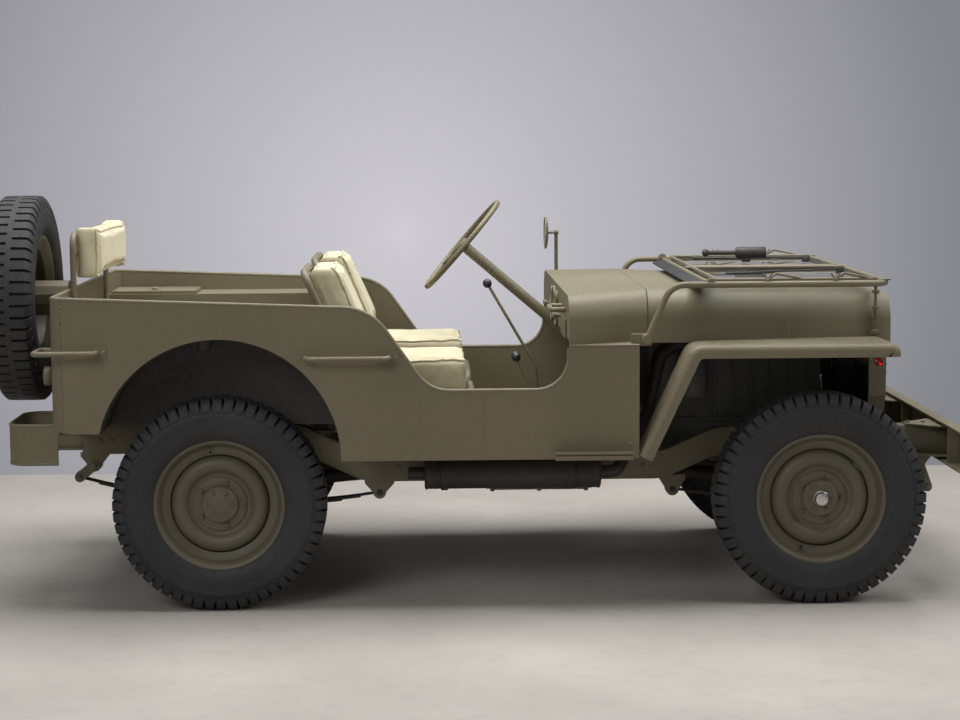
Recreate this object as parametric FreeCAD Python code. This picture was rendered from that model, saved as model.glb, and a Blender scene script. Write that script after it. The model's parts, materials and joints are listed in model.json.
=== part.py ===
import FreeCAD, Part
import math
import os

# A quarter-ton army 4x4 car with an open steel tub, a screen folded flat on
# its hood, five lugged tyres and no armament. Millimetres.
# X runs forward, Y to the left, Z up. Here X is counted from the rear axle,
# and every piece is shifted at the end so that the origin lies under the
# middle of the car, on the ground.

Vec = FreeCAD.Vector
X_AXIS = Vec(1, 0, 0)
Y_AXIS = Vec(0, 1, 0)
Z_AXIS = Vec(0, 0, 1)
LEFT = 1
RIGHT = -1
QUARTER_TURN_DEG = 90
HALF_TURN_DEG = 180
FULL_TURN_DEG = 360
SIDES = {"left": LEFT, "right": RIGHT}

# Driving dimensions
WHEELBASE = 2032.0
TRACK = 1244.0
TYRE_RADIUS = 360.0
TYRE_WIDTH = 158.0
BODY_WIDTH = 1460.0
SPARE_BACK_X = -786.0
PANEL = 12.0
SHEET = 8.0
RUN_GAP = 0.3
OVERRUN = 5.0
MOVE_GAP = 8.0

# Places along the front end, counted from the front axle
BUMPER_FACE_AHEAD = 513.0
HOOD_FRONT_AHEAD = 279.0
GRILLE_AHEAD = 268.0
FENDER_FRONT_AHEAD = 253.0
SCREEN_FRONT_AHEAD = 213.0
CROSS_FRONT_AHEAD = 208.0
FRONT_SPRING_AHEAD = 436.0
FRONT_SPRING_BEHIND = 468.0
FRONT_KICK_END_BEHIND = 312.0
SCREEN_SILL_BEHIND = 382.0
FENDER_TOP_BEHIND = 447.0
FRONT_KICK_START_BEHIND = 502.0
STEER_BOX_BEHIND = 510.0
BODY_FRONT_BEHIND = 622.0
COWL_FRONT_AHEAD_OF_BODY = 40.0
SCREEN_PIVOT_BEHIND_COWL = 14.0
FENDER_FOOT_BEHIND_BODY = 10.0
ENGINE_AHEAD_OF_BODY = 90.0

# Places in the cab, as shares of the front floor's length from its rear end
SEAT_REAR_SHARE = 0.005
SEAT_FOOT_SHARE = 0.039
DOOR_REAR_SHARE = 0.076
MUFFLER_REAR_SHARE = 0.258
DOOR_SLOPE_SHARE = 0.276
WHEEL_HUB_SHARE = 0.414
SEAT_FRONT_SHARE = 0.428
SKID_REAR_SHARE = 0.474
GEAR_KNOB_SHARE = 0.501
TRANSFER_SHARE = 0.505
STEP_REAR_SHARE = 0.706
GEAR_FOOT_SHARE = 0.705
COWL_REAR_SHARE = 0.758
MIRROR_SHARE = 0.775
PEDAL_SHARE = 0.825
SKID_FRONT_SHARE = 0.876
MUFFLER_FRONT_SHARE = 0.887
STEP_FRONT_SHARE = 0.975

# Wheels and tyres
RIM_RADIUS = 222.0
RIM_WIDTH = 126.0
BEAD_RADIUS = 205.0
RIM_GAUGE = 6.0
SPINDLE_RADIUS = 25.0
HUB_CAP_REACH = 80.0
HUB_CAP_RADIUS = 34.0
BOLT_RING_RADIUS = 92.0
HUB_CAP_GAUGE = 18.0
DISC_CREASE = 12.0
DISC_CREST_RADIUS = 153.0
DRUM_RADIUS = 130.0
DRUM_INNER_Y = 34.0
TREAD_DEPTH = 13.0
TREAD_EDGE_IN = 19.0
RIB_HALF = 9.0
BEAD_SHARE = 0.40
LIP_SEAT_SHARE = 0.80
GROOVE_SHARE = 0.42
WELL_DEPTH = 18.0
WELL_FRONT_SHARE = 0.26
WELL_BACK_SHARE = 0.48
DISC_CREST_SHARE = 0.70
DISC_RECESS_SHARE = 0.52
BOLT_RING_SHARE = 0.74
DRUM_FACE_SHARE = 0.46
SPARE_DISC_SHARE = 0.58
SPARE_HOLE_RADIUS = 46.0
SPARE_Y = -240.0
SPARE_Z = 1030.0
SHOULDER_DROP = 25.0
SHOULDER_IN = 5.5
SIDEWALL_DROP = 85.0
LUG_COUNT = 20
WHEEL_SECTORS = 20
AXLE_SECTORS = 12
RING_SECTORS = 12
BALL_SECTORS = 8
SPOKE_COUNT = 3

# Rounds are made of flats: how many for a rod up to each radius, and the turn of each step in a bend
ROUND_LIMITS = (10.0, 40.0, 60.0, 150.0)
SIDE_COUNTS = (6, 8, 12, 16)
ARCH_SIDE_COUNT = 48
LEAST_STEP_COUNT = 2
WIDE_ROUND = 50.0
WIDE_STEP_DEG = 15.0
SMALL_STEP_DEG = 40.0

# Frame
RAIL_OUTER_Y = 371.0
RAIL_WIDTH = 52.0
RAIL_DEPTH = 100.0
RAIL_GAUGE = 8.0
RAIL_LOW_Z = 383.0
RAIL_REAR_Z = 490.0
RAIL_FRONT_Z = 466.0
RAIL_REAR_X = -500.0
REAR_KICK_END_X = 250.0
REAR_KICK_START_X = 480.0
CROSS_DEPTH = 70.0
CROSS_LENGTH = 60.0
CROSS_REAR_X = 290.0

# Bumpers and tow hook
BUMPER_HALF_WIDTH = 700.0
BUMPER_LOW_Z = 446.0
BUMPER_HEIGHT = 140.0
BUMPER_DEPTH = 50.0
BUMPER_GAUGE = 8.0
REAR_BUMPER_LOW_Z = 500.0
REAR_BUMPER_HEIGHT = 130.0
REAR_BUMPER_INNER_Y = 300.0
REAR_BUMPER_OUTER_Y = 640.0
REAR_BUMPER_X = -712.0
REAR_BUMPER_GAUGE = 16.0
REAR_BUMPER_ARM_HEIGHT = 78.0
HOOK_RADIUS = 40.0
HOOK_BAR = 12.0
HOOK_STEM_RADIUS = 18.0

# Springs and axles
SPRING_Y = 345.0
SPRING_WIDTH = 40.0
SPRING_LEAF = 11.0
SPRING_LEAVES = 3
SPRING_EYE_RADIUS = 24.0
REAR_SPRING_REAR_X = -515.0
REAR_SPRING_FRONT_X = 532.0
SPRING_EYE_Z = 345.0
REAR_SPRING_EYE_Z = 410.0
AXLE_TUBE_RADIUS = 38.0
DIFF_RADIUS = 125.0
DIFF_WIDTH = 170.0
DIFF_Y = -185.0
DIFF_SIDE_RADIUS = 62.5
NOSE_RADIUS = 50.0
NOSE_REACH = 187.5
KINGPIN_INSIDE_WHEEL = 92.0
KNUCKLE_RADIUS = 58.0
KNUCKLE_HEIGHT = 170.0
YOKE_RADIUS = 84.0
YOKE_MOUTH = 53.8
YOKE_SHARES = ((0.6, 0.8), (0.9, 0.44))
NECK_RADIUS = 46.4
LINK_BAR_RADIUS = 9.6
SPRING_ROLL_RADIUS = 19.2
SPINDLE_BEYOND_WHEEL = 50.0
BACKPLATE_RADIUS = 122.0
BACKPLATE_INSIDE_WHEEL = 50.0
BACKPLATE_GAUGE = 8.0
STEER_ARM = 165.0
STEER_ARM_WIDTH = 36.0
STEER_ARM_GAUGE = 16.0
STEER_ARM_Z = 402.0
BELL_CRANK_Y = 60.0
TIE_ROD_RADIUS = 12.0
DROP_ARM_GAUGE = 16.0
SHAFT_RADIUS = 25.0
SHAFT_END_RADIUS = 37.5
SHAFT_BALL_RADIUS = 32.5
SHAFT_END_LENGTH = 50.0

# Power unit
ENGINE_LENGTH = 620.0
ENGINE_WIDTH = 330.0
ENGINE_LOW_Z = 505.0
ENGINE_HEIGHT = 480.0
GEARBOX_WIDTH = 220.0
TRANSFER_LENGTH = 200.0
TRANSFER_WIDTH = 425.0
TRANSFER_HEIGHT = 160.0
TRANSFER_OUT = 80.0
SHAFT_IN_CASE_Z = 64.0
BELL_LENGTH = 186.0
BELL_LOW = 66.0
RADIATOR_DEPTH = 55.0
RADIATOR_WIDTH = 400.0
RADIATOR_LOW_Z = 560.0
RADIATOR_HEIGHT = 430.0

# Exhaust
MUFFLER_RADIUS = 57.0
MUFFLER_Y = -470.0
MUFFLER_Z = 428.0
EXHAUST_RADIUS = 22.0

# Tub
TUB_REAR_X = -545.0
TUB_TOP_REAR_Z = 1062.0
TUB_TOP_FRONT_Z = 1022.0
TUB_LOW_REAR_Z = 612.0
BODY_LOW_Z = 512.0
SILL_Z = 745.0
COWL_SIDE_Z = 888.0
DOOR_TOP_ROUND = 180.0
DOOR_REAR_ROUND = 130.0
DOOR_FRONT_ROUND = 110.0
ARCH_X = 7.0
ARCH_Z = 518.0
ARCH_RADIUS = 406.0
TUB_CORNER_ROUND = 60.0
FLOOR_Z = 532.0
REAR_FLOOR_Z = 620.0
REAR_FLOOR_FRONT_X = 440.0
WHEELHOUSE_OFF_TYRE = 43.0
WHEELHOUSE_TOP_Z = 984.0
WHEELHOUSE_FRONT_X = 300.0
LID_REAR_X = -520.0
LID_FRONT_X = -190.0
LID_IN_FROM_SIDE = 36.0
LID_GAUGE = 10.0
LID_RIM = 22.0

# Cowl, hood and grille
COWL_TOP_Z = 1056.0
COWL_FRONT_TOP_Z = 1068.0
COWL_ROUND = 80.0
HOOD_IN_FROM_BODY = 126.0
HOOD_FRONT_HALF = 455.0
HOOD_REAR_LOW_Z = 888.0
HOOD_FRONT_LOW_Z = 868.0
HOOD_REAR_TOP_Z = 1067.0
HOOD_FRONT_TOP_Z = 1036.0
HOOD_ROUND = 95.0
GRILLE_GAUGE = 10.0
GRILLE_RETURN = 60.0
GRILLE_FOOT_IN = 52.0
GRILLE_FOOT_Z = 680.0
SLOT_COUNT = 9
SLOT_WIDTH = 28.0
SLOT_ROUND = 12.6
SLOT_PITCH = 48.0
SLOT_LOW_Z = 640.0
SLOT_TOP_Z = 965.0
HEADLAMP_Y = 318.0
HEADLAMP_Z = 850.0
HEADLAMP_RADIUS = 84.0
HEADLAMP_DEPTH = 90.0
DASH_DROP = 20.0
MARKER_RADIUS = 32.0
MARKER_DEPTH = 30.0
MARKER_Z = 728.0

# Fenders
FENDER_OUT_FROM_BODY = 20.0
FENDER_TOP_Z = 892.0
FENDER_LIP_Z = 848.0
FENDER_GAUGE = 8.0
FENDER_FOOT_Z = 500.0
FENDER_REAR_ROUND = 60.0
FENDER_FRONT_ROUND = 36.0

# Seats
SEAT_Y = 345.0
SEAT_WIDTH = 450.0
CUSHION_LOW_Z = 716.0
CUSHION_THICK = 110.0
BACK_LOW_Z = 850.0
BACK_TOP_Z = 1152.0
BACK_THICK = 85.0
BACK_ROUND = 25.5
BACK_REAR_ROUND = 17.0
BACK_BAR_DROP = 21.25
BACK_LEAN_DEG = 24.0
SEAT_TUBE = 13.0
HOOP_BEND = 50.0
LEG_BEND = 26.0
RUNNER_DROP = 26.0
RUNNER_RADIUS = 10.4
REAR_SEAT_GAP = 103.0
REAR_CUSHION_REAR_X = -440.0
REAR_CUSHION_FRONT_X = -40.0
REAR_CUSHION_LOW_Z = 800.0
REAR_CUSHION_THICK = 100.0
REAR_BACK_X = -510.0
REAR_BACK_THICK = 66.0
REAR_BACK_LOW_Z = 1100.0
REAR_BACK_TOP_Z = 1286.0
REAR_SEAT_TUBE = 14.0

# Steering and controls
WHEEL_HUB_Z = 1176.0
COLUMN_Y = 340.0
COLUMN_RADIUS = 20.0
HAND_WHEEL_RADIUS = 208.0
HAND_WHEEL_BAR = 10.0
HAND_WHEEL_HUB_RADIUS = 28.0
SPOKE_RADIUS = 5.0
STEER_BOX_RADIUS = 62.0
STEER_BOX_WIDTH = 70.0
GEAR_KNOB_Z = 1051.0
LEVER_RADIUS = 9.0
KNOB_RADIUS = 17.0
PEDAL_Z = 640.0
BOOT_RADIUS = 30.0
LEVER_PITCH = 63.0
PEDAL_PITCH = 102.0
PEDAL_HALF = 34.0
PEDAL_GAUGE = 14.0
PEDALS_RIGHT_OF_COLUMN = 51.0

# Screen, folded forward on the hood
SCREEN_PIVOT_Z = 912.0
SCREEN_IN_FROM_SIDE = 5.0
SCREEN_FLAT_Z = 1092.0
SCREEN_TUBE = 11.0
SCREEN_BEND = 70.0
SCREEN_EYE_RADIUS = 17.0
EAR_LENGTH = 51.0
SCREEN_ARM_SHARE = 0.45
SILL_RADIUS = 8.8
GLASS_GAUGE = 8.0

# Fittings
HANDLE_BAR = 9.0
HANDLE_REACH = 57.0
HANDLE_BEND = 18.0
CORNER_HANDLE_END_IN = 85.5
HANDLE_FRONT_X = 575.0
HANDLE_REAR_X = 300.0
HANDLE_Z = 860.0
CORNER_HANDLE_X = -390.0
CORNER_HANDLE_Z = 885.0
STEP_Z = 530.0
STEP_GAUGE = 14.0
MIRROR_IN_FROM_SIDE = 14.0
MIRROR_Z = 1200.0
MIRROR_RADIUS = 64.0
MIRROR_GAUGE = 14.0
MIRROR_BAR = 7.2
MIRROR_POST_AHEAD = 34.0
MIRROR_FOOT_LENGTH = 34.0
MIRROR_FOOT_HALF = 11.5
TAIL_LAMP_IN_FROM_SIDE = 80.0
TAIL_LAMP_Z = 800.0
CARRIER_PLATE = 150.0
CARRIER_DROP = 180.0
CARRIER_RISE = 22.5
CARRIER_STEM_RADIUS = 60.0

# Derived sizes
BODY_HALF = BODY_WIDTH / 2
WHEEL_Y = TRACK / 2
AXLE_Z = TYRE_RADIUS
KINGPIN_Y = WHEEL_Y - KINGPIN_INSIDE_WHEEL
BACKPLATE_Y = WHEEL_Y - BACKPLATE_INSIDE_WHEEL
SPINDLE_END_Y = WHEEL_Y + SPINDLE_BEYOND_WHEEL
WHEELHOUSE_INNER_Y = WHEEL_Y - TYRE_WIDTH / 2 - WHEELHOUSE_OFF_TYRE
REAR_SEAT_HALF = WHEELHOUSE_INNER_Y - PANEL - REAR_SEAT_GAP
LID_OUTER_Y = BODY_HALF - LID_IN_FROM_SIDE
FENDER_OUTER_Y = BODY_HALF + FENDER_OUT_FROM_BODY
SCREEN_HALF = BODY_HALF - SCREEN_IN_FROM_SIDE
HOOD_REAR_HALF = BODY_HALF - HOOD_IN_FROM_BODY
MIRROR_Y = BODY_HALF - MIRROR_IN_FROM_SIDE
TAIL_LAMP_Y = BODY_HALF - TAIL_LAMP_IN_FROM_SIDE

BUMPER_FACE_X = WHEELBASE + BUMPER_FACE_AHEAD
MID_X = (BUMPER_FACE_X + SPARE_BACK_X) / 2
SPARE_X = SPARE_BACK_X + TYRE_WIDTH / 2
RAIL_FRONT_X = BUMPER_FACE_X - BUMPER_GAUGE - RUN_GAP
RAIL_INNER_Y = RAIL_OUTER_Y - RAIL_WIDTH
FRONT_KICK_START_X = WHEELBASE - FRONT_KICK_START_BEHIND
FRONT_KICK_END_X = WHEELBASE - FRONT_KICK_END_BEHIND
CROSS_FRONT_X = WHEELBASE + CROSS_FRONT_AHEAD
FRONT_SPRING_REAR_X = WHEELBASE - FRONT_SPRING_BEHIND
FRONT_SPRING_FRONT_X = WHEELBASE + FRONT_SPRING_AHEAD
HOOD_FRONT_X = WHEELBASE + HOOD_FRONT_AHEAD
GRILLE_X = WHEELBASE + GRILLE_AHEAD
FENDER_FRONT_X = WHEELBASE + FENDER_FRONT_AHEAD
FENDER_REAR_TOP_X = WHEELBASE - FENDER_TOP_BEHIND
BODY_FRONT_X = WHEELBASE - BODY_FRONT_BEHIND
FENDER_FOOT_X = BODY_FRONT_X - FENDER_FOOT_BEHIND_BODY
ENGINE_X = BODY_FRONT_X + ENGINE_AHEAD_OF_BODY
COWL_FRONT_X = BODY_FRONT_X + COWL_FRONT_AHEAD_OF_BODY
HOOD_REAR_X = COWL_FRONT_X + RUN_GAP
SCREEN_PIVOT_X = COWL_FRONT_X - SCREEN_PIVOT_BEHIND_COWL
SCREEN_SILL_X = WHEELBASE - SCREEN_SILL_BEHIND
SCREEN_FRONT_X = WHEELBASE + SCREEN_FRONT_AHEAD
RADIATOR_X = GRILLE_X - GRILLE_GAUGE - RUN_GAP - RADIATOR_DEPTH
GRILLE_LOW_Z = RAIL_FRONT_Z + RAIL_DEPTH + RUN_GAP


def cab_x(share):
    return REAR_FLOOR_FRONT_X + (BODY_FRONT_X - REAR_FLOOR_FRONT_X) * share


SEAT_REAR_X = cab_x(SEAT_REAR_SHARE)
SEAT_FOOT_X = cab_x(SEAT_FOOT_SHARE)
SEAT_FRONT_X = cab_x(SEAT_FRONT_SHARE)
BACK_BAR_Z = BACK_TOP_Z - BACK_BAR_DROP
DOOR_REAR_X = cab_x(DOOR_REAR_SHARE)
DOOR_SLOPE_END_X = cab_x(DOOR_SLOPE_SHARE)
COWL_REAR_X = cab_x(COWL_REAR_SHARE)
MIRROR_X = cab_x(MIRROR_SHARE)
STEP_REAR_X = cab_x(STEP_REAR_SHARE)
STEP_FRONT_X = cab_x(STEP_FRONT_SHARE)
MUFFLER_REAR_X = cab_x(MUFFLER_REAR_SHARE)
MUFFLER_FRONT_X = cab_x(MUFFLER_FRONT_SHARE)
SKID_REAR_X = cab_x(SKID_REAR_SHARE)
SKID_FRONT_X = cab_x(SKID_FRONT_SHARE)
TRANSFER_X = cab_x(TRANSFER_SHARE)
GEAR_KNOB_X = cab_x(GEAR_KNOB_SHARE)
GEAR_FOOT_X = cab_x(GEAR_FOOT_SHARE)
PEDAL_X = cab_x(PEDAL_SHARE)

ARM_TOP_Z = STEER_ARM_Z + STEER_ARM_GAUGE
DRAG_LINK_Z = ARM_TOP_Z + RUN_GAP + TIE_ROD_RADIUS
DRAG_LINK_Y = BELL_CRANK_Y + STEER_ARM
STEER_BOX_X = WHEELBASE - STEER_BOX_BEHIND
STEER_BOX_Z = DRAG_LINK_Z + STEER_ARM
WHEEL_HUB_X = cab_x(WHEEL_HUB_SHARE)
COLUMN_RUN = Vec(STEER_BOX_X - WHEEL_HUB_X, 0, STEER_BOX_Z - WHEEL_HUB_Z)
COLUMN_LENGTH = COLUMN_RUN.Length
COLUMN_RAKE_DEG = math.degrees(math.atan2(-COLUMN_RUN.z, COLUMN_RUN.x))


def save(node, shape):
    shape = shape.copy()
    shape.translate(Vec(-MID_X, 0, 0))
    shape.exportStep("parts/" + node + ".step")


def mirrored(shape):
    return shape.mirror(Vec(0, 0, 0), Y_AXIS)


def both_sides(shape):
    return Part.makeCompound([shape, mirrored(shape)])


def on_side(shape, side):
    # Shapes are drawn on the left, and mirrored for the right.
    return shape if side == LEFT else mirrored(shape)


def fused(shapes):
    first = shapes[0]
    rest = shapes[1:]
    return first.fuse(rest).removeSplitter() if rest else first


def box(low, high):
    size = Vec(*high) - Vec(*low)
    return Part.makeBox(size.x, size.y, size.z, Vec(*low))


def flat_face(corners):
    return Part.Face(Part.makePolygon(corners + corners[:1]))


def skinned(rings):
    # A closed solid through rings of corners. Matching edges are parallel, so each side is flat.
    faces = [flat_face(ring) for ring in (rings[0], rings[-1])]
    for near, far in zip(rings, rings[1:]):
        for i in range(len(near)):
            faces.append(flat_face([near[i - 1], near[i], far[i], far[i - 1]]))
    return solid_of(faces)


def solid_of(faces):
    shell = Part.makeShell(faces)
    shell.sewShape()
    solid = Part.Solid(shell)
    if solid.Volume < 0:
        solid.reverse()
    return solid


def side_count(radius):
    # How many flats stand in for a round of this size.
    for limit, count in zip(ROUND_LIMITS, SIDE_COUNTS):
        if radius <= limit:
            return count
    return ARCH_SIDE_COUNT


def corner_radius(radius):
    # A rod's flats lie at its radius, and its corners a little further out.
    return radius / math.cos(math.pi / side_count(radius))


def polygon(centre, direction, radius):
    # Corners about a line, with flats that face up, down and to both sides.
    count = side_count(radius)
    steep = abs(direction.z) > max(abs(direction.x), abs(direction.y))
    across = direction.cross(X_AXIS if steep else Z_AXIS).normalize()
    up = across.cross(direction)
    reach = corner_radius(radius)
    corners = []
    for k in range(count):
        turn = math.pi * (2 * k + 1) / count
        corners.append(centre + across * (reach * math.cos(turn)) + up * (reach * math.sin(turn)))
    return corners


def tube(path, radius):
    # A rod with flat sides, mitred at each point of its path.
    run = (path[1] - path[0]).normalize()
    rings = [polygon(path[0], run, radius)]
    for i in range(1, len(path)):
        ahead = run if i == len(path) - 1 else (path[i + 1] - path[i]).normalize()
        mitre = run + ahead
        share = run.dot(mitre)
        rings.append([p + run * ((path[i] - p).dot(mitre) / share) for p in rings[-1]])
        run = ahead
    return skinned(rings)


def rod(start, end, radius):
    return tube([Vec(*start), Vec(*end)], radius)


def ball(centre, radius):
    half = radius / math.sqrt(2)
    profile = [(0, -radius), (half, -half), (radius, 0), (half, half), (0, radius)]
    return faceted_ring(profile, BALL_SECTORS, centre, LEFT)


def bend_points(before, here, after, radius):
    # Points along the round that joins two straight runs.
    back = (before - here).normalize()
    ahead = (after - here).normalize()
    half = back.getAngle(ahead) / 2
    reach = radius / math.tan(half)
    centre = here + (back + ahead).normalize() * (radius / math.sin(half))
    first = here + back * reach - centre
    last = here + ahead * reach - centre
    turn = HALF_TURN_DEG - math.degrees(half) * 2
    step = WIDE_STEP_DEG if radius > WIDE_ROUND else SMALL_STEP_DEG
    steps = max(LEAST_STEP_COUNT, round(turn / step))
    axis = first.cross(last)
    return [centre + FreeCAD.Rotation(axis, turn * k / steps).multVec(first) for k in range(steps + 1)]


def outline(corners):
    # Each corner is (u, v) or (u, v, round). Rounds become short straight runs.
    spots = [Vec(corner[0], corner[1], 0) for corner in corners]
    points = []
    for i in range(len(corners)):
        if len(corners[i]) > 2:
            points += bend_points(spots[i - 1], spots[i], spots[(i + 1) % len(spots)], corners[i][2])
        else:
            points.append(spots[i])
    return points


def side_plate(corners, y_low, y_high):
    # An outline given as (x, z), extruded across the car.
    points = [Vec(p.x, y_low, p.y) for p in outline(corners)]
    return flat_face(points).extrude(Vec(0, y_high - y_low, 0))


def plan_plate(corners, z_low, z_high):
    # An outline given as (x, y), extruded upwards.
    points = [Vec(p.x, p.y, z_low) for p in outline(corners)]
    return flat_face(points).extrude(Vec(0, 0, z_high - z_low))


def front_ring(corners, x):
    # An outline given as (y, z), standing at x.
    return [Vec(x, p.x, p.y) for p in outline(corners)]


def front_plate(corners, x_low, x_high):
    return flat_face(front_ring(corners, x_low)).extrude(Vec(x_high - x_low, 0, 0))


def ring_point(k, sectors, side, spot):
    # Where a profile's spot, as (radius, offset), comes after k of the ring's sectors.
    turn = 2 * math.pi * k / sectors - math.pi / 2
    radius, offset = spot
    return Vec(radius * math.cos(turn), side * offset, radius * math.sin(turn))


def faceted_ring(profile, sectors, centre, outward):
    # A turned piece about a line along Y, made of flat facets. The profile
    # is a closed loop of (radius, offset), and a radius of zero is a tip.
    faces = []
    for k in range(sectors):
        for i in range(len(profile)):
            near, far = profile[i - 1], profile[i]
            if near[0] == 0 and far[0] == 0:
                continue
            corners = [ring_point(k, sectors, outward, near), ring_point(k, sectors, outward, far)]
            if far[0] > 0:
                corners.append(ring_point(k + 1, sectors, outward, far))
            if near[0] > 0:
                corners.append(ring_point(k + 1, sectors, outward, near))
            faces.append(flat_face(corners))
    solid = solid_of(faces)
    solid.translate(Vec(*centre))
    return solid


def round_ring(radius, bar, sectors, centre):
    # A closed ring of round bar about a line along Y.
    profile = []
    for k in range(side_count(bar)):
        turn = 2 * math.pi * k / side_count(bar)
        profile.append((radius + bar * math.cos(turn), bar * math.sin(turn)))
    return faceted_ring(profile, sectors, centre, LEFT)


def bent_tube(points, radius, bend):
    # A tube along straight runs joined by rounds.
    spots = [Vec(*p) for p in points]
    path = [spots[0]]
    for i in range(1, len(spots) - 1):
        path += bend_points(spots[i - 1], spots[i], spots[i + 1], bend)
    return tube(path + [spots[-1]], radius)


# Wheels


def tyre(centre, outward):
    # Lugs and grooves take turns on each side of a centre rib, and the two sides are staggered.
    sectors = LUG_COUNT * 2
    half = TYRE_WIDTH / 2
    bead = ((BEAD_RADIUS + RUN_GAP) / math.cos(math.pi / sectors), RIM_WIDTH * BEAD_SHARE)
    wall = (TYRE_RADIUS - SIDEWALL_DROP, half)
    shoulder = (TYRE_RADIUS - SHOULDER_DROP, half - SHOULDER_IN)
    edge = (TYRE_RADIUS, half - TREAD_EDGE_IN)
    crown = (TYRE_RADIUS, RIB_HALF)
    root = (TYRE_RADIUS - TREAD_DEPTH, RIB_HALF)

    def strip(k, side, near, far):
        # One sector's flat between two spots of the profile, each (radius, offset).
        turns = (k, k + 1, k + 1, k)
        return [ring_point(turn, sectors, side, spot) for turn, spot in zip(turns, (near, near, far, far))]

    def bridge(k, spot):
        # One sector's flat from one side of the tyre to the other.
        near = [ring_point(turn, sectors, LEFT, spot) for turn in (k, k + 1)]
        return near + [ring_point(turn, sectors, RIGHT, spot) for turn in (k + 1, k)]

    faces = []
    for k in range(sectors):
        faces += [bridge(k, bead), bridge(k, crown)]
        for side in (LEFT, RIGHT):
            raised = (k % 2 == 0) == (side == LEFT)
            profile = [bead, wall, shoulder] + ([edge] if raised else [root]) + [crown]
            faces += [strip(k, side, near, far) for near, far in zip(profile, profile[1:])]
            faces.append([ring_point(k, sectors, side, spot) for spot in (shoulder, edge, crown, root)])
    solid = solid_of([flat_face(corners) for corners in faces])
    if outward == RIGHT:
        solid = mirrored(solid)
    solid.translate(Vec(*centre))
    return solid


def rim_profile():
    # The dished disc's face, the rim's two lips and the well between them.
    lip = RIM_WIDTH / 2
    well = BEAD_RADIUS - WELL_DEPTH
    return [
        (BOLT_RING_RADIUS, lip * BOLT_RING_SHARE),
        (BOLT_RING_RADIUS + DISC_CREASE, lip * DISC_RECESS_SHARE),
        (DISC_CREST_RADIUS, lip * DISC_CREST_SHARE),
        (well, lip * GROOVE_SHARE),
        (RIM_RADIUS, lip),
        (BEAD_RADIUS, lip * LIP_SEAT_SHARE),
        (BEAD_RADIUS, -lip * LIP_SEAT_SHARE),
        (RIM_RADIUS, -lip),
        (well, -lip * WELL_BACK_SHARE),
        (well, lip * WELL_FRONT_SHARE),
    ]


def wheel_profile(bore):
    lip = RIM_WIDTH / 2
    bore_end = HUB_CAP_REACH - HUB_CAP_GAUGE
    return [
        (0, HUB_CAP_REACH),
        (HUB_CAP_RADIUS, HUB_CAP_REACH - RIM_GAUGE),
        (HUB_CAP_RADIUS, lip * LIP_SEAT_SHARE),
    ] + rim_profile() + [
        (DRUM_RADIUS, lip * DRUM_FACE_SHARE),
        (DRUM_RADIUS, -DRUM_INNER_Y),
        (bore, -DRUM_INNER_Y),
        (bore, bore_end),
        (0, bore_end),
    ]


def road_wheel(x, side):
    # The bore is cut for the facets' inner radius, so that the spindle clears it.
    bore = (corner_radius(SPINDLE_RADIUS) + RUN_GAP) / math.cos(math.pi / WHEEL_SECTORS)
    return faceted_ring(wheel_profile(bore), WHEEL_SECTORS, (x, side * WHEEL_Y, AXLE_Z), side)


def turned_to_back(shape):
    # The spare hangs on the rear panel, its outer face to the rear.
    shape = shape.copy()
    shape.rotate(Vec(0, 0, 0), Z_AXIS, QUARTER_TURN_DEG)
    shape.translate(Vec(SPARE_X, SPARE_Y, SPARE_Z))
    return shape


def spare_wheel():
    face = RIM_WIDTH / 2 * BOLT_RING_SHARE
    back = RIM_WIDTH / 2 * SPARE_DISC_SHARE
    hole = SPARE_HOLE_RADIUS
    profile = [(hole, face)] + rim_profile() + [(BOLT_RING_RADIUS, back), (hole, back)]
    return turned_to_back(faceted_ring(profile, WHEEL_SECTORS, (0, 0, 0), LEFT))


def spare_tyre():
    return turned_to_back(tyre((0, 0, 0), LEFT))


# Frame


def rail_corners(inset):
    top = RAIL_DEPTH - inset
    return [
        (RAIL_REAR_X + inset, RAIL_REAR_Z + inset),
        (REAR_KICK_END_X, RAIL_REAR_Z + inset),
        (REAR_KICK_START_X, RAIL_LOW_Z + inset),
        (FRONT_KICK_START_X, RAIL_LOW_Z + inset),
        (FRONT_KICK_END_X, RAIL_FRONT_Z + inset),
        (RAIL_FRONT_X - inset, RAIL_FRONT_Z + inset),
        (RAIL_FRONT_X - inset, RAIL_FRONT_Z + top),
        (FRONT_KICK_END_X, RAIL_FRONT_Z + top),
        (FRONT_KICK_START_X, RAIL_LOW_Z + top),
        (REAR_KICK_START_X, RAIL_LOW_Z + top),
        (REAR_KICK_END_X, RAIL_REAR_Z + top),
        (RAIL_REAR_X + inset, RAIL_REAR_Z + top),
    ]


def rail():
    # A channel, open to the middle of the car.
    outer = side_plate(rail_corners(0), RAIL_INNER_Y, RAIL_OUTER_Y)
    hollow = side_plate(rail_corners(RAIL_GAUGE), RAIL_INNER_Y - OVERRUN, RAIL_OUTER_Y - RAIL_GAUGE)
    return outer.cut(hollow)


def cross_member(x):
    inner = RAIL_OUTER_Y - RAIL_GAUGE
    low_z = rail_z(x) + (RAIL_DEPTH - CROSS_DEPTH) / 2
    return box((x, -inner, low_z), (x + CROSS_LENGTH, inner, low_z + CROSS_DEPTH))


def skid_plate():
    # It hangs under the gearbox, and its ends turn up to the rails.
    low_z = RAIL_LOW_Z - CROSS_DEPTH / 2
    plate = box((SKID_REAR_X, -RAIL_OUTER_Y, low_z), (SKID_FRONT_X, RAIL_OUTER_Y, low_z + RAIL_GAUGE))
    end = box((SKID_REAR_X, RAIL_INNER_Y, low_z), (SKID_FRONT_X, RAIL_OUTER_Y, RAIL_LOW_Z))
    return fused([plate, end, mirrored(end)])


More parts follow.
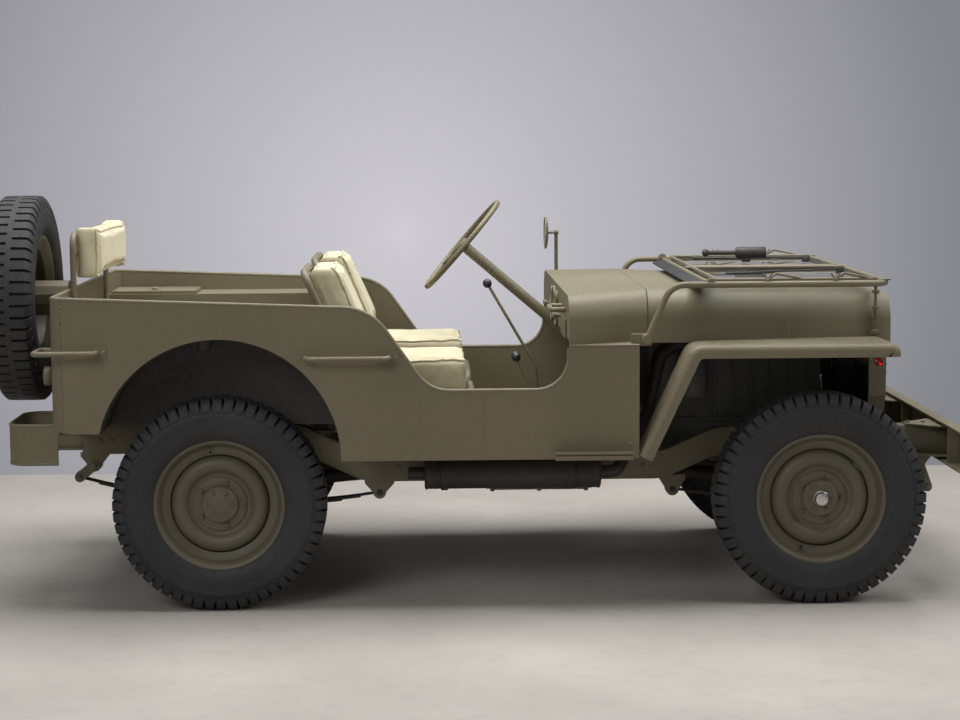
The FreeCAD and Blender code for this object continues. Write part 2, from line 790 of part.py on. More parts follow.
def rail_z(x):
    if x < REAR_KICK_START_X:
        return RAIL_REAR_Z
    return RAIL_LOW_Z if x < FRONT_KICK_START_X + SPRING_EYE_RADIUS * 2 else RAIL_FRONT_Z


def spring_cheeks(x, eye_z, top_z):
    # Two cheeks carry each spring's eye below the rail.
    half = SPRING_WIDTH / 2 + RUN_GAP
    gauge = RAIL_GAUGE / 2
    cheeks = []
    for low_y in (SPRING_Y - half - gauge, SPRING_Y + half):
        cheeks.append(box((x - SPRING_EYE_RADIUS, low_y, eye_z - SPRING_EYE_RADIUS),
                          (x + SPRING_EYE_RADIUS, low_y + gauge, top_z + RAIL_GAUGE)))
    return cheeks


def frame():
    half = [rail()]
    half += spring_cheeks(REAR_SPRING_REAR_X + SPRING_EYE_RADIUS, REAR_SPRING_EYE_Z, RAIL_REAR_Z)
    half += spring_cheeks(REAR_SPRING_FRONT_X, SPRING_EYE_Z, RAIL_LOW_Z)
    half += spring_cheeks(FRONT_SPRING_REAR_X, SPRING_EYE_Z, RAIL_LOW_Z)
    half += spring_cheeks(FRONT_SPRING_FRONT_X, SPRING_EYE_Z, RAIL_FRONT_Z)
    near = fused(half)
    members = [cross_member(x) for x in (RAIL_REAR_X, CROSS_REAR_X, CROSS_FRONT_X)]
    return fused([near, mirrored(near), skid_plate()] + members)


def front_bumper():
    back = BUMPER_FACE_X - BUMPER_DEPTH
    outer = box((back, -BUMPER_HALF_WIDTH, BUMPER_LOW_Z),
                (BUMPER_FACE_X, BUMPER_HALF_WIDTH, BUMPER_LOW_Z + BUMPER_HEIGHT))
    hollow = box((back - OVERRUN, -BUMPER_HALF_WIDTH - OVERRUN, BUMPER_LOW_Z + BUMPER_GAUGE),
                 (BUMPER_FACE_X - BUMPER_GAUGE, BUMPER_HALF_WIDTH + OVERRUN,
                  BUMPER_LOW_Z + BUMPER_HEIGHT - BUMPER_GAUGE))
    return outer.cut(hollow)


def rear_bumper():
    low_x = REAR_BUMPER_X
    high_x = REAR_BUMPER_X + REAR_BUMPER_GAUGE
    face = box((low_x, REAR_BUMPER_INNER_Y, REAR_BUMPER_LOW_Z),
               (high_x, REAR_BUMPER_OUTER_Y, REAR_BUMPER_LOW_Z + REAR_BUMPER_HEIGHT))
    arm = box((high_x, RAIL_INNER_Y, REAR_BUMPER_LOW_Z),
              (RAIL_REAR_X, RAIL_OUTER_Y, REAR_BUMPER_LOW_Z + REAR_BUMPER_ARM_HEIGHT))
    return fused([face, arm])


def tow_hook():
    z = RAIL_REAR_Z + RAIL_DEPTH / 2
    stem = rod((RAIL_REAR_X, 0, z), (RAIL_REAR_X - HOOK_RADIUS, 0, z), HOOK_STEM_RADIUS)
    ring = round_ring(HOOK_RADIUS, HOOK_BAR, RING_SECTORS, (RAIL_REAR_X - HOOK_RADIUS * 2, 0, z))
    return fused([stem, ring])


# Axles and springs


def differential(x):
    # A round case that bulges in the middle.
    half = DIFF_WIDTH / 2
    profile = [(0, -half), (DIFF_SIDE_RADIUS, -half), (DIFF_RADIUS, 0), (DIFF_SIDE_RADIUS, half), (0, half)]
    return faceted_ring(profile, AXLE_SECTORS, (x, DIFF_Y, AXLE_Z), LEFT)


def nose(x, direction):
    start = (x, DIFF_Y, AXLE_Z)
    end = (x + direction * NOSE_REACH, DIFF_Y, AXLE_Z)
    return rod(start, end, NOSE_RADIUS)


def rear_axle():
    tube_end = WHEEL_Y - DRUM_INNER_Y - MOVE_GAP
    tube = rod((0, -tube_end, AXLE_Z), (0, tube_end, AXLE_Z), AXLE_TUBE_RADIUS)
    spindle = rod((0, -SPINDLE_END_Y, AXLE_Z), (0, SPINDLE_END_Y, AXLE_Z), SPINDLE_RADIUS)
    plates = []
    for sign in (LEFT, RIGHT):
        plates.append(rod((0, sign * BACKPLATE_Y, AXLE_Z),
                          (0, sign * (BACKPLATE_Y + BACKPLATE_GAUGE), AXLE_Z), BACKPLATE_RADIUS))
    return fused([tube, spindle, differential(0), nose(0, 1)] + plates)


def front_axle():
    tube_end = KINGPIN_Y - corner_radius(KNUCKLE_RADIUS) - RUN_GAP
    tube = rod((WHEELBASE, -tube_end, AXLE_Z), (WHEELBASE, tube_end, AXLE_Z), AXLE_TUBE_RADIUS)
    yoke = yoke_cup()
    boss = rod((WHEELBASE, BELL_CRANK_Y, AXLE_Z), (WHEELBASE, BELL_CRANK_Y, STEER_ARM_Z - RUN_GAP),
               STEER_ARM_WIDTH / 2)
    return fused([tube, differential(WHEELBASE), nose(WHEELBASE, -1), yoke, mirrored(yoke), boss])


def yoke_cup():
    # A ball end, hollowed for the knuckle and open to the wheel.
    mouth = YOKE_RADIUS - YOKE_MOUTH
    profile = [(0, -YOKE_RADIUS)] + [(YOKE_RADIUS * out, -YOKE_RADIUS * back) for out, back in YOKE_SHARES]
    profile += [(YOKE_RADIUS, 0), (YOKE_RADIUS, mouth), (0, mouth)]
    cup = faceted_ring(profile, AXLE_SECTORS, (WHEELBASE, KINGPIN_Y, AXLE_Z), LEFT)
    half = KNUCKLE_HEIGHT / 2 + RUN_GAP
    well = rod((WHEELBASE, KINGPIN_Y, AXLE_Z - half), (WHEELBASE, KINGPIN_Y, AXLE_Z + half),
               corner_radius(KNUCKLE_RADIUS) + RUN_GAP)
    size = YOKE_RADIUS * 2
    away = box((WHEELBASE - size, KINGPIN_Y - YOKE_MOUTH, AXLE_Z - size),
               (WHEELBASE + size, KINGPIN_Y + size, AXLE_Z + size))
    return cup.cut(away).cut(well)


def knuckle(side):
    half = KNUCKLE_HEIGHT / 2
    post = rod((WHEELBASE, KINGPIN_Y, AXLE_Z - half), (WHEELBASE, KINGPIN_Y, AXLE_Z + half), KNUCKLE_RADIUS)
    spindle = rod((WHEELBASE, KINGPIN_Y, AXLE_Z), (WHEELBASE, SPINDLE_END_Y, AXLE_Z), SPINDLE_RADIUS)
    plate = rod((WHEELBASE, BACKPLATE_Y, AXLE_Z), (WHEELBASE, BACKPLATE_Y + BACKPLATE_GAUGE, AXLE_Z),
                BACKPLATE_RADIUS)
    neck = rod((WHEELBASE, KINGPIN_Y, AXLE_Z), (WHEELBASE, BACKPLATE_Y, AXLE_Z), NECK_RADIUS)
    arm = steer_arm()
    return on_side(fused([post, neck, spindle, plate, arm]), side)


def arm_plate(start, end, low_z):
    # A flat arm with round ends, from one pin to the other.
    start, end = Vec(*start), Vec(*end)
    half = STEER_ARM_WIDTH / 2
    run = end - start
    bar = Part.makeBox(run.Length, half * 2, STEER_ARM_GAUGE, Vec(0, -half, 0))
    bar.rotate(Vec(0, 0, 0), Z_AXIS, math.degrees(math.atan2(run.y, run.x)))
    bar.translate(start + Vec(0, 0, low_z))
    low, high = Vec(0, 0, low_z), Vec(0, 0, low_z + STEER_ARM_GAUGE)
    eyes = [tube([spot + low, spot + high], half) for spot in (start, end)]
    return fused([bar] + eyes)


def steer_arm():
    # It reaches forward from the knuckle to the tie rod's pin.
    return arm_plate((WHEELBASE, KINGPIN_Y, 0), (WHEELBASE + STEER_ARM, KINGPIN_Y, 0), STEER_ARM_Z)


def bell_crank():
    # It turns on the axle: one arm for the tie rods, one for the drag link.
    forward = arm_plate((WHEELBASE, BELL_CRANK_Y, 0), (WHEELBASE + STEER_ARM, BELL_CRANK_Y, 0), STEER_ARM_Z)
    across = arm_plate((WHEELBASE, BELL_CRANK_Y, 0), (WHEELBASE, DRAG_LINK_Y, 0), STEER_ARM_Z)
    return fused([forward, across])


def link(start, end):
    # A round rod with an upright eye at each end.
    reach = Vec(0, 0, TIE_ROD_RADIUS)
    start, end = Vec(*start), Vec(*end)
    eyes = [tube([spot - reach, spot + reach], STEER_ARM_WIDTH / 2) for spot in (start, end)]
    return fused([tube([start, end], LINK_BAR_RADIUS)] + eyes)


def tie_rod(side):
    # The right rod's eye lies under the left one's at the bell crank.
    x = WHEELBASE + STEER_ARM
    z = STEER_ARM_Z - RUN_GAP - TIE_ROD_RADIUS
    if side == RIGHT:
        z -= TIE_ROD_RADIUS * 2 + RUN_GAP
    return link((x, BELL_CRANK_Y, z), (x, side * KINGPIN_Y, z))


def drop_arm():
    # It hangs from the gear case beside the drag link's rear eye.
    x = STEER_BOX_X
    half = STEER_ARM_WIDTH / 2
    low_y = DRAG_LINK_Y + half + RUN_GAP
    top_y = low_y + DROP_ARM_GAUGE
    pin = rod((x, low_y, DRAG_LINK_Z), (x, top_y, DRAG_LINK_Z), half)
    boss = rod((x, low_y, STEER_BOX_Z), (x, COLUMN_Y - STEER_BOX_WIDTH / 2 - RUN_GAP, STEER_BOX_Z), half)
    bar = box((x - half, low_y, DRAG_LINK_Z), (x + half, top_y, STEER_BOX_Z))
    return fused([pin, boss, bar])


def drag_link():
    return link((STEER_BOX_X, DRAG_LINK_Y, DRAG_LINK_Z), (WHEELBASE, DRAG_LINK_Y, DRAG_LINK_Z))


def leaf_spring(rear_x, front_x, rear_z, front_z, seat_x):
    # Leaves on one centre hang below the axle, each shorter than the last.
    low_y = SPRING_Y - SPRING_WIDTH / 2
    seat_z = AXLE_Z - AXLE_TUBE_RADIUS - RUN_GAP
    arc = Part.Arc(Vec(rear_x, low_y, rear_z), Vec(seat_x, low_y, seat_z), Vec(front_x, low_y, front_z))
    circle = arc.toShape().Curve

    def point(x, depth):
        radius = circle.Radius + depth
        return x, circle.Center.z - math.sqrt(radius ** 2 - (x - circle.Center.x) ** 2)

    def leaf_end(end_x, i):
        return seat_x + (end_x - seat_x) * (1 - i / (SPRING_LEAVES + 1))

    front_steps = []
    rear_steps = []
    top = [point(leaf_end(rear_x, i), 0) for i in range(SPRING_LEAVES)]
    top += [(seat_x + reach, seat_z) for reach in (-AXLE_TUBE_RADIUS / 2, AXLE_TUBE_RADIUS / 2)]
    top += [point(leaf_end(front_x, i), 0) for i in reversed(range(SPRING_LEAVES))]
    for i in range(SPRING_LEAVES):
        for depth in (i, i + 1) if i else (1,):
            front_steps.append(point(leaf_end(front_x, i), SPRING_LEAF * depth))
            rear_steps.append(point(leaf_end(rear_x, i), SPRING_LEAF * depth))
    low = front_steps + rear_steps[::-1]
    stack = side_plate(top + low, low_y, low_y + SPRING_WIDTH)
    eyes = [rod((x, low_y, z), (x, low_y + SPRING_WIDTH, z), SPRING_ROLL_RADIUS)
            for x, z in ((rear_x, rear_z), (front_x, front_z))]
    return fused([stack] + eyes)


def leaf_springs():
    rear = leaf_spring(REAR_SPRING_REAR_X, REAR_SPRING_FRONT_X, REAR_SPRING_EYE_Z, SPRING_EYE_Z, 0)
    front = leaf_spring(FRONT_SPRING_REAR_X, FRONT_SPRING_FRONT_X, SPRING_EYE_Z, SPRING_EYE_Z, WHEELBASE)
    return Part.makeCompound([rear, mirrored(rear), front, mirrored(front)])


def transfer_low_z():
    return FLOOR_Z - PANEL - RUN_GAP - TRANSFER_HEIGHT


def prop_shafts():
    # Each runs from the transfer case to an axle's nose, with a joint at both ends.
    reach = NOSE_REACH + RUN_GAP
    high_z = transfer_low_z() + SHAFT_IN_CASE_Z
    ends = (((reach, AXLE_Z), (TRANSFER_X - RUN_GAP, high_z)),
            ((WHEELBASE - reach, AXLE_Z), (TRANSFER_X + TRANSFER_LENGTH + RUN_GAP, high_z)))
    shafts = []
    for (axle_x, axle_z), (case_x, case_z) in ends:
        toward = math.copysign(SHAFT_END_LENGTH, case_x - axle_x)
        start = (axle_x + toward, DIFF_Y, axle_z)
        end = (case_x - toward, DIFF_Y, case_z)
        pieces = [rod(start, end, SHAFT_RADIUS)]
        for inner, outer in ((start, (axle_x, DIFF_Y, axle_z)), (end, (case_x, DIFF_Y, case_z))):
            pieces.append(rod(outer, inner, SHAFT_END_RADIUS))
            pieces.append(ball(inner, SHAFT_BALL_RADIUS))
        shafts.append(fused(pieces))
    return Part.makeCompound(shafts)


def power_unit():
    low_z = transfer_low_z()
    top_z = low_z + TRANSFER_HEIGHT
    engine = box((ENGINE_X, -ENGINE_WIDTH / 2, ENGINE_LOW_Z),
                 (ENGINE_X + ENGINE_LENGTH, ENGINE_WIDTH / 2, ENGINE_LOW_Z + ENGINE_HEIGHT))
    half = GEARBOX_WIDTH / 2
    gearbox = box((TRANSFER_X + TRANSFER_LENGTH / 2, -half, low_z), (ENGINE_X, half, top_z))
    flywheel_case = box((ENGINE_X - OVERRUN, -half, low_z + BELL_LOW),
                        (ENGINE_X + BELL_LENGTH, half, ENGINE_LOW_Z + OVERRUN))
    right_y = DIFF_Y - TRANSFER_OUT
    transfer = box((TRANSFER_X, right_y, low_z),
                   (TRANSFER_X + TRANSFER_LENGTH, right_y + TRANSFER_WIDTH, top_z))
    return fused([engine, gearbox, flywheel_case, transfer])


def radiator():
    return box((RADIATOR_X, -RADIATOR_WIDTH / 2, RADIATOR_LOW_Z),
               (RADIATOR_X + RADIATOR_DEPTH, RADIATOR_WIDTH / 2, RADIATOR_LOW_Z + RADIATOR_HEIGHT))


def exhaust():
    can = rod((MUFFLER_REAR_X, MUFFLER_Y, MUFFLER_Z), (MUFFLER_FRONT_X, MUFFLER_Y, MUFFLER_Z),
              MUFFLER_RADIUS)
    lead = rod((MUFFLER_FRONT_X, MUFFLER_Y, MUFFLER_Z),
               (MUFFLER_FRONT_X + MUFFLER_RADIUS, MUFFLER_Y, MUFFLER_Z), EXHAUST_RADIUS)
    tail = rod((MUFFLER_REAR_X - MUFFLER_RADIUS, MUFFLER_Y, MUFFLER_Z),
               (MUFFLER_REAR_X, MUFFLER_Y, MUFFLER_Z), EXHAUST_RADIUS)
    hangers = []
    for x in (MUFFLER_REAR_X + MUFFLER_RADIUS, MUFFLER_FRONT_X - MUFFLER_RADIUS * 2):
        hangers.append(box((x, MUFFLER_Y, MUFFLER_Z - RAIL_GAUGE),
                           (x + MUFFLER_RADIUS, -RAIL_OUTER_Y - RUN_GAP, MUFFLER_Z + RAIL_GAUGE)))
    return fused([can, lead, tail] + hangers)


# Tub


def arch_low_x():
    # Where the arch meets the tub's lower edge behind the wheel.
    rise = TUB_LOW_REAR_Z - ARCH_Z
    return ARCH_X - math.sqrt(ARCH_RADIUS ** 2 - rise ** 2)


def tub_side_corners():
    return [
        (TUB_REAR_X, TUB_TOP_REAR_Z),
        (TUB_REAR_X, TUB_LOW_REAR_Z, TUB_CORNER_ROUND),
        (arch_low_x(), TUB_LOW_REAR_Z),
        (ARCH_X, TUB_LOW_REAR_Z),
        (ARCH_X, BODY_LOW_Z),
        (BODY_FRONT_X, BODY_LOW_Z),
        (BODY_FRONT_X, COWL_SIDE_Z),
        (COWL_REAR_X, COWL_SIDE_Z),
        (COWL_REAR_X, SILL_Z, DOOR_FRONT_ROUND),
        (DOOR_SLOPE_END_X, SILL_Z, DOOR_REAR_ROUND),
        (DOOR_REAR_X, TUB_TOP_FRONT_Z, DOOR_TOP_ROUND),
    ]


def tub_side(side):
    panel = side_plate(tub_side_corners(), BODY_HALF - PANEL, BODY_HALF)
    arch = rod((ARCH_X, BODY_HALF - PANEL - OVERRUN, ARCH_Z), (ARCH_X, BODY_HALF + OVERRUN, ARCH_Z),
               ARCH_RADIUS)
    return on_side(panel.cut(arch), side)


def rear_panel():
    inner = BODY_HALF - PANEL
    return box((TUB_REAR_X, -inner, TUB_LOW_REAR_Z), (TUB_REAR_X + PANEL, inner, TUB_TOP_REAR_Z))


def floor_front():
    # The cab's floor turns up into the toe board, which the column passes through.
    inner = BODY_HALF - PANEL
    pan = box((REAR_FLOOR_FRONT_X, -inner, FLOOR_Z - PANEL), (BODY_FRONT_X, inner, FLOOR_Z))
    toe = box((BODY_FRONT_X - PANEL, -inner, FLOOR_Z - PANEL), (BODY_FRONT_X, inner, COWL_SIDE_Z))
    return fused([pan, toe]).cut(column_rod(COLUMN_RADIUS + MOVE_GAP, 0, COLUMN_LENGTH))


def floor_rear():
    inner = BODY_HALF - PANEL
    half = WHEELHOUSE_INNER_Y - PANEL
    riser = box((REAR_FLOOR_FRONT_X - PANEL, -inner, FLOOR_Z - PANEL),
                (REAR_FLOOR_FRONT_X, inner, REAR_FLOOR_Z - PANEL))
    pan = box((TUB_REAR_X + PANEL, -half, REAR_FLOOR_Z - PANEL), (REAR_FLOOR_FRONT_X, half, REAR_FLOOR_Z))
    return fused([riser, pan])


def wheelhouse_corners(inset):
    rear_x = TUB_REAR_X + PANEL + inset
    return [
        (rear_x, REAR_FLOOR_Z - PANEL),
        (REAR_FLOOR_FRONT_X - inset, REAR_FLOOR_Z - PANEL),
        (REAR_FLOOR_FRONT_X - inset, REAR_FLOOR_Z + PANEL - inset),
        (WHEELHOUSE_FRONT_X - inset, WHEELHOUSE_TOP_Z - inset),
        (rear_x, WHEELHOUSE_TOP_Z - inset),
    ]


def wheelhouse(side):
    # A hollow box over the wheel, open below, with the tool bay's hole above.
    inner = BODY_HALF - PANEL
    outer = side_plate(wheelhouse_corners(0), WHEELHOUSE_INNER_Y - PANEL, inner)
    hollow = side_plate(wheelhouse_corners(PANEL), WHEELHOUSE_INNER_Y, inner + OVERRUN)
    bay = box((LID_REAR_X + LID_RIM, WHEELHOUSE_INNER_Y + LID_RIM, WHEELHOUSE_TOP_Z - PANEL - OVERRUN),
              (LID_FRONT_X - LID_RIM, LID_OUTER_Y - LID_RIM, WHEELHOUSE_TOP_Z + OVERRUN))
    tunnel = rod((ARCH_X, WHEELHOUSE_INNER_Y, ARCH_Z), (ARCH_X, inner + OVERRUN, ARCH_Z), ARCH_RADIUS)
    roof = rod((ARCH_X, WHEELHOUSE_INNER_Y, ARCH_Z), (ARCH_X, inner, ARCH_Z), ARCH_RADIUS + PANEL)
    shell = outer.cut(hollow).cut(bay)
    return on_side(fused([shell, roof.common(outer)]).cut(tunnel), side)


def tool_lid(side):
    low = WHEELHOUSE_TOP_Z + RUN_GAP
    lid = box((LID_REAR_X, WHEELHOUSE_INNER_Y, low), (LID_FRONT_X, LID_OUTER_Y, low + LID_GAUGE))
    return on_side(lid, side)


# Cowl, hood and grille


def shell_section(half, low_z, top_z, radius, inset):
    return [
        (-half + inset, low_z),
        (half - inset, low_z),
        (half - inset, top_z - inset, radius - inset),
        (-half + inset, top_z - inset, radius - inset),
    ]


def lofted(sections):
    return skinned([front_ring(corners, x) for x, corners in sections])


def cowl():
    # Its sides draw in from the tub's width to the hood's, above a flat shelf.
    low = COWL_SIDE_Z
    outer = lofted([
        (COWL_REAR_X, shell_section(BODY_HALF, low, COWL_TOP_Z, COWL_ROUND, 0)),
        (COWL_FRONT_X, shell_section(HOOD_REAR_HALF, low, COWL_FRONT_TOP_Z, HOOD_ROUND, 0)),
    ])
    under = low - OVERRUN
    inner = lofted([
        (COWL_REAR_X - OVERRUN, shell_section(BODY_HALF, under, COWL_TOP_Z, COWL_ROUND, PANEL)),
        (COWL_FRONT_X - PANEL, shell_section(HOOD_REAR_HALF, under, COWL_FRONT_TOP_Z, HOOD_ROUND, PANEL)),
    ])
    dash = box((COWL_REAR_X, -BODY_HALF, low + DASH_DROP),
               (COWL_REAR_X + PANEL, BODY_HALF, COWL_TOP_Z + OVERRUN))
    shelf_inner = HOOD_REAR_HALF - PANEL
    shelf = plan_plate([
        (COWL_REAR_X, BODY_HALF - PANEL),
        (BODY_FRONT_X, shelf_inner),
        (BODY_FRONT_X, BODY_HALF),
        (COWL_REAR_X, BODY_HALF),
    ], low, low + SHEET)
    ear = screen_ear()
    shell = fused([outer.cut(inner.cut(dash)), shelf, mirrored(shelf), ear, mirrored(ear)])
    return shell.cut(column_rod(COLUMN_RADIUS + MOVE_GAP, 0, COLUMN_LENGTH))


def screen_ear():
    # An upright lug on the shelf, which the screen's arm pivots against.
    outer_y = SCREEN_HALF - SCREEN_TUBE * 2 - RUN_GAP
    return box((SCREEN_PIVOT_X - EAR_LENGTH, outer_y - PANEL, COWL_SIDE_Z),
               (SCREEN_PIVOT_X + SCREEN_EYE_RADIUS, outer_y, SCREEN_PIVOT_Z + SCREEN_EYE_RADIUS))


def hood():
    # A flat-topped panel, narrower and lower at the front, open at both ends.
    def sections(drop, inset):
        rear = shell_section(HOOD_REAR_HALF, HOOD_REAR_LOW_Z - drop, HOOD_REAR_TOP_Z, HOOD_ROUND, inset)
        front = shell_section(HOOD_FRONT_HALF, HOOD_FRONT_LOW_Z - drop, HOOD_FRONT_TOP_Z, HOOD_ROUND, inset)
        return [(HOOD_REAR_X, rear), (HOOD_FRONT_X, front)]

    return lofted(sections(0, 0)).cut(lofted(sections(OVERRUN, SHEET)))


def grille_corners(inset, low_z):
    # The face fills the hood's mouth. Its low corners draw in, clear of the steered tyres.
    gap = SHEET + RUN_GAP + OVERRUN + inset
    half = HOOD_FRONT_HALF - gap
    top = HOOD_FRONT_TOP_Z - gap
    foot = half - GRILLE_FOOT_IN
    return [
        (-half, GRILLE_FOOT_Z),
        (-foot, low_z),
        (foot, low_z),
        (half, GRILLE_FOOT_Z),
        (half, top, HOOD_ROUND - gap),
        (-half, top, HOOD_ROUND - gap),
    ]


def grille_slots():
    reach = SLOT_WIDTH / 2
    slots = []
    for i in range(SLOT_COUNT):
        middle = (i - (SLOT_COUNT - 1) / 2) * SLOT_PITCH
        slots.append(front_plate([
            (middle - reach, SLOT_LOW_Z, SLOT_ROUND),
            (middle + reach, SLOT_LOW_Z, SLOT_ROUND),
            (middle + reach, SLOT_TOP_Z, SLOT_ROUND),
            (middle - reach, SLOT_TOP_Z, SLOT_ROUND),
        ], GRILLE_X - GRILLE_GAUGE - OVERRUN, GRILLE_X + OVERRUN))
    return slots


def grille():
    back = GRILLE_X - GRILLE_RETURN
    shell = front_plate(grille_corners(0, GRILLE_LOW_Z), back, GRILLE_X)
    hollow = front_plate(grille_corners(SHEET, GRILLE_LOW_Z - OVERRUN),
                         back - OVERRUN, GRILLE_X - GRILLE_GAUGE)
    shell = shell.cut(hollow)
    holes = grille_slots()
    for sign in (LEFT, RIGHT):
        for z, radius in ((HEADLAMP_Z, HEADLAMP_RADIUS), (MARKER_Z, MARKER_RADIUS)):
            holes.append(rod((GRILLE_X - GRILLE_GAUGE - OVERRUN, sign * HEADLAMP_Y, z),
                             (GRILLE_X + OVERRUN, sign * HEADLAMP_Y, z), radius + RUN_GAP))
    return shell.cut(holes)


def headlamps():
    back = GRILLE_X - HEADLAMP_DEPTH
    front = GRILLE_X + RIM_GAUGE
    return both_sides(rod((back, HEADLAMP_Y, HEADLAMP_Z), (front, HEADLAMP_Y, HEADLAMP_Z), HEADLAMP_RADIUS))


def small_lamps():
    marker_back = GRILLE_X - MARKER_DEPTH
    marker_front = GRILLE_X + RIM_GAUGE
    marker = rod((marker_back, HEADLAMP_Y, MARKER_Z), (marker_front, HEADLAMP_Y, MARKER_Z), MARKER_RADIUS)
    tail_front = TUB_REAR_X - RUN_GAP
    tail_back = tail_front - MARKER_DEPTH
    tail = rod((tail_front, TAIL_LAMP_Y, TAIL_LAMP_Z), (tail_back, TAIL_LAMP_Y, TAIL_LAMP_Z), MARKER_RADIUS)
    return Part.makeCompound([marker, mirrored(marker), tail, mirrored(tail)])


def hood_half(x):
    # The hood's half width at x, for what runs along its side.
    share = (x - HOOD_REAR_X) / (HOOD_FRONT_X - HOOD_REAR_X)
    return HOOD_REAR_HALF + (HOOD_FRONT_HALF - HOOD_REAR_HALF) * share


def fender_footprint(inset, low_z, high_z):
    # The fender seen from above: its inner edge follows the hood.
    rear_x = BODY_FRONT_X - SPRING_EYE_RADIUS
    front_x = FENDER_FRONT_X - inset
    gap = MOVE_GAP + inset
    return plan_plate([
        (rear_x, hood_half(rear_x) + gap),
        (front_x, hood_half(front_x) + gap),
        (front_x, FENDER_OUTER_Y - inset),
        (rear_x, FENDER_OUTER_Y - inset),
    ], low_z, high_z)


def fender(side):
    # A folded sheet: slanted back, flat top, and a skirt along every edge.
    high_z = FENDER_TOP_Z + OVERRUN
    drop = FENDER_TOP_Z - FENDER_LIP_Z
    body = side_plate([
        (FENDER_FOOT_X, FENDER_FOOT_Z),
        (FENDER_REAR_TOP_X, FENDER_TOP_Z, FENDER_REAR_ROUND),
        (FENDER_FRONT_X, FENDER_TOP_Z, FENDER_FRONT_ROUND),
        (FENDER_FRONT_X, FENDER_LIP_Z),
        (FENDER_REAR_TOP_X + drop, FENDER_LIP_Z),
        (FENDER_FOOT_X + drop, FENDER_FOOT_Z),
    ], 0, FENDER_OUTER_Y)
    body = body.common(fender_footprint(0, 0, high_z))
    gauge = FENDER_GAUGE
    hollow = side_plate([
        (FENDER_FOOT_X + gauge, FENDER_FOOT_Z - OVERRUN),
        (FENDER_REAR_TOP_X, FENDER_TOP_Z - gauge, FENDER_REAR_ROUND),
        (FENDER_FRONT_X - gauge, FENDER_TOP_Z - gauge, FENDER_FRONT_ROUND - gauge),
        (FENDER_FRONT_X - gauge, FENDER_LIP_Z - OVERRUN),
        (FENDER_REAR_TOP_X + drop * 2, FENDER_LIP_Z - OVERRUN),
        (FENDER_FOOT_X + drop * 2, FENDER_FOOT_Z - OVERRUN),
    ], 0, FENDER_OUTER_Y)
    hollow = hollow.common(fender_footprint(gauge, 0, high_z))
    clear = BODY_FRONT_X + RUN_GAP
    behind = box((FENDER_FOOT_X - drop, 0, 0), (clear, FENDER_OUTER_Y + OVERRUN, high_z))
    return on_side(body.cut(hollow).cut(behind), side)


# Seats


def lean_slope():
    return math.tan(math.radians(BACK_LEAN_DEG))


def hoop_x(z):
    # The seat's hoop leans back from its foot.
    return SEAT_FOOT_X - (z - seat_bar_z()) * lean_slope()


def seat_bar_z():
    return CUSHION_LOW_Z - SEAT_TUBE - RUN_GAP


def front_cushions(side):
    edge = SEAT_TUBE * 2 + RUN_GAP
    inner = SEAT_Y - SEAT_WIDTH / 2 + edge
    outer = SEAT_Y + SEAT_WIDTH / 2 - edge
    base = box((SEAT_REAR_X, inner, CUSHION_LOW_Z), (SEAT_FRONT_X, outer, CUSHION_LOW_Z + CUSHION_THICK))
    lean = math.radians(BACK_LEAN_DEG)
    offset = (SEAT_TUBE + RUN_GAP) / math.cos(lean)
    across = BACK_THICK / math.cos(lean)
    low_x = hoop_x(BACK_LOW_Z) + offset
    top_x = hoop_x(BACK_TOP_Z) + offset
    back = side_plate([
        (low_x, BACK_LOW_Z),
        (low_x + across, BACK_LOW_Z, BACK_ROUND),
        (top_x + across, BACK_TOP_Z, BACK_ROUND),
        (top_x, BACK_TOP_Z, BACK_REAR_ROUND),
    ], inner, outer)
    return on_side(Part.makeCompound([base, back]), side)


def front_seat(side):
    # A bent tube hoop holds the back and stands on a tube frame with legs.
    inner = SEAT_Y - SEAT_WIDTH / 2 + SEAT_TUBE
    outer = SEAT_Y + SEAT_WIDTH / 2 - SEAT_TUBE
    low_z = seat_bar_z()
    hoop = bent_tube([(SEAT_FOOT_X, inner, low_z), (hoop_x(BACK_BAR_Z), inner, BACK_BAR_Z),
                      (hoop_x(BACK_BAR_Z), outer, BACK_BAR_Z), (SEAT_FOOT_X, outer, low_z)],
                     SEAT_TUBE, HOOP_BEND)
    pieces = [hoop]
    for x in (SEAT_FOOT_X, SEAT_FRONT_X):
        leg = [(x, inner, FLOOR_Z), (x, inner, low_z), (x, outer, low_z), (x, outer, FLOOR_Z)]
        pieces.append(bent_tube(leg, SEAT_TUBE, LEG_BEND))
    runner_z = low_z - RUNNER_DROP
    for y in (inner, outer):
        pieces.append(rod((SEAT_FOOT_X, y, runner_z), (SEAT_FRONT_X, y, runner_z), RUNNER_RADIUS))
    return on_side(fused(pieces), side)


def rear_cushions():
    inset = REAR_SEAT_TUBE * 2
    half = REAR_SEAT_HALF - inset
    base = box((REAR_CUSHION_REAR_X, -half, REAR_CUSHION_LOW_Z),
               (REAR_CUSHION_FRONT_X, half, REAR_CUSHION_LOW_Z + REAR_CUSHION_THICK))
    back = box((REAR_BACK_X, -half, REAR_BACK_LOW_Z),
               (REAR_BACK_X + REAR_BACK_THICK, half, REAR_BACK_TOP_Z))
    return Part.makeCompound([base, back])


